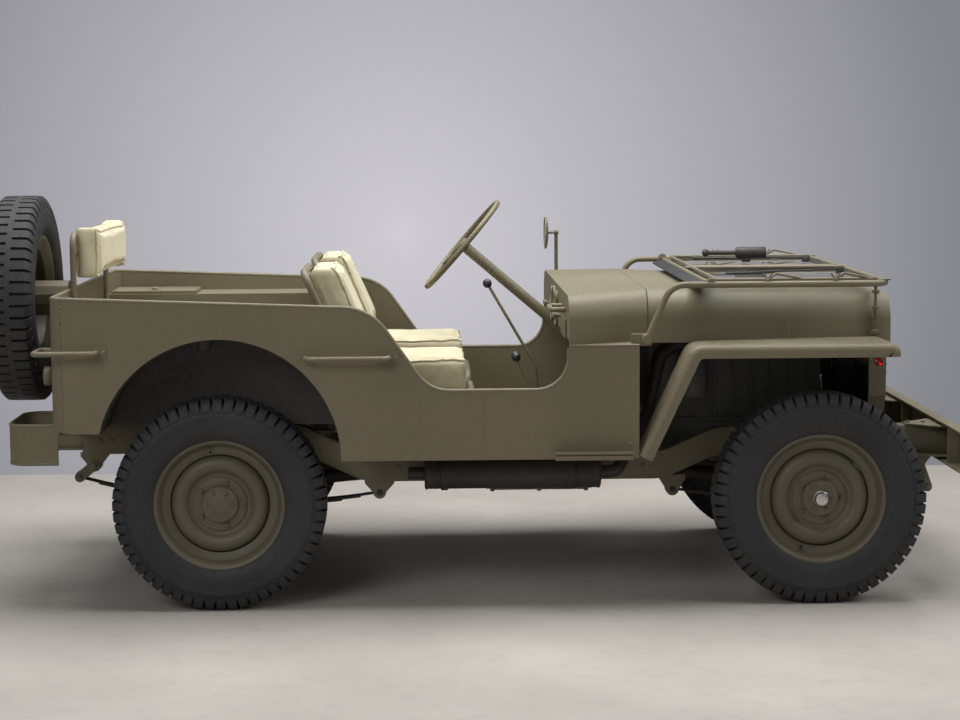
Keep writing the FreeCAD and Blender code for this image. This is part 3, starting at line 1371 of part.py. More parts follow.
def rear_seat():
    y = REAR_SEAT_HALF - REAR_SEAT_TUBE
    z = REAR_CUSHION_LOW_Z - REAR_SEAT_TUBE - RUN_GAP
    back_x = REAR_BACK_X + REAR_BACK_THICK + REAR_SEAT_TUBE + RUN_GAP
    front_x = REAR_CUSHION_FRONT_X
    middle_z = (REAR_BACK_LOW_Z + REAR_BACK_TOP_Z) / 2
    runs = []
    for side_y in (-y, y):
        runs.append(((back_x, side_y, REAR_FLOOR_Z), (back_x, side_y, REAR_BACK_TOP_Z)))
        runs.append(((back_x, side_y, z), (front_x, side_y, z)))
        runs.append(((front_x, side_y, REAR_FLOOR_Z), (front_x, side_y, z)))
    for x, bar_z in ((front_x, z), (back_x, z), (back_x, middle_z)):
        runs.append(((x, -y, bar_z), (x, y, bar_z)))
    return fused([rod(start, end, REAR_SEAT_TUBE) for start, end in runs])


# Steering and controls


def column_point(distance):
    return Vec(WHEEL_HUB_X, COLUMN_Y, WHEEL_HUB_Z) + COLUMN_RUN * (distance / COLUMN_LENGTH)


def column_rod(radius, start, end):
    return tube([column_point(start), column_point(end)], radius)


def steering_column():
    start = HAND_WHEEL_BAR * 2 + RUN_GAP
    tube = column_rod(COLUMN_RADIUS, start, COLUMN_LENGTH)
    centre = column_point(COLUMN_LENGTH)
    half = STEER_BOX_WIDTH / 2
    gear_case = rod((centre.x, centre.y - half, centre.z), (centre.x, centre.y + half, centre.z),
                    STEER_BOX_RADIUS)
    return fused([tube, gear_case])


def steering_wheel():
    # A thin rim, three spokes and a hub, drawn facing forward and then laid on the column.
    bar = HAND_WHEEL_BAR
    rim = round_ring(HAND_WHEEL_RADIUS, bar, WHEEL_SECTORS, (0, 0, 0))
    hub = rod((0, -bar, 0), (0, bar * 2, 0), HAND_WHEEL_HUB_RADIUS)
    spokes = []
    for i in range(SPOKE_COUNT):
        spoke = rod((0, 0, 0), (HAND_WHEEL_RADIUS, 0, 0), SPOKE_RADIUS)
        spoke.rotate(Vec(0, 0, 0), Y_AXIS, FULL_TURN_DEG / SPOKE_COUNT * i + QUARTER_TURN_DEG)
        spokes.append(spoke)
    shape = fused([rim, hub] + spokes)
    shape.rotate(Vec(0, 0, 0), Z_AXIS, -QUARTER_TURN_DEG)
    shape.rotate(Vec(0, 0, 0), Y_AXIS, COLUMN_RAKE_DEG)
    shape.translate(Vec(WHEEL_HUB_X, COLUMN_Y, WHEEL_HUB_Z))
    return shape


def lever(y, top):
    # A thin stick with a round knob, rising from a flat boot on the floor.
    boot = rod((GEAR_FOOT_X, y, FLOOR_Z), (GEAR_FOOT_X, y, FLOOR_Z + KNOB_RADIUS), BOOT_RADIUS)
    stick = rod((GEAR_FOOT_X, y, FLOOR_Z + KNOB_RADIUS / 2), top, LEVER_RADIUS)
    return fused([boot, stick, ball(top, KNOB_RADIUS)])


def pedal(y):
    low = Vec(PEDAL_X, y - PEDAL_HALF, PEDAL_Z)
    pad = box(low, low + Vec(PEDAL_GAUGE, PEDAL_HALF * 2, PEDAL_HALF * 2))
    stem_z = PEDAL_Z + PEDAL_HALF
    stem = rod((PEDAL_X, y, stem_z), (BODY_FRONT_X - PANEL, y, stem_z), LEVER_RADIUS)
    return fused([pad, stem])


def floor_levers():
    # One gear lever, two transfer levers beside it, and three pedals.
    pieces = [lever(0, Vec(GEAR_KNOB_X, 0, GEAR_KNOB_Z))]
    short_x = (GEAR_KNOB_X + GEAR_FOOT_X) / 2
    short_z = (GEAR_KNOB_Z + FLOOR_Z) / 2
    for i in (1, 2):
        y = -i * LEVER_PITCH
        pieces.append(lever(y, Vec(short_x, y, short_z)))
    for i in (-1, 0, 1):
        pieces.append(pedal(COLUMN_Y - PEDALS_RIGHT_OF_COLUMN + i * PEDAL_PITCH))
    return Part.makeCompound(pieces)


# Screen and fittings


def screen_frame():
    y = SCREEN_HALF - SCREEN_TUBE
    z = SCREEN_FLAT_Z
    arm_x = SCREEN_PIVOT_X + (SCREEN_FLAT_Z - SCREEN_PIVOT_Z) * SCREEN_ARM_SHARE
    hoop = bent_tube([
        (SCREEN_PIVOT_X, y, SCREEN_PIVOT_Z),
        (arm_x, y, z),
        (SCREEN_FRONT_X, y, z),
        (SCREEN_FRONT_X, -y, z),
        (arm_x, -y, z),
        (SCREEN_PIVOT_X, -y, SCREEN_PIVOT_Z),
    ], SCREEN_TUBE, SCREEN_BEND)
    sill = rod((SCREEN_SILL_X, -y, z), (SCREEN_SILL_X, y, z), SILL_RADIUS)
    eye = rod((SCREEN_PIVOT_X, y - SCREEN_TUBE, SCREEN_PIVOT_Z),
              (SCREEN_PIVOT_X, y + SCREEN_TUBE, SCREEN_PIVOT_Z), SCREEN_EYE_RADIUS)
    return fused([hoop, sill, eye, mirrored(eye)])


def screen_glass():
    y = SCREEN_HALF - SCREEN_TUBE * 2 - SCREEN_BEND
    half = GLASS_GAUGE / 2
    return box((SCREEN_SILL_X + SCREEN_TUBE + RUN_GAP, -y, SCREEN_FLAT_Z - half),
               (SCREEN_FRONT_X - SCREEN_TUBE - RUN_GAP, y, SCREEN_FLAT_Z + half))


def handle(rear_x, front_x, z):
    y = BODY_HALF + HANDLE_REACH - HANDLE_BAR
    return bent_tube([(rear_x, BODY_HALF + RUN_GAP, z), (rear_x, y, z), (front_x, y, z),
                      (front_x, BODY_HALF + RUN_GAP, z)], HANDLE_BAR, HANDLE_BEND)


def corner_handle():
    # It wraps round the rear corner from the side to the back.
    y = BODY_HALF + HANDLE_REACH - HANDLE_BAR
    x = TUB_REAR_X - HANDLE_REACH + HANDLE_BAR
    z = CORNER_HANDLE_Z
    end_y = BODY_HALF - CORNER_HANDLE_END_IN
    return bent_tube([(CORNER_HANDLE_X, BODY_HALF + RUN_GAP, z), (CORNER_HANDLE_X, y, z), (x, y, z),
                      (x, end_y, z), (TUB_REAR_X - RUN_GAP, end_y, z)], HANDLE_BAR, HANDLE_BEND)


def side_fittings():
    step = box((STEP_REAR_X, BODY_HALF + RUN_GAP, STEP_Z),
               (STEP_FRONT_X, BODY_HALF + HANDLE_REACH, STEP_Z + STEP_GAUGE))
    pieces = []
    for shape in (handle(HANDLE_REAR_X, HANDLE_FRONT_X, HANDLE_Z), corner_handle(), step):
        pieces += [shape, mirrored(shape)]
    return Part.makeCompound(pieces + [mirror()])


def mirror():
    # Its post stands on a foot outside the tub, so that the raised screen clears it.
    post_x = MIRROR_X + MIRROR_POST_AHEAD
    post_y = BODY_HALF + RUN_GAP + MIRROR_FOOT_HALF
    foot_z = COWL_SIDE_Z - MIRROR_FOOT_HALF
    reach = MIRROR_FOOT_LENGTH / 2
    foot = box((post_x - reach, BODY_HALF + RUN_GAP, foot_z - MIRROR_FOOT_LENGTH),
               (post_x + reach, post_y + MIRROR_FOOT_HALF, foot_z))
    post = rod((post_x, post_y, foot_z - MIRROR_BAR), (post_x, post_y, MIRROR_Z), MIRROR_BAR)
    stem = rod((post_x, post_y, MIRROR_Z), (MIRROR_X - MIRROR_GAUGE / 2, MIRROR_Y, MIRROR_Z), MIRROR_BAR)
    head = rod((MIRROR_X, MIRROR_Y, MIRROR_Z), (MIRROR_X - MIRROR_GAUGE, MIRROR_Y, MIRROR_Z), MIRROR_RADIUS)
    knee = ball((post_x, post_y, MIRROR_Z), MIRROR_BAR)
    return fused([foot, post, knee, stem, head])


def spare_carrier():
    half = CARRIER_PLATE / 2
    disc_x = SPARE_X - RIM_WIDTH / 2 * SPARE_DISC_SHARE
    plate = box((TUB_REAR_X - SHEET - RUN_GAP, SPARE_Y - half, SPARE_Z - CARRIER_DROP),
                (TUB_REAR_X - RUN_GAP, SPARE_Y + half, SPARE_Z + CARRIER_RISE))
    stem = rod((TUB_REAR_X - SHEET, SPARE_Y, SPARE_Z), (disc_x + RUN_GAP, SPARE_Y, SPARE_Z),
               CARRIER_STEM_RADIUS)
    return fused([plate, stem])


def build():
    os.makedirs("parts", exist_ok=True)
    save("frame", frame())
    save("front_bumper", front_bumper())
    save("rear_bumpers", both_sides(rear_bumper()))
    save("tow_hook", tow_hook())
    save("rear_axle", rear_axle())
    save("front_axle", front_axle())
    save("leaf_springs", leaf_springs())
    save("prop_shafts", prop_shafts())
    save("power_unit", power_unit())
    save("radiator", radiator())
    save("exhaust", exhaust())
    save("floor_front", floor_front())
    save("floor_rear", floor_rear())
    save("rear_panel", rear_panel())
    save("cowl", cowl())
    save("hood", hood())
    save("grille", grille())
    save("lamps", Part.makeCompound([headlamps(), small_lamps()]))
    save("rear_seat", rear_seat())
    save("rear_cushions", rear_cushions())
    save("steering_column", steering_column())
    save("steering_wheel", steering_wheel())
    save("floor_levers", floor_levers())
    save("screen_frame", screen_frame())
    save("screen_glass", screen_glass())
    save("side_fittings", side_fittings())
    save("spare_carrier", spare_carrier())
    save("spare_wheel", spare_wheel())
    save("spare_tyre", spare_tyre())
    save("bell_crank", bell_crank())
    save("drop_arm", drop_arm())
    save("drag_link", drag_link())
    for name, side in SIDES.items():
        save("tub_side_" + name, tub_side(side))
        save("wheelhouse_" + name, wheelhouse(side))
        save("tool_lid_" + name, tool_lid(side))
        save("fender_" + name, fender(side))
        save("seat_" + name, front_seat(side))
        save("cushions_" + name, front_cushions(side))
        save("knuckle_" + name, knuckle(side))
        save("tie_rod_" + name, tie_rod(side))
        for end, x in (("front", WHEELBASE), ("rear", 0)):
            save("wheel_" + end + "_" + name, road_wheel(x, side))
            save("tyre_" + end + "_" + name, tyre((x, side * WHEEL_Y, AXLE_Z), side))


build()
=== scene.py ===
import bmesh
import bpy
import json
import math
from mathutils import Matrix, Vector


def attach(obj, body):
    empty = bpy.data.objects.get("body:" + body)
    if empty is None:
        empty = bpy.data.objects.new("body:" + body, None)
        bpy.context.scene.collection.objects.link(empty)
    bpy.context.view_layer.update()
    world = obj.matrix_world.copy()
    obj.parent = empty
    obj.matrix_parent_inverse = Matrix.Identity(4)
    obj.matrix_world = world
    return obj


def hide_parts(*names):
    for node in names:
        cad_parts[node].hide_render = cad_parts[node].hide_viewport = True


# The looks of the army 4x4 car: smooth forms over its plain solids, its
# cushions, tyre lugs, trim and materials, and the studio it is seen in.
# Lengths are millimetres and X is counted from the rear axle, as in the
# part's source. A piece is turned into metres and shifted when it is made.

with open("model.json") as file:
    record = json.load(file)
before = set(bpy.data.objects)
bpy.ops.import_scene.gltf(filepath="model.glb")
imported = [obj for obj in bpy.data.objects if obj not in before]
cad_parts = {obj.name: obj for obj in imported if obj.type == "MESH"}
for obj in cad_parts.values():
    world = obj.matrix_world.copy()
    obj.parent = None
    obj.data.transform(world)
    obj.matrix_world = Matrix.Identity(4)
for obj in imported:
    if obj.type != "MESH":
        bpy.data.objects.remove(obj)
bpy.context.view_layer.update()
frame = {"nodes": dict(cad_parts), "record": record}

MM = 0.001
LEFT = 1
RIGHT = -1
SIDES = {"left": LEFT, "right": RIGHT}
X_AXIS = Vector((1, 0, 0))
Y_AXIS = Vector((0, 1, 0))
Z_AXIS = Vector((0, 0, 1))

# The photograph's camera
CAMERA_PLACE = (-0.1855, -7.624, 1.603)
CAMERA_LENS = 78.30
CAMERA_SENSOR = 36.0
CAMERA_YAW_DEG = 1.53
CAMERA_PITCH_DEG = 6.24
CAMERA_ROLL_DEG = -0.36

# Driving dimensions, as in the part's source
WHEELBASE = 2032.0
TRACK = 1244.0
TYRE_RADIUS = 360.0
TYRE_WIDTH = 158.0
BODY_WIDTH = 1460.0
SPARE_BACK_X = -786.0
PANEL = 12.0
SHEET = 8.0

BUMPER_FACE_X = WHEELBASE + 513.0
MID_X = (BUMPER_FACE_X + SPARE_BACK_X) / 2
BODY_HALF = BODY_WIDTH / 2
WHEEL_Y = TRACK / 2
SPARE_X = SPARE_BACK_X + TYRE_WIDTH / 2
SPARE_Y = -240.0
SPARE_Z = 1030.0

# Wheels and tyres
BEAD_RADIUS = 205.0
RIM_RADIUS = 222.0
TREAD_DEPTH = 13.0
LUG_COUNT = 56
LUG_SHARE = 0.74
RIB_HALF = 9.0
NUT_RING_RADIUS = 76.0
NUT_COUNT = 5
HUB_BOLT_RADIUS = 44.0
HUB_BOLT_COUNT = 6
HUB_FACE = 48.0
DISC_FACE = 32.0
STUD_RADIUS = 5.0
STUD_LENGTH = 15.0
HUB_FLANGE = [(0, 20), (60, 20), (62, 30), (62, 44), (58, HUB_FACE), (36, 49), (32, 51), (0, 51)]
HUB_NOSE = [(30, 52), (29, 56), (0, 57)]
VALVE_RING_RADIUS = 178.0
VALVE_FOOT = 26.0
VALVE_LENGTH = 22.0
VALVE_LEAN = 10.0
VALVE_RADIUS = 4.0
FRONT_VALVE_DEG = 200.0
REAR_VALVE_DEG = -10.0
TYRE_SECTORS = 112
ROOT_SPREAD_SHARE = 1.25
RIB_SINK = 4.0
RIB_SPREAD = 3.0

# Frame and running gear
AXLE_Z = TYRE_RADIUS
KINGPIN_Y = WHEEL_Y - 92.0
BACKPLATE_Y = WHEEL_Y - 50.0
RUN_GAP = 0.3
RAIL_OUTER_Y = 371.0
RAIL_WIDTH = 52.0
RAIL_DEPTH = 100.0
RAIL_GAUGE = 7.0
RAIL_LOW_Z = 383.0
RAIL_REAR_Z = 490.0
RAIL_FRONT_Z = 466.0
RAIL_REAR_X = -500.0
KICK_ROUND = 160.0
CROSS_WIDTH = 60.0
CROSS_DEPTH = 70.0
CROSS_LIFT = 15.0
GUSSET_REACH = 46.0
GUSSET_DEPTH = 70.0
PLATE_GAUGE = 5.0
SKID_DROP = 35.0
SKID_GAUGE = 6.0
RAIL_FRONT_X = BUMPER_FACE_X - 9.0
REAR_KICK_END_X = 250.0
REAR_KICK_START_X = 480.0
FRONT_KICK_START_X = WHEELBASE - 502.0
FRONT_KICK_END_X = WHEELBASE - 312.0
CROSS_REAR_X = 290.0
CROSS_FRONT_X = WHEELBASE + 208.0
AXLE_TUBE_RADIUS = 38.0
DIFF_Y = -185.0
DIFF_REACH = 187.8
COVER_BOLT_COUNT = 10
COVER_BOLT_RADIUS = 117.0
COVER_FACE = 26.0
SLEEVE_OUT = 84.0
DISH_BOLT_RADIUS = 58.0
CUP_REACH = 72.0
KNUCKLE_BOLT_RADIUS = 22.0
KNUCKLE_CAP = 80.0
STEER_ARM = 165.0
STEER_ARM_WIDTH = 36.0
STEER_ARM_GAUGE = 16.0
STEER_ARM_Z = 402.0
ARM_END = 18.0
STEER_BOX_HALF = 35.0
BELL_CRANK_Y = 60.0
LINK_BAR = 9.6
LINK_EYE = 12.0
DRAG_LINK_Y = BELL_CRANK_Y + STEER_ARM
DRAG_LINK_Z = STEER_ARM_Z + STEER_ARM_GAUGE + RUN_GAP + LINK_EYE
DROP_ARM_GAUGE = 16.0
SPRING_Y = 345.0
SPRING_WIDTH = 40.0
LEAF_COUNT = 7
LEAF_PITCH = 4.7
LEAF_GAUGE = 4.3
LEAF_INSET = 1.0
LEAF_STEPS = 28
CLIP_SHARE = 0.42
U_BOLT_BAR = 6.0
U_BOLT_OUT = 8.0
U_BOLT_REACH = 46.0
U_BOLT_RISE = 46.0
HANGER_ROUND = 23.0
REAR_SPRING_REAR_X = -515.0
REAR_SPRING_FRONT_X = 532.0
FRONT_SPRING_REAR_X = WHEELBASE - 468.0
FRONT_SPRING_FRONT_X = WHEELBASE + 436.0
SPRING_EYE_Z = 345.0
REAR_SPRING_EYE_Z = 410.0
REAR_SHACKLE_PIN = (REAR_SPRING_REAR_X + 52, 452.0)
FRONT_SHACKLE_PIN = (FRONT_SPRING_FRONT_X - 30, 428.0)
SHAFT_RADIUS = 24.0
SHAFT_LIFT = 64.0
TRANSFER_LENGTH = 200.3
YOKE_OUT = 24.0
YOKE_BAR = 9.0
PIPE_RADIUS = 22.0
RAIL_RIVETS = ((-440, 540), (-400, 540), (300, 510), (330, 494), (600, 433), (1240, 433), (1460, 433),
               (2240, 516), (2290, 516))
MUFFLER_Y = -470.0
MUFFLER_Z = 428.0

# Tub
TUB_REAR_X = -545.0
TUB_TOP_REAR_Z = 1062.0
TUB_TOP_FRONT_Z = 1022.0
TUB_LOW_REAR_Z = 612.0
BODY_LOW_Z = 512.0
BODY_FRONT_X = WHEELBASE - 622.0
SILL_Z = 745.0
COWL_SIDE_Z = 888.0
DOOR_TOP_ROUND = 180.0
DOOR_REAR_ROUND = 130.0
DOOR_FRONT_ROUND = 110.0
TUB_CORNER_ROUND = 60.0
TUB_PLAN_ROUND = 38.0
BODY_SEAM_X = 891.0
SIDE_RIVETS = ((-505, 1035), (-505, 990), (-440, 1035), (560, 560), (560, 620), (1380, 860), (1380, 560),
               (1240, 860))
TUB_FOOT_LIFT = 4.0
BEAD_BAR = 7.5
SEAM_BAR = 2.2
RIB_BAR = 5.0
BACK_RIB_IN = 90.0
BACK_RIB_HALF = 420.0
BACK_RIVET_Z = 1000.0
ARCH_X = 7.0
ARCH_Z = 518.0
ARCH_RADIUS = 406.0
ARCH_STEPS = 48
ARCH_WALL_Y = 502.0
LID_REAR_X = -520.0
LID_FRONT_X = -190.0
LID_LOW_Y = 500.0
LID_HIGH_Y = 694.0
LID_TOP_Z = 994.3
FLOOR_Z = 532.0
REAR_FLOOR_Z = 620.0
REAR_FLOOR_FRONT_X = 440.0


def cab_x(share):
    return REAR_FLOOR_FRONT_X + (BODY_FRONT_X - REAR_FLOOR_FRONT_X) * share


TRANSFER_X = cab_x(0.505)
TRANSFER_LOW_Z = FLOOR_Z - PANEL - RUN_GAP - 160.0
DOOR_REAR_X = cab_x(0.076)
DOOR_SLOPE_END_X = cab_x(0.276)
COWL_REAR_X = cab_x(0.758)

# Cowl, hood and fenders
COWL_FRONT_X = BODY_FRONT_X + 40.0
COWL_TOP_Z = 1056.0
COWL_FRONT_TOP_Z = 1068.0
COWL_ROUND = 80.0
HOOD_REAR_X = COWL_FRONT_X + 2.0
HOOD_FRONT_X = WHEELBASE + 279.0
HOOD_REAR_HALF = 604.0
HOOD_FRONT_HALF = 455.0
HOOD_REAR_LOW_Z = 888.0
HOOD_FRONT_LOW_Z = 868.0
HOOD_REAR_TOP_Z = 1067.0
HOOD_FRONT_TOP_Z = 1036.0
HOOD_ROUND = 95.0
FENDER_OUTER_Y = 750.0
FENDER_TOP_Z = 892.0
FENDER_LIP_Z = 848.0
FENDER_GAUGE = 6.0
FENDER_FOOT_X = BODY_FRONT_X - 10.0
FENDER_FOOT_Z = 500.0
FENDER_REAR_TOP_X = WHEELBASE - 447.0
FENDER_FRONT_X = WHEELBASE + 253.0
FENDER_REAR_ROUND = 60.0
FENDER_FRONT_ROUND = 36.0
FENDER_EDGE_ROUND = 22.0
GRILLE_X = WHEELBASE + 268.0
HOOD_GAUGE = 6.0
DASH_LIFT = 20.0

# Bumpers, lamps and engine bay
BUMPER_LOW_Z = 446.0
BUMPER_TOP_Z = 586.0
BUMPER_HALF = 700.0
BUMPER_DEPTH = 50.0
BUMPER_GAUGE = 6.0
PLATE_BACK = 150.0
PLATE_WIDE_BACK = 46.0
BAND_FACE_X = -708.0
BAND_INNER_Y = 300.0
BAND_OUTER_Y = 640.0
BAND_LOW_Z = 500.0
BAND_TOP_Z = 630.0
BAND_ROUND = 62.0
BAND_HALF_GAUGE = 4.0
TOW_RING_RADIUS = 40.0
TOW_RING_OUT = 80.0
TOW_BAR = 11.0
LAMP_Y = 318.0
HEADLAMP_Z = 850.0
MARKER_Z = 728.0
TAIL_LAMP_Z = 800.0
SIDE_LAMP_Y = 736.0
SIDE_LAMP_Z = 831.0
SLOT_COUNT = 9
SLOT_PITCH = 48.0
SLOT_HALF = 16.0
SLOT_LOW_Z = 640.0
SLOT_TOP_Z = 965.0
RADIATOR_HALF = 200.0
RADIATOR_DEPTH = 55.0
RADIATOR_LOW_Z = 560.0
RADIATOR_TOP_Z = 990.0
FIN_PITCH = 15.0
WATER_TUBE_PITCH = 26.0
ENGINE_REAR_X = 1500.0
ENGINE_FRONT_X = 2120.0
ENGINE_HALF = 165.0
BLOCK_LOW_Z = 560.0
BLOCK_TOP_Z = 900.0
FAN_Z = 850.0
FAN_RADIUS = 150.0
COIL_TURNS = 8
COIL_STEPS = 12
CRANK_Z = 640.0
GENERATOR_PLACE = (1720.0, 232.0, 700.0)
OIL_FILTER_PLACE = (1650.0, -232.0, 660.0)
EXHAUST_RUN = [(1600, -190, 842), (1540, -190, 800), (1500, -200, 620), (1440, -300, 500)]

# Seats
SEAT_Y = 345.0
SEAT_WIDTH = 450.0
SEAT_TUBE = 13.0
SEAT_FOOT_X = cab_x(0.039)
SEAT_FRONT_X = cab_x(0.428)
SEAT_BAR_Z = 702.7
BACK_BAR_Z = 1130.75
BACK_LEAN_DEG = 24.0
REAR_SEAT_TUBE = 14.0
REAR_SEAT_Y = 371.0
REAR_BACK_BAR_X = -518.5
REAR_POST_TUBE = 10.5
REAR_POST_BEND = 45.0
REAR_POST_DROP = 30.0
REAR_BACK_RAIL_Z = 1193.0
HOOP_BEND = 52.0
LEG_BEND = 40.0
PAD_VOXEL = 9.0
WELT_STEP = 10.0
WELT_GAP_SHARE = 0.4
WELT_LIFT = 1.0
WELT_RADIUS = 4.2
REAR_BACK_TOP_Z = 1286.0
REAR_SEAT_BAR_Z = 785.7
REAR_CUSHION_FRONT_X = -40.0

# Steering and screen
WHEEL_HUB = (cab_x(0.414), 340.0, 1176.0)
STEER_BOX = (WHEELBASE - 510.0, 340.0, 595.3)
HAND_WHEEL_RADIUS = 208.0
HAND_WHEEL_BAR = 10.0
COLUMN_RADIUS = 20.0
SPOKE_BAR = 4.0
LEVER_TOP_X = cab_x(0.501)
LEVER_TOP_Z = 1051.0
LEVER_FOOT_X = cab_x(0.705)
LEVER_PITCH = 63.0
PEDAL_Y = 289.0
PEDAL_Z = 640.0
PEDAL_PITCH = 102.0
DIALS = ((0, 985, 52), (-120, 1000, 28), (-120, 935, 28), (120, 1000, 28), (120, 935, 28))
SWITCH_Z = 960.0
GRAB_NEAR_Y = -400.0
GRAB_FAR_Y = -560.0
GRAB_Z = 1000.0
SCREEN_PIVOT_X = COWL_FRONT_X - 14.0
SCREEN_PIVOT_Z = 912.0
SCREEN_HALF = 725.0
SCREEN_FLAT_Z = 1092.0
SCREEN_TUBE = 11.0
SCREEN_BEND = 70.0
SCREEN_SILL_X = WHEELBASE - 382.0
SCREEN_FRONT_X = WHEELBASE + 213.0
PANE_NEAR_Y = 24.0
PANE_FAR_Y = 664.0
STAY_Y = 712.0
STAY_SHARES = (0.30, 0.72)
WIPER_MOTOR_Y = 350.0

# Fittings
HANDLE_BAR = 9.0
HANDLE_REACH = 57.0
SIDE_HANDLE_X = (300.0, 575.0)
SIDE_HANDLE_Z = 860.0
CORNER_HANDLE_X = -390.0
CORNER_HANDLE_Z = 885.0
STEP_REAR_X = cab_x(0.706)
STEP_FRONT_X = cab_x(0.975)
MIRROR_ARM = 34.0
MIRROR_X = cab_x(0.775)
MIRROR_Y = 716.0
MIRROR_Z = 1200.0
MIRROR_RADIUS = 64.0

# Turned profiles, each as radius and place along its axis
RIM_BACK = [(BEAD_RADIUS - 4, -52), (RIM_RADIUS - 8, -60), (RIM_RADIUS, -62), (RIM_RADIUS - 4, -64),
            (RIM_RADIUS - 14, -62), (BEAD_RADIUS - 12, -50), (BEAD_RADIUS - 30, -40),
            (BEAD_RADIUS - 38, -12)]
RIM_FRONT = [(BEAD_RADIUS - 40, 14), (168, 24), (180, 29), (194, 32), (200, 40), (204, 50), (209, 58),
             (214, 62), (219, 63), (222, 61), (222, 57), (214, 54), (BEAD_RADIUS + 2, 46),
             (BEAD_RADIUS - 3, 30), (BEAD_RADIUS - 6, 0)]
WHEEL_DISC = [(163, 8), (164, 20), (161, 31), (155, 39), (146, 45), (135, 48), (125, 46), (116, 40),
              (109, 32), (103, 27), (97, 25), (93, 26), (91, 30), (86, 32), (40, 32), (40, 24), (95, 18),
              (118, 32), (135, 40), (150, 34), (156, 22), (157, 8)]
BRAKE_DRUM = [(0, 16), (128, 16), (130, 12), (130, -30), (122, -33), (0, -33)]
GREASE_CAP = [(0, 55), (25, 55), (26, 58), (24, 60), (24, 70), (20, 76), (10, 79), (0, 79.5)]
GREASE_CAP_NUT = [(0, 76), (8, 76), (8, 79.8), (0, 79.8)]
DIFF_CASE = [(0, -92), (46, -90), (82, -80), (104, -60), (112, -36), (112, -26), (122, -26), (122, -14),
             (116, -12), (113, 10), (102, 48), (80, 84), (60, 108), (52, 130), (48, 168), (56, 170),
             (56, 184), (0, 187)]
AXLE_SLEEVE = [(38, 0), (58, 0), (56, 30), (46, 60), (38, 74)]
BACKPLATE_DISH = [(30, -10), (70, -9), (108, -4), (118, 0), (122, 2), (122, 8), (116, 8), (30, 6)]
AXLE_CUP = [(0, -96), (42, -95), (52, -84), (64, -70), (66, -60), (0, -60)]
KNUCKLE_HOUSING = [(0, -85), (28, -85), (32, -80), (32, -72), (46, -68), (56, -44), (58, -12), (58, 12),
                   (56, 44), (46, 68), (32, 72), (32, 80), (28, 85), (0, 85)]
SPINDLE_FLANGE = [(46, 0), (46, 22), (62, 28), (62, 36)]
LINK_EYE_RING = [(0, -12), (10, -12), (16, -9), (18, -4), (18, 4), (16, 9), (10, 12), (0, 12)]
LINK_SLEEVE = [(9, 20), (11, 22), (11, 66), (9, 68)]
LINK_CLAMP = [(9, 74), (11.6, 74), (11.6, 86), (9, 86)]
CRANK_HUB = [(22, 0), (22, 8), (12, 14)]
SPRING_EYE = [(8, -20), (17, -20), (18.5, -18), (18.5, 18), (17, 20), (8, 20)]
JOINT_FLANGE = [(0, 0), (37, 0), (37, 9), (24, 13), (20, 30), (0, 32)]
SHAFT_COLLAR = [(22, 66), (30, 74), (30, 92), (24, 98)]
MUFFLER_END = [(0, 0), (48, 0), (56, 3), (58, 8), (55, 12), (55, 34), (57, 37), (55, 40)]
MUFFLER_STRAP = [(55, 0), (60, 0), (60, 24), (55, 24)]
TOW_STEM = [(44, 0), (44, 8), (24, 12), (18, 20), (18, 44)]
FILLER_CAP = [(34, 0), (38, 6), (38, 16), (30, 20)]
GENERATOR_CASE = [(58, 0), (64, 8), (64, 150), (56, 158)]
CRANK_PULLEY = [(70, 0), (74, 6), (74, 14), (66, 20)]
FAN_PULLEY = [(48, 0), (52, 5), (52, 12), (46, 18)]
OIL_FILTER = [(50, 0), (54, 6), (54, 130), (46, 142)]
LATCH_FOOT = [(12, 0), (13, 3), (13, 9), (12, 12)]
SEAT_LEG_FOOT = [(24, 0), (24, 4), (14, 6)]
HAND_WHEEL_HUB = [(24, -20), (28, -12), (28, 4), (22, 9), (8, 11)]
STEER_BOX_DRUM = [(56, -STEER_BOX_HALF), (62, -28), (62, 28), (56, STEER_BOX_HALF)]
LEVER_BOOT = [(34, 0), (36, 5), (30, 9), (29, 14), (32, 18), (26, 22), (25, 27), (27, 31), (18, 36), (8, 44)]
DASH_SWITCH = [(0, 0), (5, 0), (5, 16), (11, 18), (12, 24), (9, 29), (0, 30)]
BUMP_STOP = [(0, 0), (30, 0), (32, 6), (26, 30), (20, 42), (0, 46)]
LID_KNOB = [(11, 0), (11, 6), (7, 9)]
SCREEN_PIVOT_BOSS = [(16, -11), (17, -9), (17, 9), (16, 11)]
WIPER_CASE = [(0, 0), (20, 0), (22, 4), (22, 108), (18, 114), (0, 116)]
STAY_NUT = [(9, 0), (9, 8), (5, 14)]
WIPER_PIVOT = [(0, 0), (15, 0), (16, 4), (16, 20), (12, 26), (0, 28)]
SILL_NUT = [(13, -9), (14, -6), (14, 6), (13, 9)]

# Roundness
ROUND_STEP_DEG = 7.5
TUBE_SIDES = 18
TURN_SECTORS = 72
SHARP_DEG = 38.0

# Finishes: widths of rubbed edges and depths of the surface
PAINT_WEAR = 1.5
RUBBER_WEAR = 3.0
PAINT_PEEL = 0.5
METAL_GRAIN = 0.5
RUBBER_PEBBLE = 0.8
CANVAS_CREASE = 4.0
FLOOR_GRAIN = 2.0

# Studio
FLOOR_SIZE = 14.0
FLOOR_DARK = (0.40, 0.37, 0.335)
FLOOR_LIGHT = (0.50, 0.465, 0.425)
WALL_LINE_Y = 2.2
WALL_LINE_BLUR = 0.02
WALL_LIGHT = (0.62, 0.60, 0.65)
WALL_DARK = (0.23, 0.235, 0.258)
WALL_GLOW_LINE = (-0.0105, 0.9988, -0.048)
WALL_GLOW_ANGLE = 0.27
WORLD_LIGHT = (1.0, 1.0, 1.0)
WORLD_LEVEL = 0.10


# Drawing tools


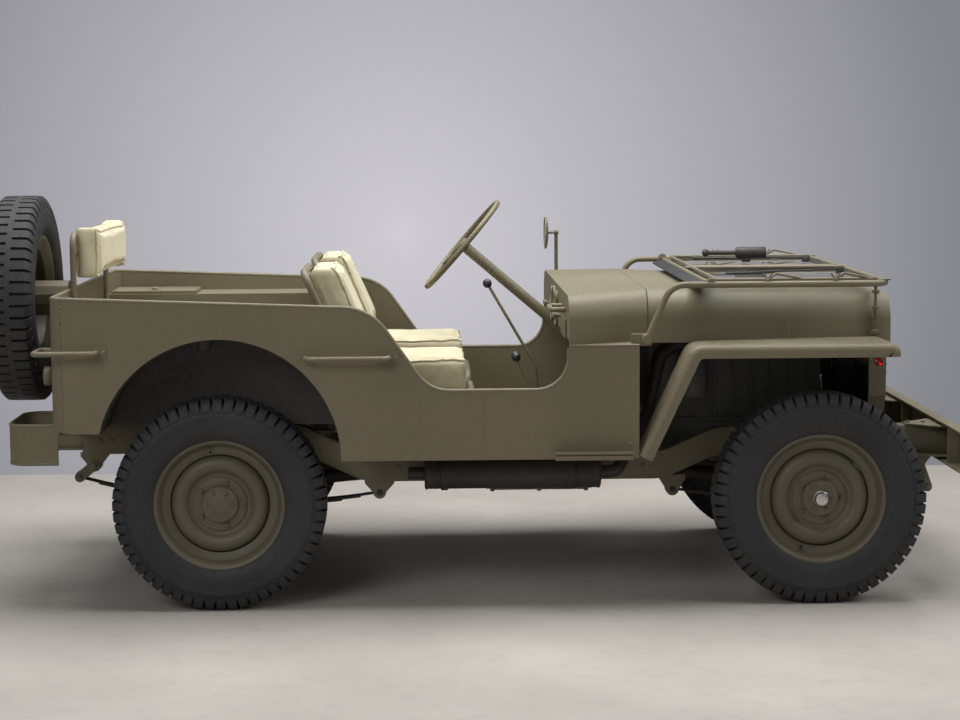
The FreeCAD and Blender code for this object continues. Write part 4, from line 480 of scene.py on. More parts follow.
def rounded(corners, radius=0.0, closed=True):
    # Turns each corner into short steps. A corner may end with its own radius, after its place.
    spots = [Vector(c[0]) if isinstance(c[0], tuple) else Vector(c[:2]).to_3d() for c in corners]
    own = [c[1] if isinstance(c[0], tuple) else (c[2] if len(c) > 2 else 0.0) for c in corners]
    path = []
    for i, here in enumerate(spots):
        bend = own[i] or radius
        if bend == 0 or (not closed and i in (0, len(spots) - 1)):
            path.append(here)
            continue
        back = (spots[i - 1] - here).normalized()
        ahead = (spots[(i + 1) % len(spots)] - here).normalized()
        half = back.angle(ahead) / 2
        centre = here + (back + ahead).normalized() * (bend / math.sin(half))
        first = here + back * (bend / math.tan(half)) - centre
        last = here + ahead * (bend / math.tan(half)) - centre
        turn = math.pi - half * 2
        steps = max(2, round(math.degrees(turn) / ROUND_STEP_DEG))
        axis = first.cross(last)
        path += [centre + Matrix.Rotation(turn * k / steps, 3, axis) @ first for k in range(steps + 1)]
    return path


def bend_path(points, radius):
    return rounded([(tuple(p), radius) for p in points], closed=False)


def flat(points):
    return [Vector((*point, 0)) for point in points]


def rect(left, low, right, top):
    return [(left, low), (right, low), (right, top), (left, top)]


def hoop_run(start, left, near, right, far, radius):
    # A rounded outline that starts and ends on its near side.
    turns = [(right, near, radius), (right, far, radius), (left, far, radius), (left, near, radius)]
    return rounded([(start, near)] + turns + [(start, near)], closed=False)


def around(count, radius, first=0.0):
    # Places spread evenly on a circle, the first one that share of a step along.
    turns = [2 * math.pi * (k + first) / count for k in range(count)]
    return [(radius * math.cos(turn), radius * math.sin(turn)) for turn in turns]


def across_and_up(along):
    along = along.normalized()
    guide = X_AXIS if abs(along.z) > 0.9 else Z_AXIS
    across = along.cross(guide).normalized()
    return across, across.cross(along)


class Form:
    # The corners and faces of one piece while it is drawn, in millimetres.
    def __init__(self):
        self.spots = []
        self.faces = []

    def add(self, spots, faces):
        base = len(self.spots)
        self.spots += [Vector(p) for p in spots]
        self.faces += [tuple(base + i for i in face) for face in faces]
        return self

    def loft(self, rings, capped=True, looped=False):
        # A skin through closed rings, with ends or joined round to its start.
        count = len(rings[0])
        faces = []
        pairs = len(rings) if looped else len(rings) - 1
        for r in range(pairs):
            near, far = r * count, (r + 1) % len(rings) * count
            for i in range(count):
                j = (i + 1) % count
                faces.append((near + i, near + j, far + j, far + i))
        if capped and not looped:
            last = (len(rings) - 1) * count
            faces += [tuple(reversed(range(count))), tuple(last + i for i in range(count))]
        return self.add([p for ring in rings for p in ring], faces)

    def tube(self, path, radius, sides=TUBE_SIDES):
        # A round bar along a path, mitred at each point.
        path = [Vector(p) for p in path]
        run = (path[1] - path[0]).normalized()
        across, up = across_and_up(run)
        turns = [2 * math.pi * k / sides for k in range(sides)]
        ring = [path[0] + across * (radius * math.cos(t)) + up * (radius * math.sin(t)) for t in turns]
        rings = [ring]
        for i in range(1, len(path)):
            ahead = run if i == len(path) - 1 else (path[i + 1] - path[i]).normalized()
            mitre = run + ahead
            ring = [p + run * ((path[i] - p).dot(mitre) / run.dot(mitre)) for p in ring]
            rings.append(ring)
            run = ahead
        return self.loft(rings)

    def bent(self, points, radius, bend, sides=TUBE_SIDES):
        return self.tube(bend_path(points, bend), radius, sides)

    def rod(self, start, end, radius, sides=TUBE_SIDES):
        # A bar whose ends are eased.
        start, end = Vector(start), Vector(end)
        length = (end - start).length
        ease = min(radius * 0.15, length / 4)
        profile = [(0, 0), (radius - ease, 0), (radius, ease), (radius, length - ease),
                   (radius - ease, length), (0, length)]
        return self.turned(profile, start, end - start, sides)

    def turned(self, profile, centre, along, sectors=TURN_SECTORS, looped=False):
        # A turned piece: each (radius, distance along the line). A looped one has no ends on the line.
        centre, along = Vector(centre), Vector(along).normalized()
        across, up = across_and_up(along)
        spots, starts = [], []
        for radius, offset in profile:
            starts.append(len(spots))
            if radius == 0:
                spots.append(centre + along * offset)
                continue
            for k in range(sectors):
                t = 2 * math.pi * k / sectors
                out = across * (radius * math.cos(t)) + up * (radius * math.sin(t))
                spots.append(centre + along * offset + out)
        faces = []
        pairs = len(profile) if looped else len(profile) - 1
        for r in range(pairs):
            a, b = starts[r], starts[(r + 1) % len(profile)]
            tip_a, tip_b = profile[r][0] == 0, profile[(r + 1) % len(profile)][0] == 0
            if tip_a and tip_b:
                continue
            for k in range(sectors):
                j = (k + 1) % sectors
                face = (a,) if tip_a else (a + j, a + k)
                face += (b,) if tip_b else (b + k, b + j)
                faces.append(face)
        return self.add(spots, faces)

    def boss(self, profile, centre, along, sectors=TURN_SECTORS):
        # A solid turned piece: its flat ends close on the line by themselves.
        ends = [(0, profile[0][1])], [(0, profile[-1][1])]
        return self.turned(ends[0] + profile + ends[1], centre, along, sectors)

    def block(self, corner, other):
        # A box between two opposite corners.
        xs, ys, zs = (sorted(pair) for pair in zip(corner, other))
        spots = [(x, y, z) for x in xs for y in ys for z in zs]
        return self.add(spots, [(0, 1, 3, 2), (4, 6, 7, 5), (0, 4, 5, 1), (2, 3, 7, 6), (0, 2, 6, 4),
                                (1, 5, 7, 3)])

    def side_plate(self, outline, y_low, y_high):
        # An outline in (x, z), from one y to the other.
        return self.loft([[(p.x, y, p.y) for p in outline] for y in (y_low, y_high)])

    def plan_plate(self, outline, z_low, z_high):
        return self.loft([[(p.x, p.y, z) for p in outline] for z in (z_low, z_high)])

    def front_plate(self, outline, x_low, x_high):
        return self.loft([[(x, p.x, p.y) for p in outline] for x in (x_low, x_high)])

    def bolt(self, at, along, size=9.0):
        # A washer and a six-sided head.
        self.turned([(0, 0), (size * 1.15, 0), (size * 1.15, size * 0.2), (0, size * 0.2)], at, along, 18)
        head = [(0, 0), (size, 0), (size, size * 0.7), (size * 0.8, size * 0.85), (0, size * 0.85)]
        return self.turned(head, at, along, 6)

    def rivet(self, at, along, size=7.0):
        return self.turned([(0, 0), (size, 0), (size * 0.85, size * 0.35), (size * 0.45, size * 0.55),
                            (0, size * 0.62)], at, along, 12)

    def ball(self, centre, radius, along=Z_AXIS):
        profile = []
        for k in range(9):
            t = math.pi * k / 8
            profile.append((radius * math.sin(t) if 0 < k < 8 else 0, -radius * math.cos(t)))
        return self.turned(profile, centre, along, 24)

    def join(self, other):
        return self.add(other.spots, other.faces)

    def moved(self, matrix):
        self.spots = [matrix @ p for p in self.spots]
        return self

    def mirrored(self):
        # Adds the same on the other side of the car.
        base = len(self.spots)
        self.spots += [Vector((p.x, -p.y, p.z)) for p in self.spots]
        self.faces += [tuple(base + i for i in reversed(face)) for face in self.faces]
        return self

    def on_side(self, side):
        if side == RIGHT:
            self.spots = [Vector((p.x, -p.y, p.z)) for p in self.spots]
            self.faces = [tuple(reversed(face)) for face in self.faces]
        return self


def placed(p):
    return Vector(((p.x - MID_X) * MM, p.y * MM, p.z * MM))


def piece(name, form, finish, body="chassis", replaces=(), bevel=0.0, levels=0):
    mesh = bpy.data.meshes.new(name)
    mesh.from_pydata([placed(p) for p in form.spots], [], form.faces)
    made = bpy.data.objects.new(name, mesh)
    bpy.context.scene.collection.objects.link(made)
    smooth_by_angle(mesh)
    mesh.materials.append(finish)
    if bevel:
        edge = made.modifiers.new("edge", "BEVEL")
        edge.width = bevel * MM
        edge.segments = 2
        edge.limit_method = "ANGLE"
        edge.angle_limit = math.radians(SHARP_DEG)
        edge.harden_normals = True
    if levels:
        made.modifiers.new("rounding", "SUBSURF").render_levels = levels
    if replaces:
        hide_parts(*replaces)
    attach(made, body)
    return made


def smooth_by_angle(mesh):
    work = bmesh.new()
    work.from_mesh(mesh)
    bmesh.ops.recalc_face_normals(work, faces=work.faces)
    for face in work.faces:
        face.smooth = True
    for edge in work.edges:
        if len(edge.link_faces) == 2 and edge.calc_face_angle(0) > math.radians(SHARP_DEG):
            edge.smooth = False
    work.to_mesh(mesh)
    work.free()


# Materials


def node(tree, kind, **settings):
    made = tree.nodes.new(kind)
    for key, value in settings.items():
        setattr(made, key, value)
    return made


def noise(tree, coords, scale, detail=4.0):
    made = node(tree, "ShaderNodeTexNoise")
    made.inputs["Scale"].default_value = scale
    made.inputs["Detail"].default_value = detail
    tree.links.new(coords, made.inputs["Vector"])
    return made.outputs["Fac"]


def mapped(tree, value, low_in, high_in, low_out, high_out):
    made = node(tree, "ShaderNodeMapRange")
    made.inputs["From Min"].default_value = low_in
    made.inputs["From Max"].default_value = high_in
    made.inputs["To Min"].default_value = low_out
    made.inputs["To Max"].default_value = high_out
    tree.links.new(value, made.inputs["Value"])
    return made.outputs["Result"]


def blended(tree, share, first, second):
    # A colour between two, each a colour or another node's output.
    made = node(tree, "ShaderNodeMix", data_type="RGBA")
    tree.links.new(share, made.inputs["Factor"])
    for value, slot in ((first, 6), (second, 7)):
        if isinstance(value, tuple):
            made.inputs[slot].default_value = (*value, 1)
        else:
            tree.links.new(value, made.inputs[slot])
    return made.outputs[2]


def times(tree, first, second):
    made = node(tree, "ShaderNodeMath", operation="MULTIPLY")
    for value, slot in ((first, 0), (second, 1)):
        if isinstance(value, float):
            made.inputs[slot].default_value = value
        else:
            tree.links.new(value, made.inputs[slot])
    return made.outputs[0]


def start_material(name, **sockets):
    made = bpy.data.materials.new(name)
    made.use_nodes = True
    tree = made.node_tree
    shader = tree.nodes["Principled BSDF"]
    for socket, value in sockets.items():
        shader.inputs[socket.replace("_", " ")].default_value = value
    coords = node(tree, "ShaderNodeTexCoord").outputs["Object"]
    return made, tree, shader, coords


def bumped(tree, shader, height, strength, distance):
    made = node(tree, "ShaderNodeBump")
    made.inputs["Strength"].default_value = strength
    made.inputs["Distance"].default_value = distance * MM
    tree.links.new(height, made.inputs["Height"])
    tree.links.new(made.outputs["Normal"], shader.inputs["Normal"])


def edge_wear(tree, width):
    # Near 1 on a sharp edge and 0 on a flat: how far a softened normal leans from the true one.
    soft = node(tree, "ShaderNodeBevel", samples=4)
    soft.inputs["Radius"].default_value = width * MM
    true = node(tree, "ShaderNodeNewGeometry")
    dot = node(tree, "ShaderNodeVectorMath", operation="DOT_PRODUCT")
    tree.links.new(soft.outputs["Normal"], dot.inputs[0])
    tree.links.new(true.outputs["Normal"], dot.inputs[1])
    return mapped(tree, dot.outputs["Value"], 0.94, 0.72, 0.0, 1.0)


def paint(name, colour, light, worn, rough=(0.42, 0.6), grain=2.5, dust=0.0, **sockets):
    # Brushed military paint: broad fading, fine mottling, rubbed edges and an orange-peel surface.
    made, tree, shader, coords = start_material(name, **sockets)
    broad = noise(tree, coords, grain, 5.0)
    fine = noise(tree, coords, grain * 28, 3.0)
    base = blended(tree, mapped(tree, broad, 0.35, 0.68, 0.0, 1.0), colour, light)
    shade = tuple(c * 0.86 for c in colour)
    base = blended(tree, mapped(tree, fine, 0.5, 0.72, 0.0, 0.3), base, shade)
    edges = edge_wear(tree, PAINT_WEAR)
    rub = times(tree, edges, mapped(tree, noise(tree, coords, 30.0), 0.42, 0.62, 0.05, 0.75))
    base = blended(tree, rub, base, worn)
    if dust:
        up = node(tree, "ShaderNodeSeparateXYZ")
        tree.links.new(node(tree, "ShaderNodeNewGeometry").outputs["Normal"], up.inputs["Vector"])
        share = times(tree, mapped(tree, up.outputs["Z"], 0.3, 1.0, 0.0, dust),
                      mapped(tree, broad, 0.3, 0.7, 0.4, 1.0))
        base = blended(tree, share, base, DUST_COLOUR)
    tree.links.new(base, shader.inputs["Base Color"])
    tree.links.new(mapped(tree, fine, 0.3, 0.7, *rough), shader.inputs["Roughness"])
    bumped(tree, shader, noise(tree, coords, 150.0, 2.0), 0.06, PAINT_PEEL)
    return made


def rubber(name, colour, light):
    # Dusty tyre rubber: grey bloom, a dull sheen and a fine pebble.
    made, tree, shader, coords = start_material(name)
    broad = noise(tree, coords, 5.0, 6.0)
    fine = noise(tree, coords, 140.0, 4.0)
    base = blended(tree, mapped(tree, broad, 0.35, 0.7, 0.0, 1.0), colour, light)
    base = blended(tree, mapped(tree, fine, 0.45, 0.75, 0.0, 0.5), base, tuple(c * 0.6 for c in colour))
    base = blended(tree, times(tree, edge_wear(tree, RUBBER_WEAR), 0.55), base, tuple(c * 1.5 for c in light))
    tree.links.new(base, shader.inputs["Base Color"])
    tree.links.new(mapped(tree, fine, 0.3, 0.7, 0.55, 0.8), shader.inputs["Roughness"])
    bumped(tree, shader, noise(tree, coords, 300.0, 3.0), 0.25, RUBBER_PEBBLE)
    return made


def canvas(name, colour, light, stain):
    # Woven cotton duck: crossing threads, soft creases, handling marks.
    made, tree, shader, coords = start_material(name, Sheen_Weight=0.25, Sheen_Roughness=0.5)
    broad = noise(tree, coords, 7.0, 5.0)
    base = blended(tree, mapped(tree, broad, 0.35, 0.65, 0.0, 1.0), colour, light)
    marks = noise(tree, coords, 16.0, 6.0)
    base = blended(tree, mapped(tree, marks, 0.56, 0.78, 0.0, 0.55), base, stain)
    threads = []
    for direction in ("X", "Y", "Z"):
        wave = node(tree, "ShaderNodeTexWave", wave_type="BANDS", bands_direction=direction)
        wave.inputs["Scale"].default_value = 260.0
        wave.inputs["Distortion"].default_value = 0.6
        wave.inputs["Detail"].default_value = 1.0
        tree.links.new(coords, wave.inputs["Vector"])
        threads.append(wave.outputs["Fac"])
    weave = times(tree, times(tree, threads[0], threads[1]), threads[2])
    base = blended(tree, times(tree, weave, 0.35), base, tuple(c * 0.72 for c in colour))
    tree.links.new(base, shader.inputs["Base Color"])
    tree.links.new(mapped(tree, broad, 0.3, 0.7, 0.78, 0.92), shader.inputs["Roughness"])
    height = node(tree, "ShaderNodeMath", operation="ADD")
    tree.links.new(times(tree, weave, 0.25), height.inputs[0])
    tree.links.new(times(tree, noise(tree, coords, 24.0, 5.0), 1.0), height.inputs[1])
    bumped(tree, shader, height.outputs[0], 0.45, CANVAS_CREASE)
    return made


def glazing(name, tint, rough):
    made, tree, shader, coords = start_material(name, Transmission_Weight=1.0, IOR=1.45)
    smear = noise(tree, coords, 9.0, 5.0)
    tree.links.new(blended(tree, smear, tint, tuple(c * 0.93 for c in tint)), shader.inputs["Base Color"])
    tree.links.new(mapped(tree, smear, 0.35, 0.7, 0.0, rough), shader.inputs["Roughness"])
    return made


def metal(name, colour, light, rough):
    made, tree, shader, coords = start_material(name, Metallic=1.0)
    broad = noise(tree, coords, 12.0, 5.0)
    fine = noise(tree, coords, 200.0, 3.0)
    tree.links.new(blended(tree, mapped(tree, broad, 0.35, 0.7, 0.0, 1.0), colour, light),
                   shader.inputs["Base Color"])
    tree.links.new(mapped(tree, fine, 0.3, 0.7, *rough), shader.inputs["Roughness"])
    bumped(tree, shader, fine, 0.06, METAL_GRAIN)
    return made


DUST_COLOUR = (0.42, 0.38, 0.29)
DRAB = paint("drab_paint", (0.158, 0.137, 0.082), (0.176, 0.153, 0.093), (0.30, 0.26, 0.17), dust=0.10)
WHEEL_PAINT = paint("wheel_paint", (0.098, 0.085, 0.053), (0.115, 0.100, 0.063), (0.24, 0.21, 0.14),
                    grain=5.0)
DARK = paint("dark_metal", (0.030, 0.028, 0.024), (0.045, 0.042, 0.035), (0.10, 0.09, 0.08),
             rough=(0.45, 0.7))
BLACK = paint("black_enamel", (0.014, 0.014, 0.014), (0.022, 0.022, 0.022), (0.06, 0.06, 0.06),
              rough=(0.25, 0.4))
IRON = paint("bare_iron", (0.10, 0.105, 0.10), (0.14, 0.14, 0.13), (0.2, 0.2, 0.19), rough=(0.5, 0.75))
RUBBER = rubber("tyre_rubber", (0.017, 0.017, 0.018), (0.029, 0.0285, 0.030))
CANVAS = canvas("canvas", (0.60, 0.535, 0.35), (0.68, 0.615, 0.42), (0.45, 0.38, 0.22))
PIPING = canvas("piping", (0.55, 0.485, 0.31), (0.62, 0.55, 0.36), (0.4, 0.33, 0.19))
GLASS = glazing("glass", (0.93, 0.96, 0.96), 0.06)
LAMP_GLASS = glazing("lamp_glass", (0.95, 0.96, 0.95), 0.12)
RED_GLASS = glazing("red_glass", (0.62, 0.03, 0.02), 0.15)
STEEL = metal("bright_steel", (0.55, 0.53, 0.50), (0.70, 0.68, 0.64), (0.2, 0.4))
MIRROR = metal("mirror_face", (0.86, 0.88, 0.88), (0.9, 0.91, 0.91), (0.03, 0.07))
LENS_BACK = metal("reflector", (0.8, 0.8, 0.78), (0.88, 0.88, 0.86), (0.1, 0.2))

SLOT_FINISHES = {
    "drab_paint": DRAB, "dark_metal": DARK, "wheel_paint": WHEEL_PAINT, "tyre_rubber": RUBBER,
    "canvas": CANVAS, "black_plastic": BLACK, "glass": GLASS, "bare_iron": IRON, "lamp": DRAB,
}


def dress_solids():
    # Each solid that stays in view takes the finish of its slot.
    slots = {part["node"]: part["material_slot"] for part in frame["record"]["subparts"]}
    for name, solid in frame["nodes"].items():
        solid.data.materials.clear()
        solid.data.materials.append(SLOT_FINISHES[slots[name]])


# Wheels and tyres


def tyre_profile():
    # Half of the carcass from bead to crown, then its mirror: (radius, offset).
    half = TYRE_WIDTH / 2
    ground = TYRE_RADIUS - TREAD_DEPTH
    side = [
        (BEAD_RADIUS + 3, half * 0.60), (BEAD_RADIUS + 12, half * 0.76), (BEAD_RADIUS + 28, half * 0.90),
        (BEAD_RADIUS + 45, half * 0.97), (BEAD_RADIUS + 70, half), (BEAD_RADIUS + 92, half * 0.985),
        (BEAD_RADIUS + 96, half * 0.995), (BEAD_RADIUS + 102, half * 0.99), (BEAD_RADIUS + 106, half * 0.965),
        (BEAD_RADIUS + 118, half * 0.93), (ground - 14, half * 0.86), (ground - 4, half * 0.70),
    ]
    return side + [(ground, 0)] + [(radius, -offset) for radius, offset in reversed(side)]


def lug_outline():
    # A lug from the centre rib over the shoulder: outer points, then the root below them.
    half = TYRE_WIDTH / 2
    outer = [(TYRE_RADIUS, RIB_HALF), (TYRE_RADIUS, half * 0.45), (TYRE_RADIUS - 1, half * 0.74),
             (TYRE_RADIUS - 9, half * 0.85), (TYRE_RADIUS - 24, half * 0.94),
             (TYRE_RADIUS - 40, half * 0.972)]
    root = [(TYRE_RADIUS - 44, half * 0.90), (TYRE_RADIUS - 26, half * 0.82),
            (TYRE_RADIUS - TREAD_DEPTH - 6, RIB_HALF)]
    return outer, root


def tyre_form(centre, along):
    form = Form()
    form.turned(tyre_profile(), (0, 0, 0), Y_AXIS, TYRE_SECTORS)
    outer, root = lug_outline()
    pitch = 2 * math.pi / LUG_COUNT
    for side in (LEFT, RIGHT):
        for i in range(LUG_COUNT):
            middle = pitch * (i + (0.5 if side == RIGHT else 0.0))
            rings = []
            for edge in (-1, 1):
                ring = []
                for depth, spots in ((1.0, outer), (ROOT_SPREAD_SHARE, root)):
                    turn = middle + edge * pitch / 2 * LUG_SHARE * depth
                    for radius, offset in spots:
                        ring.append((radius * math.cos(turn), side * offset, radius * math.sin(turn)))
                rings.append(ring)
            form.loft(rings)
    rib_root = TYRE_RADIUS - TREAD_DEPTH - RIB_SINK
    rib = [(rib_root, -RIB_HALF - RIB_SPREAD), (TYRE_RADIUS, -RIB_HALF), (TYRE_RADIUS, RIB_HALF),
           (rib_root, RIB_HALF + RIB_SPREAD)]
    form.turned(rib, (0, 0, 0), Y_AXIS, TYRE_SECTORS, looped=True)
    return form.moved(facing(centre, along))


def facing(centre, along):
    # Carries what is drawn about the Y line to a centre, facing along a line.
    turn = Y_AXIS.rotation_difference(Vector(along)).to_matrix().to_4x4()
    return Matrix.Translation(Vector(centre)) @ turn


def wheel_form(centre, along):
    # The rolled rim, the dark step behind it, the dished disc and its bolt ring.
    form = Form()
    form.turned(RIM_BACK + RIM_FRONT, (0, 0, 0), Y_AXIS, looped=True)
    form.turned(WHEEL_DISC, (0, 0, 0), Y_AXIS, looped=True)
    return form.moved(facing(centre, along))


def hub_form(centre, along, front):
    form = Form()
    flange = HUB_FLANGE[:-2] + HUB_NOSE if front else HUB_FLANGE
    form.turned(flange, (0, 0, 0), Y_AXIS, 48)
    for x, z in around(HUB_BOLT_COUNT, HUB_BOLT_RADIUS, 0.5):
        form.bolt((x, HUB_FACE, z), Y_AXIS, 7.0)
    for x, z in around(NUT_COUNT, NUT_RING_RADIUS, 0.25):
        form.bolt((x, DISC_FACE, z), Y_AXIS, 9.5)
        form.rod((x, DISC_FACE, z), (x, DISC_FACE + STUD_LENGTH, z), STUD_RADIUS, 10)
    form.turned(BRAKE_DRUM, (0, 0, 0), Y_AXIS, 48)
    return form.moved(facing(centre, along))


def cap_form(centre, along):
    form = Form().turned(GREASE_CAP, (0, 0, 0), Y_AXIS, 40)
    form.turned(GREASE_CAP_NUT, (0, 0, 0), Y_AXIS, 6)
    return form.moved(facing(centre, along))


def valve_form(centre, along, turn):
    form = Form()
    out = Vector((math.cos(turn), 0, math.sin(turn)))
    spot = out * VALVE_RING_RADIUS + Y_AXIS * VALVE_FOOT
    form.rod(spot, spot + out * VALVE_LEAN + Y_AXIS * VALVE_LENGTH, VALVE_RADIUS, 12)
    return form.moved(facing(centre, along))


def road_wheels():
    for end, x, valve_deg in (("front", WHEELBASE, FRONT_VALVE_DEG), ("rear", 0.0, REAR_VALVE_DEG)):
        for side, sign in SIDES.items():
            key = "{}_{}".format(end, side)
            body = "road_wheel_" + key
            centre = (x, sign * WHEEL_Y, TYRE_RADIUS)
            along = Y_AXIS * sign
            piece("tread_" + key, tyre_form(centre, along), RUBBER, body, ["tyre_" + key])
            piece("rim_" + key, wheel_form(centre, along), WHEEL_PAINT, body, ["wheel_" + key])
            piece("hub_" + key, hub_form(centre, along, end == "front"), WHEEL_PAINT, body)
            if end == "front":
                piece("hub_cap_" + key, cap_form(centre, along), STEEL, body)
            piece("valve_" + key, valve_form(centre, along, math.radians(valve_deg)), BLACK, body)


def spare():
    centre = (SPARE_X, SPARE_Y, SPARE_Z)
    piece("spare_tread", tyre_form(centre, -X_AXIS), RUBBER, replaces=["spare_tyre"])
    piece("spare_rim", wheel_form(centre, -X_AXIS), WHEEL_PAINT, replaces=["spare_wheel"])


# Running gear


def plate_ring(start, end, near, far, count=24):
    # A flat arm's outline, round at both ends about two places, each with its own radius.
    start, end = Vector(start).to_3d(), Vector(end).to_3d()
    along = (end - start).normalized()
    beside = Vector((-along.y, along.x, 0))
    outline = []
    for middle, radius, first in ((start, near, 0.5), (end, far, -0.5)):
        for k in range(count + 1):
            turn = math.pi * (k / count + first)
            outline.append(middle + (along * math.cos(turn) + beside * math.sin(turn)) * radius)
    return outline


def axle_form(x, direction, tube_end):
    # Tube, round case with its bolted cover, and the nose that takes the shaft.
    form = Form()
    form.rod((x, -tube_end, AXLE_Z), (x, tube_end, AXLE_Z), AXLE_TUBE_RADIUS, 32)
    form.turned(DIFF_CASE, (x, DIFF_Y, AXLE_Z), X_AXIS * direction, 48)
    for y, z in around(COVER_BOLT_COUNT, COVER_BOLT_RADIUS):
        form.bolt((x - direction * COVER_FACE, DIFF_Y + y, AXLE_Z + z), -X_AXIS * direction, 5.0)
    for sign in (LEFT, RIGHT):
        form.turned(AXLE_SLEEVE, (x, DIFF_Y + sign * SLEEVE_OUT, AXLE_Z), Y_AXIS * sign, 32, looped=True)
    return form


def backplate(form, x, sign):
    form.turned(BACKPLATE_DISH, (x, sign * BACKPLATE_Y, AXLE_Z), Y_AXIS * sign, 56, looped=True)
    for across, up in around(6, DISH_BOLT_RADIUS):
        form.bolt((x + across, sign * (BACKPLATE_Y - 9), AXLE_Z + up), -Y_AXIS * sign, 6.0)


def rear_axle():
    form = axle_form(0.0, 1, WHEEL_Y - 42)
    for sign in (LEFT, RIGHT):
        backplate(form, 0.0, sign)
    piece("rear_axle_case", form, DARK, replaces=["rear_axle"])


def front_axle():
    form = axle_form(WHEELBASE, -1, KINGPIN_Y - CUP_REACH)
    for sign in (LEFT, RIGHT):
        form.turned(AXLE_CUP, (WHEELBASE, sign * KINGPIN_Y, AXLE_Z), Y_AXIS * sign, 40)
    form.rod((WHEELBASE, BELL_CRANK_Y, AXLE_Z), (WHEELBASE, BELL_CRANK_Y, STEER_ARM_Z - 1),
             STEER_ARM_WIDTH / 2, 28)
    piece("front_axle_case", form, DARK, replaces=["front_axle"])


def knuckles():
    for side, sign in SIDES.items():
        centre = (WHEELBASE, KINGPIN_Y, AXLE_Z)
        form = Form()
        form.turned(KNUCKLE_HOUSING, centre, Z_AXIS, 40)
        form.boss(SPINDLE_FLANGE, centre, Y_AXIS, 40)
        backplate(form, WHEELBASE, LEFT)
        for end in (-1, 1):
            for x, y in around(4, KNUCKLE_BOLT_RADIUS, 0.5):
                form.bolt((WHEELBASE + x, KINGPIN_Y + y, AXLE_Z + end * KNUCKLE_CAP), Z_AXIS * end, 4.5)
        arm = plate_ring((WHEELBASE, KINGPIN_Y), (WHEELBASE + STEER_ARM, KINGPIN_Y), 26, ARM_END)
        form.plan_plate(arm, STEER_ARM_Z, STEER_ARM_Z + STEER_ARM_GAUGE)
        body = "knuckle_" + side
        piece("knuckle_case_" + side, form.on_side(sign), DARK, body, [body], bevel=1.5)


def link_form(start, end):
    # A tube between two upright ball ends, each with its sleeve and clamp.
    start, end = Vector(start), Vector(end)
    along = (end - start).normalized()
    form = Form().rod(start, end, LINK_BAR, 24)
    for spot, toward in ((start, along), (end, -along)):
        form.turned(LINK_EYE_RING, spot, Z_AXIS, 28)
        form.turned(LINK_SLEEVE, spot, toward, 24, looped=True)
        form.turned(LINK_CLAMP, spot, toward, 24, looped=True)
    return form


def steering_links():
    x = WHEELBASE + STEER_ARM
    for side, sign in SIDES.items():
        z = STEER_ARM_Z - RUN_GAP - LINK_EYE
        if side == "right":
            z -= LINK_EYE * 2 + RUN_GAP
        body = "tie_rod_" + side
        form = link_form((x, BELL_CRANK_Y, z), (x, sign * KINGPIN_Y, z))
        piece(body + "_tube", form, DARK, body, [body])
    form = Form()
    top_z = STEER_ARM_Z + STEER_ARM_GAUGE
    for end in ((x, BELL_CRANK_Y), (WHEELBASE, DRAG_LINK_Y)):
        form.plan_plate(plate_ring((WHEELBASE, BELL_CRANK_Y), end, 24, ARM_END), STEER_ARM_Z, top_z)
    form.boss(CRANK_HUB, (WHEELBASE, BELL_CRANK_Y, top_z), Z_AXIS, 28)
    piece("bell_crank_plate", form, DARK, "bell_crank", ["bell_crank"], bevel=1.5)
    gear_x, gear_y, gear_z = STEER_BOX
    low_y = DRAG_LINK_Y + STEER_ARM_WIDTH / 2 + RUN_GAP
    outline = plate_ring((gear_x, gear_z), (gear_x, DRAG_LINK_Z), 24, 17)
    form = Form().side_plate(outline, low_y, low_y + DROP_ARM_GAUGE)
    form.rod((gear_x, low_y, gear_z), (gear_x, gear_y - STEER_BOX_HALF - 1, gear_z), 18.0, 28)
    form.bolt((gear_x, low_y, gear_z), -Y_AXIS, 12.0)
    piece("drop_arm_plate", form, DARK, "drop_arm", ["drop_arm"], bevel=1.5)
    form = link_form((gear_x, DRAG_LINK_Y, DRAG_LINK_Z), (WHEELBASE, DRAG_LINK_Y, DRAG_LINK_Z))
    piece("drag_link_tube", form, DARK, "drag_link", ["drag_link"])


def arc_through(first, middle, last):
    # The circle through three points in (x, z): centre x, centre z, radius.
    (ax, az), (bx, bz), (cx, cz) = first, middle, last
    d = 2 * (ax * (bz - cz) + bx * (cz - az) + cx * (az - bz))
    a, b, c = ax * ax + az * az, bx * bx + bz * bz, cx * cx + cz * cz
    x = (a * (bz - cz) + b * (cz - az) + c * (az - bz)) / d
    z = (a * (cx - bx) + b * (ax - cx) + c * (bx - ax)) / d
    return x, z, math.hypot(ax - x, az - z)


